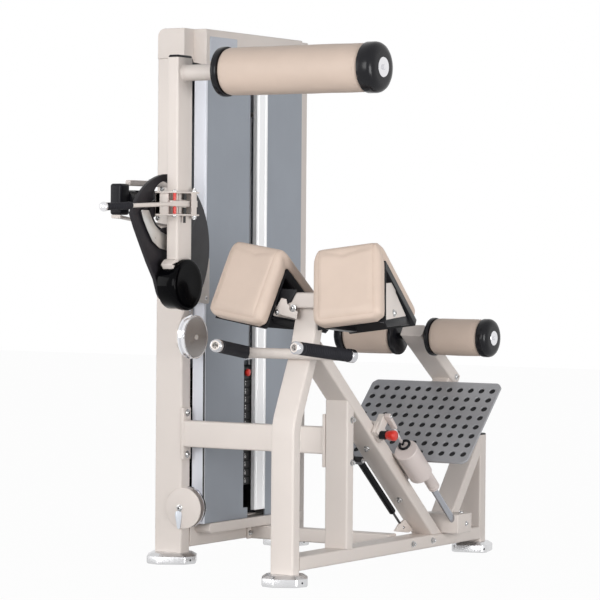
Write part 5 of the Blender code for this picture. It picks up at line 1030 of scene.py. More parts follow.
def add_pivot():
    """The bracket that carries the arm's shaft, with its spacer on the column."""
    y, z = HUB
    near = 0.1102
    outline = [(0.022, z - 0.065), (0.022, z + 0.085), (y + 0.05, z + 0.032), (y - 0.012, z + 0.030),
            (y - 0.026, z), (y - 0.012, z - 0.030), (y + 0.05, z - 0.032)]
    mesh = bmesh.new()
    extrude(mesh, rounded(at_x(near, outline), 0.012), X, 0.012, 0.0016)
    rounded_box(mesh, P(HALF + JOINT, -0.022, z - 0.060), P(near + 0.002, 0.020, z + 0.078), 0.004)
    rod(mesh, P(near + 0.004, y, z), X, 0.0175, 0.0978, 40)
    cream("pivot_arm", mesh, "pivot_bracket")
    for rise in (-0.045, 0.062):
        frame_bolts.button(P(near + 0.0083, 0.002, z + rise), X, 0.0065)


def add_cam():
    """An eccentric black disc with a round opening, the range plate and its polished crescent."""
    outline = arc(CAM_CENTRE, CAM_RADIUS, -36, 153, 96) + list(CAM_FLANK) + arc(HUB, 0.052, 205, 300, 16)
    mesh = bmesh.new()
    extrude(mesh, at_x(CAM_NEAR, outline), X, CAM_THICKNESS, 0.0014)
    cam = piece("cam_disc", mesh, CAM_PAINT, "cam", "black_plastic", "cam")
    cutter = bmesh.new()
    extrude(cutter, at_x(CAM_NEAR - 0.01, arc(*CAM_WINDOW, 0, 355, 71)), X, CAM_THICKNESS + 0.02)
    rod(cutter, P(CAM_NEAR - 0.01, *HUB), X, 0.0179, 0.034, 48)
    carve(cam, cutter)
    sector = arc(HUB, PIN_REACH + 0.014, 54, 126, 64) + arc((HUB[0], HUB[1] + 0.312), 0.204, 242, 298, 40)
    mesh = bmesh.new()
    extrude(mesh, at_x(RANGE_NEAR, sector), X, RANGE_THICKNESS, 0.0008, 2)
    plate = piece("range_sector", mesh, CAM_PAINT, "cam", "steel", "range_plate")
    cutter = bmesh.new()
    inner = arc(HUB, PIN_REACH - 0.034, 66, 117, 30) + arc(HUB, 0.178, 112, 72, 20)
    extrude(cutter, at_x(RANGE_NEAR - 0.01, inner), X, 0.03)
    for index in range(6):
        spot = hub_point(PIN_DEGREES + (index - 4) * PIN_STEP, PIN_REACH, RANGE_NEAR - 0.01)
        rod(cutter, spot, X, 0.008, 0.03, 32)
    carve(plate, cutter)
    mesh = bmesh.new()
    shape = rounded(at_x(RANGE_NEAR + RANGE_THICKNESS + 0.0002, CRESCENT), 0.006)
    extrude(mesh, shape, X, 0.0022, 0.0009, 3)
    piece("range_crescent", mesh, RANGE_STEEL, "cam", "steel")
    for degrees, radius in ((97.0, 0.297), (106.0, 0.213), (62.0, 0.215), (62.0, 0.165)):
        cam_bolts.nut(hub_point(degrees, radius, RANGE_NEAR - 0.002), X, 0.0062, 0.002)


def hub_point(degrees, radius, x):
    return P(x, HUB[0] + radius * cos(radians(degrees)), HUB[1] + radius * sin(radians(degrees)))


def add_arm():
    x, (y, z) = ARM_X, HUB
    mesh = bmesh.new()
    rect_tube(mesh, [P(x, y, z + 0.045), P(x, y, ARM_TOP)], X, 0.040, 0.082, 0.0055)
    arm = piece("arm_bar", mesh, CREAM, "arm", "cream_paint", "arm_tube")
    bore(arm, P(HUB_NEAR - 0.02, y, z), X, HUB_RADIUS + 0.0007, 0.11, 96)
    mesh = bmesh.new()
    ring = arc(HUB, HUB_RADIUS + 0.011, 22, 112, 48) + arc(HUB, HUB_RADIUS + 0.019, 124, 138, 8)
    ring += arc(HUB, HUB_RADIUS + 0.0007, 141, 4, 60)
    extrude(mesh, soften(at_x(ARM_NEAR, ring), 0.004, 3, closed=True), X, 0.040, 0.0016)
    piece("arm_yoke_lip", mesh, CREAM, "arm", "cream_paint")
    mesh = bmesh.new()
    add_fillet(mesh)
    tube = [(0, 0), (0, 0.0125), (0.0005, 0.025), (0.166, 0.025), (0.1675, 0.0245), (0.168, 0.0165),
            (0.171, 0.0165), (0.1712, 0.0125), (0.716, 0.0125), (0.716, 0)]
    revolve(mesh, P(0.166, y, SPINDLE_Z), X, tube, 56)
    piece("spindle_tube", mesh, CREAM, "arm", "cream_paint")
    levels = ((0.0, 0.0), (0.0030, 0.0), (0.0058, 0.00096), (0.0076, 0.00352), (0.0082, 0.008))
    mesh = plug(P(x, y, ARM_TOP + 0.0001), section(0.0385, 0.0805, 0.006, 6), (0.01925, 0.04025), levels)
    piece("arm_plug", mesh, BLACK, "arm", "black_plastic", angle=50)
    mesh = bmesh.new()
    length = HUB_FAR - HUB_NEAR
    face = [(0, 0.0), (0, HUB_RADIUS - 0.004), (0.0012, HUB_RADIUS - 0.0012), (0.004, HUB_RADIUS)]
    lip = ((-0.024, 0), (-0.0235, 0.0035), (-0.0045, 0.0040), (-0.0015, 0.0022), (0, -0.0015),
            (-0.0006, -0.0125))
    face += shifted(lip, length, HUB_RADIUS)
    face += shifted(((-0.0012, 0.030), (-0.0006, 0.012), (-0.0006, 0.0)), length)
    revolve(mesh, P(HUB_NEAR, y, z), X, face, 96)
    piece("hub_drum", mesh, GLOSS, "arm", "black_gloss", "hub_cover", angle=40)


def add_fillet(mesh):
    """A weld collar where the spindle leaves the arm."""
    revolve(mesh, P(ARM_FAR - 0.001, HUB[0], SPINDLE_Z), X,
            [(0, 0.024), (0, 0.0295), (0.0016, 0.0290), (0.0036, 0.0268), (0.0052, 0.0252),
            (0.0052, 0.024)], 56, closed=True)


def add_latch():
    """The U bracket on the arm, the red pin and the hand lever with its ball end."""
    low, high = LATCH_Z - LATCH_HALF, LATCH_Z + LATCH_HALF
    face = ARM_FAR + JOINT
    mesh = bmesh.new()
    rounded_box(mesh, P(face, ARM_FRONT + 0.004, low + 0.001), P(face + 0.005, ARM_REAR, high - 0.001),
            0.0015, 2)
    for z in (low, high - 0.005):
        corners = [(ARM_NEAR - 0.010, ARM_FRONT - JOINT), (ARM_NEAR - 0.010, ARM_FRONT - 0.055),
                (LEVER_X + 0.014, ARM_FRONT - 0.055), (LEVER_X + 0.014, ARM_REAR), (face, ARM_REAR)]
        outline = soften(at_z(z, corners), 0.012, 5) + [P(face, ARM_FRONT - JOINT, z)]
        extrude(mesh, outline, Z, 0.005, 0.0012, 2)
    rounded_box(mesh, P(ARM_NEAR - 0.010, PIN_AT - 0.018, low + 0.002),
            P(ARM_NEAR + 0.008, PIN_AT + 0.015, high - 0.002), 0.002, 2)
    rounded_box(mesh, P(ARM_NEAR - 0.010, PIN_AT - 0.018, low + 0.002),
            P(LEVER_X - 0.020, PIN_AT - 0.013, high - 0.002), 0.002, 2)
    rod(mesh, P(LEVER_X, LEVER_PIVOT_Y, low - 0.006), Z, 0.005, LATCH_HALF * 2 + 0.012, 24)
    piece("latch_frame", mesh, CREAM, "arm", "cream_paint", "latch_bracket")
    arm_bolts.nut(P(LEVER_X, LEVER_PIVOT_Y, high + 0.0001), Z, 0.0080, 0.002)
    arm_bolts.nut(P(LEVER_X, LEVER_PIVOT_Y, low - 0.0001), -Z, 0.0080, 0.002)
    sleeves = bmesh.new()
    for bottom, top in ((low + 0.0052, LATCH_Z - 0.0095), (LATCH_Z + 0.0095, high - 0.0052)):
        rise = top - bottom
        profile = [(0, 0), (0, 0.0044), (0.001, 0.0052), (rise - 0.001, 0.0052), (rise, 0.0044),
                (rise, 0)]
        revolve(sleeves, P(*RED_SLEEVE, bottom), Z, profile, 32)
    piece("latch_sleeves", sleeves, RED, "arm", "red_plastic")
    mesh = bmesh.new()
    rounded_box(mesh, P(LEVER_X + 0.0120, -0.249, low + 0.002), P(LEVER_X + 0.0150, -0.221, high - 0.002),
            0.0015, 2)
    piece("latch_end", mesh, CREAM, "arm", "cream_paint")
    screws = bmesh.new()
    for bottom, top, wide in ((low - 0.022, low - 0.001, 0.0040), (low + 0.006, LATCH_Z - 0.012, 0.0062),
            (LATCH_Z + 0.012, high - 0.006, 0.0062)):
        rod(screws, P(LEVER_X - 0.0035, -0.262, bottom), Z, wide, top - bottom, 24)
    piece("latch_screws", screws, DARK_SCREW_AND_SOCKET_SHADE, "arm", "steel")
    arm_bolts.button(P(*RED_SLEEVE, high + 0.0001), Z, 0.0058)
    arm_bolts.button(P(*RED_SLEEVE, low - 0.0001), -Z, 0.0058)
    start = RANGE_NEAR + RANGE_THICKNESS + JOINT
    reach = LEVER_X - 0.004 - 0.0015 - start
    mesh = bmesh.new()
    head = ((-0.0065, 0.006), (-0.006, 0.0094), (-0.0052, 0.010), (-0.0008, 0.010), (0, 0.0092), (0, 0))
    bolt = [(0, 0), (0, 0.0045), (0.0015, 0.006)] + shifted(head, reach)
    revolve(mesh, P(start, PIN_AT, LATCH_Z), X, bolt, 40)
    piece("latch_bolt", mesh, RED, "latch_pin", "red_plastic", "latch_pin")
    mesh = bmesh.new()
    revolve(mesh, P(LEVER_X, LEVER_PIVOT_Y, LATCH_Z - 0.010), Z,
            [(0, 0.0054), (0, 0.0104), (0.0008, 0.011), (0.0192, 0.011), (0.020, 0.0104),
            (0.020, 0.0054)], 40, closed=True)
    rounded_box(mesh, P(LEVER_X - 0.004, PIN_AT - 0.036, LATCH_Z - 0.009),
            P(LEVER_X + 0.004, LEVER_PIVOT_Y - 0.007, LATCH_Z + 0.009), 0.0015, 2)
    bend = P(LEVER_X, PIN_AT - 0.034, LATCH_Z - 0.002)
    tip = P(LEVER_X - 0.036, -0.626, LATCH_Z - 0.014)
    way = (tip - bend).normalized()
    rod(mesh, bend, way, 0.0065, (tip - bend).length, 28)
    piece("latch_handle", mesh, CREAM, "latch_lever", "cream_paint", "latch_lever")
    grip_start = bend + way * ((-0.522 - (PIN_AT - 0.034)) / way.y)
    length = (tip - grip_start).length + 0.003
    mesh = bmesh.new()
    profile = [(0, 0.0068), (0, 0.0100), (0.0010, 0.0113), (0.0025, 0.0117)]
    profile += grooves([0.006 + (length - 0.012) * step / 9 for step in range(9)], 0.0117, 0.0009, 0.0012,
            0.0038)
    profile += [(length - 0.002, 0.0117), (length, 0.0105), (length, 0.0068)]
    revolve(mesh, grip_start, way, profile, 36, closed=True)
    piece("latch_sleeve", mesh, RUBBER, "latch_lever", "black_rubber", "latch_grip", angle=45)
    mesh = bmesh.new()
    ball = [(length + 0.0002, 0.0)]
    ball += [(length + 0.0126 - 0.0124 * cos(radians(a)), 0.0150 * sin(radians(a)))
            for a in range(20, 180, 10)]
    ball.append((length + 0.0250, 0.0))
    revolve(mesh, grip_start, way, ball, 40)
    piece("latch_ball", mesh, CHROME, "latch_lever", "chrome", angle=60)


def add_stop():
    """The rubber block and drum that the cam comes to rest on, and their strip."""
    low, high = STOP_Z - STOP_HALF_HEIGHT, STOP_Z + STOP_HALF_HEIGHT
    rear = STOP_FRONT + STOP_DEPTH
    mesh = bmesh.new()
    rounded_box(mesh, P(-STOP_HALF, STOP_FRONT, low), P(STOP_HALF, rear, high), 0.0085, 6)
    piece("stop_pad", mesh, STOP_RUBBER, "frame", "black_rubber", "stop_block", angle=50)
    mesh = bmesh.new()
    end = -FRONT_DEPTH / 2 - 0.0095
    length = end - rear + 0.001
    profile = [(0, 0.0), (0, 0.0295)]
    profile += grooves([length * share for share in (0.16, 0.38, 0.60, 0.82)], 0.0297, 0.0025, 0.004,
            0.014)
    profile += [(length, 0.0297), (length, 0.0)]
    revolve(mesh, P(0, rear - 0.001, STOP_Z), Y, profile, 56)
    piece("stop_bellows", mesh, STOP_RUBBER, "frame", "black_rubber", angle=40)
    face = -FRONT_DEPTH / 2 + 0.001
    plate = 0.010
    outline = [(face, low - 0.040), (face, high - 0.004), (face - plate, high - 0.004),
            (face - plate, low - 0.030), (rear, low - JOINT - plate + 0.004),
            (STOP_FRONT + 0.004, low - JOINT), (STOP_FRONT + 0.004, low - JOINT - plate),
            (rear, low - 0.012)]
    mesh = bmesh.new()
    start = -STOP_HALF + 0.004
    extrude(mesh, at_x(start, outline), X, 2 * STOP_HALF - 0.008, 0.0010, 2)
    rounded_box(mesh, P(-0.002, rear + 0.006, high - 0.006), P(0.0175, face, high + 0.012), 0.003)
    cream("stop_strip", mesh)
    frame_bolts.button(P(0.008, -0.150, high + 0.0121), Z, 0.006)


def spool_profile(length, radius, rim, far_rim, core, dome, bore=0.0):
    """A thin rim, the core under the cover and a thick rim with a domed end."""
    far = length - far_rim
    points = [(0, bore), (0, radius - 0.003), (0.0008, radius - 0.0008), (0.003, radius),
            (rim - 0.0029, radius), (rim - 0.0007, radius - 0.0008), (rim, radius - 0.003), (rim, core),
            (far, core), (far, radius - 0.003), (far + 0.0007, radius - 0.0008), (far + 0.0031, radius)]
    return points + shifted(dome, length, radius) + [(length, bore)]


def add_back_roller():
    near, far = BACK_ROLLER
    length = far - near
    start = P(near, HUB[0], SPINDLE_Z)
    end = P(far, HUB[0], SPINDLE_Z)
    dome = ((-0.024, 0), (-0.016, -0.0018), (-0.009, -0.0062), (-0.004, -0.0130), (-0.001, -0.022),
            (0, -0.030))
    mesh = bmesh.new()
    revolve(mesh, start, X, spool_profile(length, 0.0765, 0.0199, 0.0521, 0.030, dome, 0.0132), 96,
            closed=True)
    piece("roller_spool", mesh, SPOOL, "back_roller", "black_plastic", "back_roller_core", angle=40)
    disc = [(-0.004, 0.0), (-0.004, 0.0300), (0.0006, 0.0300), (0.0020, 0.0288), (0.0024, 0.0270),
            (0.0016, 0.0200), (0.0016, 0.0)]
    screw = [(0.0014, 0.0), (0.0014, 0.0085), (0.006, 0.0080), (0.0072, 0.0055), (0.0072, 0.0)]
    mesh = bmesh.new()
    revolve(mesh, end, X, disc, 64)
    revolve(mesh, end, X, screw, 32)
    piece("roller_disc", mesh, CHROME, "back_roller", "black_plastic")
    cover = length - 0.0203 - 0.0524
    add_sleeve("roller_cover", start + X * 0.0203, X, cover, 0.0735, 0.0304, "back_roller",
            "back_roller_pad", 3)


def add_sleeve(name, start, way, length, radius, bore, body, node, seed):
    """A stuffed leather sleeve: rolled ends drawn in by a seam, one lengthwise seam and soft dents."""
    side, up = square_to(way)
    rings = 84 if length > 0.3 else 44
    sides = 96
    roll = radius * 0.13
    edge = [(0.0, bore), (0.0, radius * 0.72), (0.0004, radius - roll * 0.9),
            (0.0016, radius - roll * 0.5), (0.0040, radius - roll * 0.22), (0.0080, radius - 0.0012)]
    stations = [length * step / rings for step in range(rings + 1)]
    profile = edge + [(a, radius) for a in stations if 0.010 < a < length - 0.010]
    profile += [(length - a, r) for a, r in reversed(edge)]
    mesh = bmesh.new()
    loops = []
    for distance, base in profile:
        loop = []
        for step in range(sides):
            angle = 2 * pi * step / sides
            around = cos(angle) * side + sin(angle) * up
            r = base
            if base > radius * 0.8:
                from_seam = abs(min(distance, length - distance) - SLEEVE_SEAM)
                seam_dip = 0.0016 * max(0.0, 1 - from_seam / 0.0035) ** 2
                crown = 0.0010 * (1 - (2 * distance / length - 1) ** 4)
                pucker = 0.0005 * sin(angle * 23 + seed) * max(0.0, 1 - from_seam / 0.012)
                wave = 0.0006 * sin(distance * 31 + 2.3 * sin(angle * 2 + seed))
                wave *= sin(angle * 3 + distance * 17 + seed)
                from_line = abs(((angle - SLEEVE_LINE + pi) % (2 * pi)) - pi) * radius
                line = 0.0013 * max(0.0, 1 - from_line / 0.003) ** 2
                r = base - 0.0012 + crown - seam_dip + pucker + wave - line
                r = min(r, radius)
            loop.append(mesh.verts.new(start + way * distance + around * r))
        loops.append(loop)
    skin(mesh, loops, closed=True)
    item = piece(name, mesh, TAN, body, "tan_leather", node, angle=60)
    # Darker lines laid in the seam grooves: painted shade in the creases.
    seam_shade_lines = bmesh.new()
    for distance in (SLEEVE_SEAM, length - SLEEVE_SEAM):
        ring = []
        for step in range(sides * 2):
            angle = pi * step / sides
            around = cos(angle) * side + sin(angle) * up
            ring.append(start + way * distance + around * (radius - 0.0021))
        round_tube(seam_shade_lines, ring, 0.0006, 6, closed=True)
    line = []
    around = cos(SLEEVE_LINE) * side + sin(SLEEVE_LINE) * up
    for step in range(60):
        distance = SLEEVE_SEAM + (length - 2 * SLEEVE_SEAM) * step / 59
        line.append(start + way * distance + around * (radius - 0.0019))
    round_tube(seam_shade_lines, line, 0.0006, 6)
    piece(name + "_seam_shade", seam_shade_lines, SEAM_SHADE, body, "tan_leather")


# User's frame

FRAME_X = 0.625
TUBE_WIDTH = 0.080
TUBE_DEPTH = 0.042
TUBE_ROUND = 0.0065
LEG_Y = -0.324
BEND_Z = 0.478
TRUNK_BEND = (-0.220, 0.700)
TRUNK_TOP = (-0.178, 0.845)
REAR_LEG_Y = -0.009
FLOOR_BEAM = 0.064
FLOOR_BEAM_TOP = 0.085
POST_Y = 0.867
POST_TOP = 0.390
CROSSBEAM_Z = 0.415
FLANGE_BOLT = 0.066
LOW_CROSSBEAM = (0.400, 0.0705)
BEAM_AT = (0.063, 0.492)
SLOPE = radians(39.8)
ALONG = Vector((0, cos(SLOPE), -sin(SLOPE)))
ABOVE = Vector((0, sin(SLOPE), cos(SLOPE)))


def on_beam(along, rise, x=FRAME_X):
    return P(x, *BEAM_AT) + ALONG * along + ABOVE * rise


def head_beam(room=0.0):
    """Low and high corner of the beam that carries the saddle pads."""
    low, high = P(FRAME_X - 0.150, -0.232, 0.828), P(FRAME_X + 0.150, -0.166, 0.874)
    return low - (X + Y + Z) * room, high + (X + Y + Z) * room


def frame_tube(mesh, path, ends=(None, None)):
    rect_tube(mesh, path, X, TUBE_WIDTH, TUBE_DEPTH, TUBE_ROUND, ends)


def cut_under_beam(item, x, width):
    """Take away what would reach into the diagonal beam."""
    cutter = bmesh.new()
    top = TUBE_DEPTH / 2 + JOINT
    extrude(cutter, [on_beam(a, b, x) for a, b in ((0.3, -0.2), (0.9, -0.2), (0.9, top), (0.3, top))], X,
            width)
    carve(item, cutter)


def add_frame():
    half = TUBE_DEPTH / 2
    path = soften([P(FRAME_X, LEG_Y, FOOT_TOP), P(FRAME_X, LEG_Y, BEND_Z), P(FRAME_X, *TRUNK_BEND)],
            0.036, 8)
    path = path[:-1] + soften([path[-2], P(FRAME_X, *TRUNK_BEND), P(FRAME_X, *TRUNK_TOP)], 0.020, 5)[1:]
    cream("leg_front", made(frame_tube, path), "front_leg")
    cream("head_bar", made(rounded_box, *head_beam(), 0.006))
    top = BEAM_AT[1] - tan(SLOPE) * (REAR_LEG_Y - BEAM_AT[0]) - half / cos(SLOPE) - JOINT / cos(SLOPE)
    mesh = bmesh.new()
    frame_tube(mesh, [P(FRAME_X, REAR_LEG_Y, FLOOR_BEAM_TOP + JOINT), P(FRAME_X, REAR_LEG_Y, top)],
            ends=(None, ABOVE))
    cream("leg_rear", mesh, "rear_leg")
    trunk = Vector((0, TRUNK_BEND[0] - LEG_Y - 0.018, TRUNK_BEND[1] - BEND_Z - 0.035)).normalized()
    outward = Vector((0, trunk.z, -trunk.y))
    spot = P(FRAME_X, *TRUNK_BEND) + outward * (half + JOINT)
    start = (spot - on_beam(0, 0)).dot(outward) / ALONG.dot(outward)
    end = (FLOOR_BEAM_TOP + JOINT - BEAM_AT[1]) / ALONG.z
    mesh = bmesh.new()
    frame_tube(mesh, [on_beam(start, 0), on_beam(end, 0)], ends=(outward, Z))
    cream("beam_diagonal", mesh, "diagonal_beam")
    mesh = bmesh.new()
    frame_tube(mesh, [P(FRAME_X, LEG_Y + half + JOINT, FLOOR_BEAM),
            P(FRAME_X, POST_Y - half + 0.001, FLOOR_BEAM)])
    frame_tube(mesh, [P(FRAME_X, POST_Y, FOOT_TOP), P(FRAME_X, POST_Y, POST_TOP)])
    cream("beam_floor", mesh, "side_base_beam")
    way = Vector((0, 0.628, 0.778))
    top = P(FRAME_X, POST_Y - half - JOINT, POST_TOP - 0.034)
    length = (top.z - FLOOR_BEAM_TOP - JOINT) / way.z
    item = cream("prop", made(frame_tube, [top - way * length, top], ends=(Z, Y)), "brace")
    cut_under_beam(item, FRAME_X - 0.05, 0.10)
    rod_end = on_beam(GUIDE[1], GUIDE_RISE, GUIDE_X) - BASE
    mesh = bmesh.new()
    rounded_box(mesh, P(FRAME_X - TUBE_WIDTH / 2, rod_end.y - 0.022, FLOOR_BEAM_TOP + JOINT),
            P(0.724, rod_end.y + 0.073, rod_end.z + 0.030), 0.003)
    block = cream("rod_block", mesh)
    cut_under_beam(block, FRAME_X - 0.045, TUBE_WIDTH + 0.006)
    frame_bolts.button(P(GUIDE_X, rod_end.y + 0.045, rod_end.z + 0.0301), Z, 0.006)
    frame_bolts.button(P(0.7241, rod_end.y + 0.035, 0.115), X, 0.0065)
    side = FRAME_X + TUBE_WIDTH / 2
    for rise in (-FLANGE_BOLT, FLANGE_BOLT):
        frame_bolts.nut(P(side, -0.002, CROSSBEAM_Z + rise), X, 0.0082, 0.003)
    for along in (0.1443, 0.4182):
        frame_bolts.nut(on_beam(along, -half - 0.0001), -ABOVE, 0.0080, 0.003)
    for y, z in ((0.388, 0.0655), (0.518, 0.0665)):
        frame_bolts.nut(P(side, y, z), X, 0.0082, 0.003)
    shape = section(TUBE_WIDTH - 0.001, TUBE_DEPTH - 0.001, TUBE_ROUND - 0.0005, 6)
    levels = ((0.0, 0.0), (0.0026, 0.0), (0.0046, 0.0012), (0.0058, 0.0040), (0.0062, 0.009))
    mesh = plug(P(FRAME_X, POST_Y, POST_TOP + 0.0001), shape, (TUBE_WIDTH / 2, TUBE_DEPTH / 2), levels)
    piece("post_plug", mesh, BLACK, "frame", "black_plastic", angle=50)
    add_crossbeams()


def add_crossbeams():
    start, end = HALF + JOINT, FRAME_X - TUBE_WIDTH / 2 - JOINT
    front, rear = -0.029, 0.011
    middle = CROSSBEAM_Z
    mesh = bmesh.new()
    rounded_box(mesh, P(start + 0.004, front, middle - 0.042), P(end - 0.004, rear, middle + 0.042),
            0.0065, 5)
    for x in (start, end - 0.010):
        rounded_box(mesh, P(x, front - 0.001, middle - 0.082), P(x + 0.010, rear + 0.001, middle + 0.082),
                0.002, 3)
    cream("crossbeam_high", mesh, "upper_crossbeam")
    for x, way in ((start + 0.010, X), (end - 0.010, -X)):
        for rise in (-FLANGE_BOLT, FLANGE_BOLT):
            frame_bolts.button(P(x, -0.009, middle + rise), way, 0.0088)
    mesh = bmesh.new()
    rect_tube(mesh, [P(start + 0.004, *LOW_CROSSBEAM), P(end, *LOW_CROSSBEAM)], Y, TUBE_DEPTH, 0.045,
            TUBE_ROUND)
    rounded_box(mesh, P(start, 0.360, 0.048), P(start + 0.008, 0.440, 0.091), 0.002, 3)
    cream("crossbeam_low", mesh, "lower_crossbeam")
    for y in (0.370, 0.430):
        frame_bolts.nut(P(start + 0.008, y, 0.0675), X, 0.0070, 0.002)
    beads = bmesh.new()
    for z in (middle - 0.041, middle + 0.041):
        add_bead(beads, [P(end - 0.0105, front + 0.004, z), P(end - 0.0105, rear - 0.004, z)], 0.0020)
    for y in (front + 0.0004, rear - 0.0004):
        add_bead(beads, [P(start + 0.0105, y, middle - 0.038), P(start + 0.0105, y, middle + 0.038)],
                0.0020)
        add_bead(beads, [P(end - 0.0105, y, middle - 0.038), P(end - 0.0105, y, middle + 0.038)], 0.0020)
    half = TUBE_WIDTH / 2
    for side in (-1, 1):
        x = FRAME_X + side * (half - 0.001)
        add_bead(beads, [P(x, LEG_Y + 0.0215, FLOOR_BEAM - 0.018),
                P(x, LEG_Y + 0.0215, FLOOR_BEAM + 0.018)], 0.0018)
        add_bead(beads, [P(x, REAR_LEG_Y - 0.018, FLOOR_BEAM_TOP + 0.0005),
                P(x, REAR_LEG_Y + 0.018, FLOOR_BEAM_TOP + 0.0005)], 0.0018)
    piece("frame_welds", beads, CREAM, "frame", "cream_paint")


# Handlebar

BAR_Z = 0.690
BAR_RADIUS = 0.016
BAR_HALF = 0.180
HANDLE_LENGTH = 0.250
HANDLE_RISE = 0.041
HANDLE_TOE = 0.043
GRIP_RADIUS = 0.0195
GRIP_INSET = 0.022


def add_handlebar():
    share = (BAR_Z - BEND_Z) / (TRUNK_BEND[1] - BEND_Z)
    middle = LEG_Y + share * (TRUNK_BEND[0] - LEG_Y)
    lean = atan2(TRUNK_BEND[0] - LEG_Y, TRUNK_BEND[1] - BEND_Z)
    y = middle - (TUBE_DEPTH / 2 + BAR_RADIUS + JOINT) / cos(lean)
    mesh = bmesh.new()
    rod(mesh, P(FRAME_X - BAR_HALF, y, BAR_Z), X, BAR_RADIUS, 2 * BAR_HALF, 48)
    caps = bmesh.new()
    for label, side in (("left", -1), ("right", 1)):
        rear = P(FRAME_X + side * BAR_HALF, y + 0.006, BAR_Z)
        way = Vector((-side * HANDLE_TOE, -sqrt(HANDLE_LENGTH ** 2 - HANDLE_TOE ** 2 - HANDLE_RISE ** 2),
                HANDLE_RISE - 0.012)).normalized()
        length = HANDLE_LENGTH
        rod(mesh, rear, way, BAR_RADIUS - 0.002, length, 40)
        big = GRIP_RADIUS + 0.001
        revolve(caps, rear - way * 0.020, way, [(0, 0), (0.0004, 0.0150), (0.0016, 0.0182), (0.0040, big),
                (0.0240, big), (0.0255, big - 0.0010), (0.0255, 0)], 48)
        tip = length - GRIP_INSET + 0.002
        revolve(caps, rear + way * tip, way, [(0, 0), (0, big - 0.0018), (0.0008, big - 0.001),
                (0.0150, big - 0.001), (0.0175, big - 0.0026), (0.0192, big - 0.0062), (0.0200, 0.0095),
                (0.0200, 0)], 48)
        start = rear + way * (BAR_RADIUS - 0.0105)
        span = length - GRIP_INSET - BAR_RADIUS + 0.0110
        profile = [(0, BAR_RADIUS - 0.0018), (0, GRIP_RADIUS - 0.0010), (0.0015, GRIP_RADIUS)]
        starts = [0.010 + (span - 0.020) * step / 26 for step in range(26)]
        profile += grooves(starts, GRIP_RADIUS, 0.0007, 0.0008, 0.0030)
        profile += [(span - 0.0015, GRIP_RADIUS), (span, GRIP_RADIUS - 0.0010),
                (span, BAR_RADIUS - 0.0018)]
        sleeve = bmesh.new()
        revolve(sleeve, start, way, profile, 44, closed=True)
        piece("handle_sleeve_" + label, sleeve, RUBBER, "frame", "black_rubber", "grip_" + label,
                angle=45)
    piece("handle_caps", caps, CAP_METAL, "frame", "chrome", angle=40)
    cream("handle_bar", mesh, "handlebar")


# Thigh pads

PAD_OUT = 0.155
PAD_RIDGE = (-0.227, 1.028)
PAD_WIDTH = 0.220
PAD_SHIFT = -0.010
PAD_FRONT = (0.249, radians(70.2))
PAD_REAR = (0.356, radians(39.3))
PAD_RIDGE_ROUNDING = 0.020
PAD_REAR_THICKNESS = 0.034
PAD_CORNER = 0.022
PAD_TILT = 7.8
PAD_TOE = 10.9
PAD_THICKNESS = 0.048
SHELL_THICKNESS = 0.012
PAD_SWELL = 0.0055
PAD_SEAM = 0.024
OUTER_PLATE = ((0.028, -0.137), (0.116, -0.136), (0.100, -0.166), (0.172, -0.239), (-0.026, -0.247))
INNER_PLATE = ((0.016, -0.162), (0.048, -0.166), (0.052, -0.179), (0.102, -0.205), (0.099, -0.228),
        (-0.007, -0.213))


def add_head_cover():
    """The black bracket and its bolted plate over the left end of the head beam."""
    mesh = bmesh.new()
    shape = ((0.532, 0.886), (0.607, 0.883), (0.586, 0.846), (0.570, 0.838), (0.570, 0.827),
            (0.532, 0.827))
    extrude(mesh, at_y(-0.2350, shape), Y, 0.0022, 0.0006, 2)
    piece("head_bracket", mesh, BLACK, "frame", "black_plastic")
    mesh = bmesh.new()
    shape = ((0.5522, 0.857), (0.570, 0.854), (0.5736, 0.840), (0.6106, 0.8163), (0.6073, 0.7943),
            (0.5262, 0.8117))
    extrude(mesh, at_y(-0.2390, shape), Y, 0.0030, 0.0010, 2)
    cream("head_gusset", mesh)
    frame_bolts.button(P(0.5936, -0.2392, 0.8272), -Y, 0.0085)
    frame_bolts.button(P(0.5380, -0.2392, 0.8140), -Y, 0.0060)


def pad_matrix(side):
    place = Matrix.Translation(P(FRAME_X + side * PAD_OUT + PAD_SHIFT, *PAD_RIDGE))
    turn = Matrix.Rotation(radians(PAD_TOE), 4, "Z") @ Matrix.Rotation(-radians(PAD_TILT), 4, "Y")
    return place @ Matrix.Scale(side, 4, X) @ turn


def bent_section(depth, rounding, trim=0.0, steps=10, rear_depth=None):
    """Front foot, ridge and rear foot of the pad's bent section under its skin, as (y, z)."""
    (front_long, front), (rear_long, rear) = PAD_FRONT, PAD_REAR
    behind = depth if rear_depth is None else rear_depth
    front_way, rear_way = Vector((-cos(front), -sin(front))), Vector((cos(rear), -sin(rear)))
    front_start = Vector((sin(front), -cos(front))) * depth
    rear_start = Vector((-sin(rear), -cos(rear))) * behind
    reach = (rear_start - front_start).cross(rear_way) / front_way.cross(rear_way)
    top = front_start + front_way * reach
    front_foot = front_start + front_way * (front_long - trim)
    rear_foot = rear_start + rear_way * (rear_long - trim)
    if rounding <= 0:
        return tuple(front_foot), [tuple(top)], tuple(rear_foot)
    start = top + front_way * (rounding / tan((pi - front - rear) / 2))
    centre = start + Vector((sin(front), -cos(front))) * rounding
    first, last = 90 + PAD_FRONT[1] * 180 / pi, 90 - PAD_REAR[1] * 180 / pi
    return tuple(front_foot), arc(centre, rounding, first, last, steps), tuple(rear_foot)


def spread(start, end, count):
    return [(start[0] + (end[0] - start[0]) * step / count, start[1] + (end[1] - start[1]) * step / count)
            for step in range(count)]


def pad_rows(depth, rounding, trim, rear_depth=None):
    front, ridge, rear = bent_section(depth, rounding, trim, 8, rear_depth)
    return spread(front, ridge[0], 16) + ridge[:-1] + spread(ridge[-1], rear, 24) + [rear]


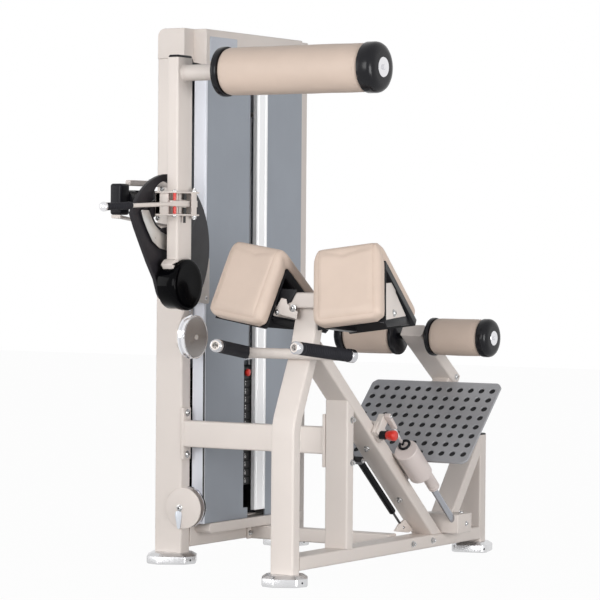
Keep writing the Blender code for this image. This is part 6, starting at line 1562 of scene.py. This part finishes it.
def pad_form(inset):
    """The pad's cut shape in its own frame, with its edges rounded over."""
    top = pad_rows(inset - 0.001, PAD_RIDGE_ROUNDING, inset)
    bottom = pad_rows(PAD_THICKNESS, 0.006, inset * 0.4, PAD_REAR_THICKNESS)
    half = PAD_WIDTH / 2 - inset
    stations = [-1 + 2 * step / 22 for step in range(23)]
    mesh = bmesh.new()
    upper, base = [], []
    last = len(top) - 1
    for row, ((ty, tz), (by, bz)) in enumerate(zip(top, bottom)):
        near_end = min(row, last - row)
        away = min(hypot(ty - foot[0], tz - foot[1]) for foot in (top[0], top[-1]))
        missing = max(PAD_CORNER - away, 0.0)
        wide = half - PAD_CORNER + sqrt(PAD_CORNER ** 2 - missing ** 2)
        from_ridge = min(hypot(ty, tz + 0.008) / 0.034, 1.0)
        wide -= 0.011 * (1 - from_ridge) ** 1.5
        upper_row, base_row = [], []
        for share in stations:
            edge = 1 - abs(share)
            lift = 1.0 if edge > 0.15 else 0.70 + 0.30 * sqrt(max(0.0, 1 - (1 - edge / 0.15) ** 2))
            end = 1.0 if near_end >= 2 else (0.80, 0.96)[near_end]
            rise = lift * end
            upper_row.append(mesh.verts.new((share * wide, by + (ty - by) * rise, bz + (tz - bz) * rise)))
            base_row.append(mesh.verts.new((share * wide * 0.985, by, bz)))
        upper.append(upper_row)
        base.append(base_row)
    pairs = [pair for grid in (upper, base) for pair in zip(grid, grid[1:])]
    pairs += [([row[edge] for row in upper], [row[edge] for row in base]) for edge in (0, -1)]
    pairs += [(upper[row], base[row]) for row in (0, -1)]
    for first, second in pairs:
        for step in range(len(first) - 1):
            mesh.faces.new((first[step], first[step + 1], second[step + 1], second[step]))
    return mesh_data("pad_form", mesh)


def swollen_pad():
    """The pad's skin blown up a little over its flat back, in the pad's own frame."""
    item = put("pad_blank", pad_form(0.0005))
    bpy.context.view_layer.update()
    modifier = item.modifiers.new("skin", "REMESH")
    modifier.mode = "VOXEL"
    modifier.voxel_size = 0.005
    settle(item)
    rest = [vertex.co.copy() for vertex in item.data.vertices]
    normals = [vertex.normal.copy() for vertex in item.data.vertices]
    item.vertex_groups.clear()
    group = item.vertex_groups.new(name="held")
    back = pad_rows(PAD_THICKNESS, 0.006, 0.0, PAD_REAR_THICKNESS)
    for index, spot in enumerate(rest):
        near = min((spot.y - by) ** 2 + (spot.z - bz) ** 2 for by, bz in back)
        if near < 0.012 ** 2:
            group.add([index], 1.0, "REPLACE")
    cloth = item.modifiers.new("swell", "CLOTH")
    cloth.settings.vertex_group_mass = "held"
    cloth.settings.use_pressure = True
    cloth.settings.uniform_pressure_force = 4.0
    cloth.settings.effector_weights.gravity = 0.0
    cloth.settings.tension_stiffness = 22.0
    cloth.settings.compression_stiffness = 22.0
    cloth.settings.shear_stiffness = 14.0
    cloth.settings.bending_stiffness = 4.0
    cloth.point_cache.frame_start = 1
    cloth.point_cache.frame_end = 22
    scene = bpy.context.scene
    for number in range(1, 21):
        scene.frame_set(number)
    settle(item)
    scene.frame_set(1)
    for vertex, start, normal in zip(item.data.vertices, rest, normals):
        out = (vertex.co - start).dot(normal)
        vertex.co = start + normal * min(max(out, 0.0), PAD_SWELL)
    relax = item.modifiers.new("relax", "SMOOTH")
    relax.factor = 0.5
    relax.iterations = 9
    settle(item)
    item.modifiers.new("smooth", "SUBSURF").levels = 1
    settle(item)
    return item


def pad_seam_path(inset, tree, sink):
    """A closed line on the skin, a given way in from its edges."""
    front, ridge, rear = bent_section(0.0, PAD_RIDGE_ROUNDING, inset * 0.6, 8)
    line = spread(front, ridge[0], 24) + ridge[:-1] + spread(ridge[-1], rear, 36) + [rear]
    half = PAD_WIDTH / 2 - inset
    across = [-half + 2 * half * step / 24 for step in range(25)]
    loop = [(-half, y, z) for y, z in line]
    loop += [(x, line[-1][0], line[-1][1]) for x in across[1:]]
    loop += [(half, y, z) for y, z in reversed(line[:-1])]
    loop += [(x, line[0][0], line[0][1]) for x in reversed(across[1:-1])]
    loop = soften(loop, 0.004, 2, closed=True)
    sunk = []
    for spot in loop:
        hit, normal, _, _ = tree.find_nearest(spot)
        sunk.append(hit - normal * sink)
    return sunk


def skin_tree(data):
    graph = bmesh.new()
    graph.from_mesh(data)
    tree = BVHTree.FromBMesh(graph)
    graph.free()
    return tree


def add_pads():
    add_head_cover()
    blank = swollen_pad()
    press_seam(blank.data, pad_seam_path(PAD_SEAM, skin_tree(blank.data), 0.0), 0.0030, 0.0009)
    tree = skin_tree(blank.data)
    inner = pad_seam_path(PAD_SEAM, tree, 0.0001)
    outer = pad_seam_path(PAD_SEAM - 0.0042, tree, 0.0)
    for label, side in (("left", -1), ("right", 1)):
        matrix = pad_matrix(side)
        mesh = bmesh.new()
        mesh.from_mesh(blank.data)
        bmesh.ops.transform(mesh, matrix=matrix, verts=mesh.verts)
        item = piece("thigh_pad_" + label, mesh, TAN, "frame", "tan_leather", "pad_" + label, angle=75)
        # A darker line laid in the pressed seam: painted shade in the crease.
        mesh = bmesh.new()
        round_tube(mesh, [matrix @ spot for spot in inner], 0.0007, 6, closed=True)
        piece("thigh_pad_seam_shade_" + label, mesh, SEAM_SHADE, "frame", "tan_leather")
        mesh = bmesh.new()
        add_stitches(mesh, [matrix @ spot for spot in outer])
        piece("thigh_pad_thread_" + label, mesh, STITCH, "frame", "tan_leather")
        add_shell(label, side, matrix)
    bpy.data.objects.remove(blank)


def press_seam(data, line, width, depth):
    """Draw the skin in along a sewn line."""
    closer = []
    for first, second in zip(line, line[1:] + line[:1]):
        closer += [first.lerp(second, step / 4) for step in range(4)]
    tree = KDTree(len(closer))
    for index, spot in enumerate(closer):
        tree.insert(spot, index)
    tree.balance()
    normals = [vertex.normal.copy() for vertex in data.vertices]
    for vertex, normal in zip(data.vertices, normals):
        _, _, distance = tree.find(vertex.co)
        if distance < width * 2:
            vertex.co -= normal * depth * (1 - (distance / (width * 2)) ** 2) ** 2


def add_stitches(mesh, line, pitch=0.0062, length=0.0040, radius=0.00045):
    """Short threads laid end to end along a closed line."""
    total = [0.0]
    closed = line + line[:1]
    for first, second in zip(closed, closed[1:]):
        total.append(total[-1] + (second - first).length)
    count = int(total[-1] / pitch)
    index = 0
    for step in range(count):
        at = total[-1] * step / count
        while total[index + 1] < at:
            index += 1
        way = (closed[index + 1] - closed[index])
        if way.length < 1e-7:
            continue
        spot = closed[index] + way * ((at - total[index]) / way.length)
        way = way.normalized()
        revolve(mesh, spot, way, [(0, 0), (0.0004, radius), (length - 0.0004, radius), (length, 0)], 6)


def add_shell(label, side, matrix):
    """The moulded backing, its ties, the block under the ridge and the outer side plate."""
    def at(x, points):
        return [matrix @ Vector((x, y, z)) for y, z in points]

    half = PAD_WIDTH / 2 - 0.002
    turn = matrix.to_3x3()
    outer = PAD_THICKNESS + JOINT
    behind = PAD_REAR_THICKNESS + JOINT
    upper = bent_section(outer, 0.0055, -0.002, 5, behind)
    lower = bent_section(outer + SHELL_THICKNESS * 0.6, 0.0, 0.002, 5, PAD_THICKNESS + SHELL_THICKNESS)
    outline = [upper[0]] + upper[1] + [upper[2], lower[2], lower[1][0], lower[0]]
    mesh = bmesh.new()
    extrude(mesh, at(-half, outline), turn @ X, 2 * half, 0.0022)
    shell = piece("pad_backing_" + label, mesh, BLACK, "frame", "black_plastic", "pad_shell_" + label)
    front, rear = lower[0], lower[2]
    mesh = bmesh.new()
    for x in (-half + 0.010, half - 0.034):
        tie = [(front[0] - 0.004, front[1] + 0.002), (rear[0] - 0.020, rear[1] + 0.004),
                (rear[0] - 0.040, rear[1] + 0.030), (front[0] + 0.006, front[1] + 0.030)]
        extrude(mesh, at(x, tie), turn @ X, 0.024, 0.0016)
    ties = put("ties", mesh_data("ties", mesh))
    low = lower[1][0]
    block = [(low[0], low[1] + 0.003), (low[0] + 0.060, low[1] - 0.044), (low[0] + 0.045, low[1] - 0.088),
            (low[0] - 0.036, low[1] - 0.088)]
    mesh = bmesh.new()
    extrude(mesh, at(-half + 0.050 + side * 0.010, block), turn @ X, 0.100, 0.002)
    block = piece("pad_block_" + label, mesh, BLACK, "frame", "black_plastic")
    for item in (shell, ties, block):
        cutter = bmesh.new()
        rounded_box(cutter, *head_beam(JOINT), 0)
        carve(item, cutter)
    add_to(shell, ties)
    if side > 0:
        way, x, shape, spot = X, half - 0.0095, OUTER_PLATE, (0.060, -0.228)
    else:
        way, x, shape, spot = -X, -half + 0.0095, INNER_PLATE, (0.079, -0.194)
    mesh = bmesh.new()
    extrude(mesh, rounded(at(x, shape), 0.005), turn @ way, 0.0045, 0.0012, 2)
    cream("pad_side_plate_" + label, mesh)
    frame_bolts.button(matrix @ (Vector((x, *spot)) + way * 0.0046), turn @ way, 0.0085)
    mesh = bmesh.new()
    bar = [(shape[-1][0] - 0.008, shape[-1][1] - 0.002), (shape[-2][0] + 0.004, shape[-2][1] - 0.003),
            (shape[-2][0] - 0.004, shape[-2][1] - 0.026), (shape[-1][0] + 0.012, shape[-1][1] - 0.022)]
    extrude(mesh, rounded(at(x, bar), 0.006), turn @ way, 0.0040, 0.0012, 2)
    piece("pad_low_bar_" + label, mesh, BLACK, "frame", "black_plastic")


# Foot carriage

SADDLE = (0.060, 0.128)
WALL = 0.011
STRAP_WIDTH = 0.060
GUIDE_X = 0.700
GUIDE_RISE = 0.058
GUIDE = (0.312, 0.655)
SLEEVE = (0.233, 0.364)
SLEEVE_RISE = 0.042
NECK_END = 0.462
PLATE_LOW = (0.373, 0.333)
PLATE_SLOPE = radians(44.5)
PLATE_LENGTH = 0.343
PLATE_WIDTH = 0.478
PLATE_THICKNESS = 0.008
ANKLE_AT = (0.470, 0.727)
ANKLE_CORNER = (0.670, 0.590)
ANKLE_ROLLER = (0.060, 0.282)
GAS_X = 0.600
GAS_RISE = -0.054
GAS = (0.174, 0.445)
GAS_LUG_LOW = 0.5217
KNOB_ALONG = 0.100
KNOB_RISE = 0.004
HINGE = (0.095, 0.068)
LEVER_TIP = (0.2315, 0.060)
PLATE_WAY = Vector((0, cos(PLATE_SLOPE), sin(PLATE_SLOPE)))
PLATE_OUT = Vector((0, -sin(PLATE_SLOPE), cos(PLATE_SLOPE)))


def beam_block(mesh, start, end, low, high, x_low, x_high, bevel=0.0015):
    """A bar laid parallel to the diagonal beam."""
    corners = [on_beam(start, low, x_low), on_beam(end, low, x_low), on_beam(end, high, x_low),
            on_beam(start, high, x_low)]
    base = mesh.faces.new([mesh.verts.new(corner) for corner in corners])
    pushed = bmesh.ops.extrude_face_region(mesh, geom=[base])
    moved = [item for item in pushed["geom"] if isinstance(item, bmesh.types.BMVert)]
    bmesh.ops.translate(mesh, verts=moved, vec=X * (x_high - x_low))
    if bevel:
        edges = [edge for vertex in list(base.verts) + moved for edge in vertex.link_edges]
        round_edges(mesh, edges, bevel, 3)


def add_carriage():
    half = TUBE_DEPTH / 2 + 0.001
    side = TUBE_WIDTH / 2 + 0.001
    near, far = FRAME_X - side - WALL, FRAME_X + side + WALL
    mesh = bmesh.new()
    outline = [(near, -0.010), (near, half + WALL), (far, half + WALL), (far, -0.010),
            (far - WALL, -0.010), (far - WALL, half), (near + WALL, half), (near + WALL, -0.010)]
    extrude(mesh, [on_beam(SADDLE[0] + 0.012, rise, x) for x, rise in outline], ALONG,
            SADDLE[1] - SADDLE[0] - 0.012, 0.0016)
    strap_low = half + 0.002
    strap_high = strap_low + 0.010
    left, right = FRAME_X - STRAP_WIDTH / 2, FRAME_X + STRAP_WIDTH / 2
    beam_block(mesh, SADDLE[0] + 0.010, SLEEVE[1], strap_low, strap_high, left, right, 0.0014)
    beam_block(mesh, SADDLE[0] + 0.026, SADDLE[1] - 0.008, strap_low + 0.002, HINGE[1] + 0.005,
            far - 0.020, far + 0.0012, 0.0020)
    low = P(FRAME_X, *PLATE_LOW)
    spine_low = low - PLATE_OUT * (PLATE_THICKNESS / 2 + JOINT + TUBE_DEPTH / 2) - PLATE_WAY * 0.046
    corner = P(FRAME_X, *ANKLE_CORNER)
    spine_high = spine_low + PLATE_WAY * ((corner - spine_low).dot(PLATE_WAY) + TUBE_DEPTH / 2)
    ankle_high = P(FRAME_X, *ANKLE_AT) - ALONG * 0.030
    ankle_way = (ankle_high - corner).normalized()
    rect_tube(mesh, [spine_low, spine_high], X, STRAP_WIDTH, TUBE_DEPTH, 0.005)
    frame_tube(mesh, [corner - ankle_way * (TUBE_DEPTH / 2), ankle_high])
    beam_block(mesh, SLEEVE[0] + 0.010, SLEEVE[1] - 0.015, strap_low + 0.001, strap_high - 0.001,
            right - 0.010, GUIDE_X - 0.010, 0.0010)
    bracket = near - 0.004
    beam_block(mesh, SADDLE[0] + 0.015, SADDLE[1] - 0.010, GAS_RISE - 0.010, 0.0, bracket, near + 0.005,
            0.0014)
    beam_block(mesh, SADDLE[0] + 0.016, SADDLE[1] - 0.006, -0.008, half + WALL - 0.002, far - 0.002,
            far + 0.010, 0.0016)
    piece("carriage_frame", mesh, CREAM, "carriage", "cream_paint", "carriage")
    mesh = bmesh.new()
    beam_block(mesh, SADDLE[1] - 0.030, GAS[0] - 0.004, GAS_RISE - 0.012, GAS_RISE + 0.012,
            bracket + 0.001, FRAME_X - 0.043, 0.0014)
    beam_block(mesh, GAS[0] - 0.014, GAS[0] - JOINT, GAS_RISE - 0.011, GAS_RISE + 0.011, bracket + 0.002,
            GAS_X + 0.012, 0.0014)
    piece("gas_clevis", mesh, DARK_STEEL, "carriage", "cream_paint")
    carriage_bolts.nut(on_beam(GAS[0] - 0.007, GAS_RISE, GAS_X + 0.0121), X, 0.0062, 0.002)
    mesh = bmesh.new()
    length = SLEEVE[1] - SLEEVE[0]
    sleeve = [(0, 0), (0, 0.037), (0.002, 0.0385), (length - 0.004, 0.0385), (length, 0.035),
            (length, 0.0115), (0.014, 0.0115), (0.014, 0)]
    revolve(mesh, on_beam(SLEEVE[0], SLEEVE_RISE, GUIDE_X + 0.003), ALONG, sleeve, 72)
    barrel = piece("guide_sleeve", mesh, SLEEVE_WHITE, "carriage", "cream_paint")
    bore(barrel, on_beam(SLEEVE[0] + 0.012, GUIDE_RISE, GUIDE_X), ALONG, 0.0114, 0.3, 40)
    mesh = bmesh.new()
    collar = ((-0.014, 0.019), (-0.013, 0.0178), (-0.010, 0.0178), (-0.009, 0.019), (0.002, 0.019),
            (0.004, 0.0172), (0.004, 0.0114))
    neck = [(0, 0.0114), (0, 0.019)] + shifted(collar, NECK_END - SLEEVE[1])
    revolve(mesh, on_beam(SLEEVE[1] - 0.004, GUIDE_RISE + 0.004, GUIDE_X + 0.003), ALONG, neck, 56,
            closed=True)
    piece("guide_neck", mesh, SLEEVE_WHITE, "carriage", "cream_paint")
    mesh = bmesh.new()
    length = GUIDE[1] - GUIDE[0]
    bar = [(0, 0), (0, 0.0100), (0.001, 0.011), (length, 0.011), (length, 0)]
    revolve(mesh, on_beam(GUIDE[0], GUIDE_RISE, GUIDE_X), ALONG, bar, 48)
    piece("guide_bar", mesh, ROD_CHROME, "frame", "chrome", "guide_rod")
    mesh = bmesh.new()
    hinge = on_beam(*HINGE, far)
    rod(mesh, hinge, X, 0.004, 0.026, 24)
    piece("hinge_stud", mesh, BOLT, "carriage", "cream_paint")
    carriage_bolts.button(hinge + X * 0.0226, X, 0.0060, washer=False)
    for along in (0.082, 0.112):
        carriage_bolts.button(on_beam(along, 0.008 if along < 0.1 else -0.010, near), -X, 0.006)
    carriage_bolts.button(P(FRAME_X + TUBE_WIDTH / 2, *ANKLE_CORNER), X, 0.0075)
    add_foot_plate(low)
    add_ankle_rollers()
    add_gas_spring()
    add_release(far)


def add_foot_plate(low):
    """A steel tread with chamfered corners and twelve by eight round holes."""
    half, cut, long = PLATE_WIDTH / 2, 0.014, PLATE_LENGTH
    base = low - PLATE_OUT * (PLATE_THICKNESS / 2)
    outline = [(-half + cut, 0), (half - cut, 0), (half, cut), (half, long - cut), (half - cut, long),
            (-half + cut, long), (-half, long - cut), (-half, cut)]
    outline = soften(outline, 0.006, 3, closed=True)
    pitch, radius, sides, lip = 0.039, 0.0105, 28, 0.0007
    first_row = (long - 7 * pitch) / 2
    centres = [((column - 5.5) * pitch, first_row + row * pitch) for column in range(12)
            for row in range(8)]
    mesh = bmesh.new()

    def place(a, b, rise):
        return base + X * a + PLATE_WAY * b + PLATE_OUT * rise

    def hole_ring(a, b, wide, rise):
        turns = [2 * pi * step / sides for step in range(sides)]
        return [mesh.verts.new(place(a + wide * cos(turn), b + wide * sin(turn), rise)) for turn in turns]

    def loop_edges(ring):
        return [mesh.edges.new((ring[step], ring[(step + 1) % len(ring)])) for step in range(len(ring))]

    rims, holes = [], []
    for flat, inner in ((PLATE_THICKNESS, PLATE_THICKNESS - lip), (0.0, lip)):
        inward = 1 - lip / half
        rim = [mesh.verts.new(place(a * inward, b + (lip if b < 0.1 else -lip) * 0.5, flat))
                for a, b in outline]
        edges = loop_edges(rim)
        wide = []
        for a, b in centres:
            wide.append(hole_ring(a, b, radius + lip, flat))
            edges += loop_edges(wide[-1])
        bmesh.ops.triangle_fill(mesh, use_beauty=True, use_dissolve=False, edges=edges)
        rims.append(rim)
        holes.append((wide, [hole_ring(a, b, radius, inner) for a, b in centres]))
    outer = [[mesh.verts.new(place(a, b, rise)) for a, b in outline]
            for rise in (PLATE_THICKNESS - lip, lip)]
    for first, second in zip([rims[0]] + outer, outer + [rims[1]]):
        join(mesh, first, second)
    (wide, narrow), (low_wide, low_narrow) = holes
    for walls in zip(wide, narrow, low_narrow, low_wide):
        for first, second in zip(walls, walls[1:]):
            join(mesh, first, second)
    plate = piece("tread", mesh, GREY_STEEL, "carriage", "steel", "foot_plate", angle=28)
    # A near-black disc sits in each hole: painted shade, so that the holes read dark.
    mesh = bmesh.new()
    for a, b in centres:
        rod(mesh, place(a, b, 0.0016), PLATE_OUT, radius - 0.0001, 0.0024, 20)
    piece("tread_hole_shade", mesh, HOLE_SHADE, "carriage", "black_plastic")
    bore(plate, on_beam(SLEEVE[0] - 0.001, SLEEVE_RISE, GUIDE_X + 0.003), ALONG, 0.0390, 0.172, 64)


def add_ankle_rollers():
    axis = P(FRAME_X, *ANKLE_AT)
    near, far = ANKLE_ROLLER
    length = far - near
    dome = ((-0.018, 0), (-0.0115, -0.0016), (-0.0060, -0.0056), (-0.0025, -0.0110), (-0.0005, -0.018),
            (0, -0.024))
    disc = [(-0.003, 0.0), (-0.003, 0.0230), (0.0006, 0.0230), (0.0018, 0.0218), (0.0022, 0.0205),
            (0.0015, 0.0160), (0.0015, 0.0)]
    screw = [(0.0014, 0.0), (0.0014, 0.0065), (0.005, 0.0060), (0.006, 0.0040), (0.006, 0.0)]
    cover = length - 0.0143 - 0.0364
    spools = bmesh.new()
    discs = bmesh.new()
    for label, side in (("left", -1), ("right", 1)):
        way = X * side
        start = axis + way * near
        revolve(spools, start, way, spool_profile(length, 0.061, 0.0139, 0.0361, 0.022, dome), 80)
        revolve(discs, axis + way * far, way, disc, 56)
        revolve(discs, axis + way * far, way, screw, 28)
        add_sleeve("ankle_cover_" + label, start + way * 0.0143, way, cover, 0.059, 0.0224,
                "ankle_rollers", "ankle_pad_" + label, 5 + side)
    rod(spools, axis - X * (near + 0.002), X, 0.010, 2 * near + 0.004, 40)
    piece("ankle_spools", spools, SPOOL, "ankle_rollers", "black_plastic", "ankle_roller_core", angle=40)
    piece("ankle_discs", discs, CHROME, "ankle_rollers", "black_plastic")


def add_gas_spring():
    start, end = GAS
    length = end - start
    mesh = bmesh.new()
    far = ((-0.007, 0.011), (-0.006, 0.0103), (-0.004, 0.0103), (-0.003, 0.011), (-0.001, 0.0100),
            (0, 0.0080), (0, 0.0045), (-0.002, 0.0045), (-0.002, 0))
    barrel = [(0, 0), (0, 0.009), (0.0008, 0.0104), (0.003, 0.011)] + shifted(far, length)
    revolve(mesh, on_beam(start, GAS_RISE, GAS_X), ALONG, barrel, 48)
    piece("gas_barrel", mesh, GAS_BLACK, "carriage", "black_plastic", "gas_spring_cylinder")
    mesh = bmesh.new()
    stem = GAS_LUG_LOW + 0.002 - end + 0.050
    rod(mesh, on_beam(end - 0.050, GAS_RISE, GAS_X), ALONG, 0.004, stem, 32)
    piece("gas_stem", mesh, DARK_STEEL, "frame", "steel", "gas_spring_rod")
    mesh = bmesh.new()
    plate = [(0.382, 0.103), (0.410, 0.124), (0.446, 0.136), (0.500, 0.098), (0.470, 0.092)]
    extrude(mesh, rounded(at_x(GAS_X - 0.004, plate), 0.004), X, 0.008, 0.0012, 2)
    cream("gas_lug", mesh)
    frame_bolts.button(on_beam(GAS_LUG_LOW + 0.008, GAS_RISE, GAS_X - 0.0041), -X, 0.0050, washer=False)
    frame_bolts.button(on_beam(GAS_LUG_LOW + 0.008, GAS_RISE, GAS_X + 0.0041), X, 0.0050, washer=False)


def add_release(face):
    start = on_beam(KNOB_ALONG, KNOB_RISE, face - WALL)
    mesh = bmesh.new()
    revolve(mesh, start, X, [(0, 0), (0, 0.005), (0.001, 0.006), (WALL + 0.031, 0.006),
            (WALL + 0.031, 0)], 28)
    piece("pull_stem", mesh, CHROME, "pull_knob", "chrome", "pull_knob")
    mesh = bmesh.new()
    start = start + X * 0.018 - ABOVE * 0.004
    ball = ((0.011, 0.0), (0.011, 0.0095), (0.0135, 0.0125), (0.0175, 0.0142), (0.0260, 0.0158),
            (0.0340, 0.0168), (0.0400, 0.0168), (0.0440, 0.0155), (0.0466, 0.0125), (0.0478, 0.0080),
            (0.0480, 0.0))
    revolve(mesh, start, X, shifted(ball, WALL), 48)
    piece("pull_ball", mesh, RED, "pull_knob", "red_plastic", angle=50)
    # A short black collar behind the red ball: painted shade around the ball's base.
    mesh = bmesh.new()
    shade_collar = ((-0.010, 0.0), (-0.010, 0.0135), (0.009, 0.0135), (0.0108, 0.0120), (0.0108, 0.0))
    revolve(mesh, start, X, shifted(shade_collar, WALL), 40)
    piece("pull_ball_shade", mesh, BLACK, "pull_knob", "red_plastic")
    mesh = bmesh.new()
    revolve(mesh, on_beam(KNOB_ALONG, KNOB_RISE, face), X,
            [(0, 0.0064), (0, 0.0105), (0.0045, 0.0105), (0.0055, 0.0095), (0.0055, 0.0064)], 6,
            closed=True)
    piece("pull_collar", mesh, BOLT, "carriage", "cream_paint")
    hinge = on_beam(*HINGE, face + 0.012)
    tip = on_beam(*LEVER_TIP, face + 0.012)
    way = (tip - hinge).normalized()
    start = hinge - way * 0.010
    across = way.cross(X) * 0.007
    mesh = bmesh.new()
    offset = X * -0.010
    middle = hinge.lerp(tip, 0.42)
    corners = [start + across + offset, middle + across * 0.7 + offset, middle - across * 0.7 + offset,
            start - across + offset]
    extrude(mesh, rounded(corners, 0.004), X, 0.020, 0.0025)
    piece("release_handle", mesh, SLEEVE_WHITE, "release_lever", "cream_paint", "release_lever")
    mesh = bmesh.new()
    from_middle = hinge.lerp(tip, 0.38)
    rod(mesh, from_middle, way, 0.0056, (tip - from_middle).length, 28)
    piece("release_rod", mesh, CHROME, "release_lever", "chrome")
    mesh = bmesh.new()
    ring = [(0.0045 * sin(radians(a)), 0.0165 + 0.0045 * cos(radians(a))) for a in range(0, 360, 30)]
    revolve(mesh, tip + way * 0.001 + X * 0.003 + Z * 0.001, ALONG, ring, 40, closed=True)
    piece("rest_ring", mesh, BLACK, "carriage", "cream_paint")


# Scene

add_camera()
add_feet()
add_columns()
add_cap()
add_shroud()
add_stack()
add_pulleys()
add_pivot()
add_cam()
add_arm()
add_latch()
add_stop()
add_back_roller()
add_frame()
add_handlebar()
add_pads()
add_carriage()
for fasteners in (frame_bolts, arm_bolts, carriage_bolts, cam_bolts):
    fasteners.finish()
add_studio()
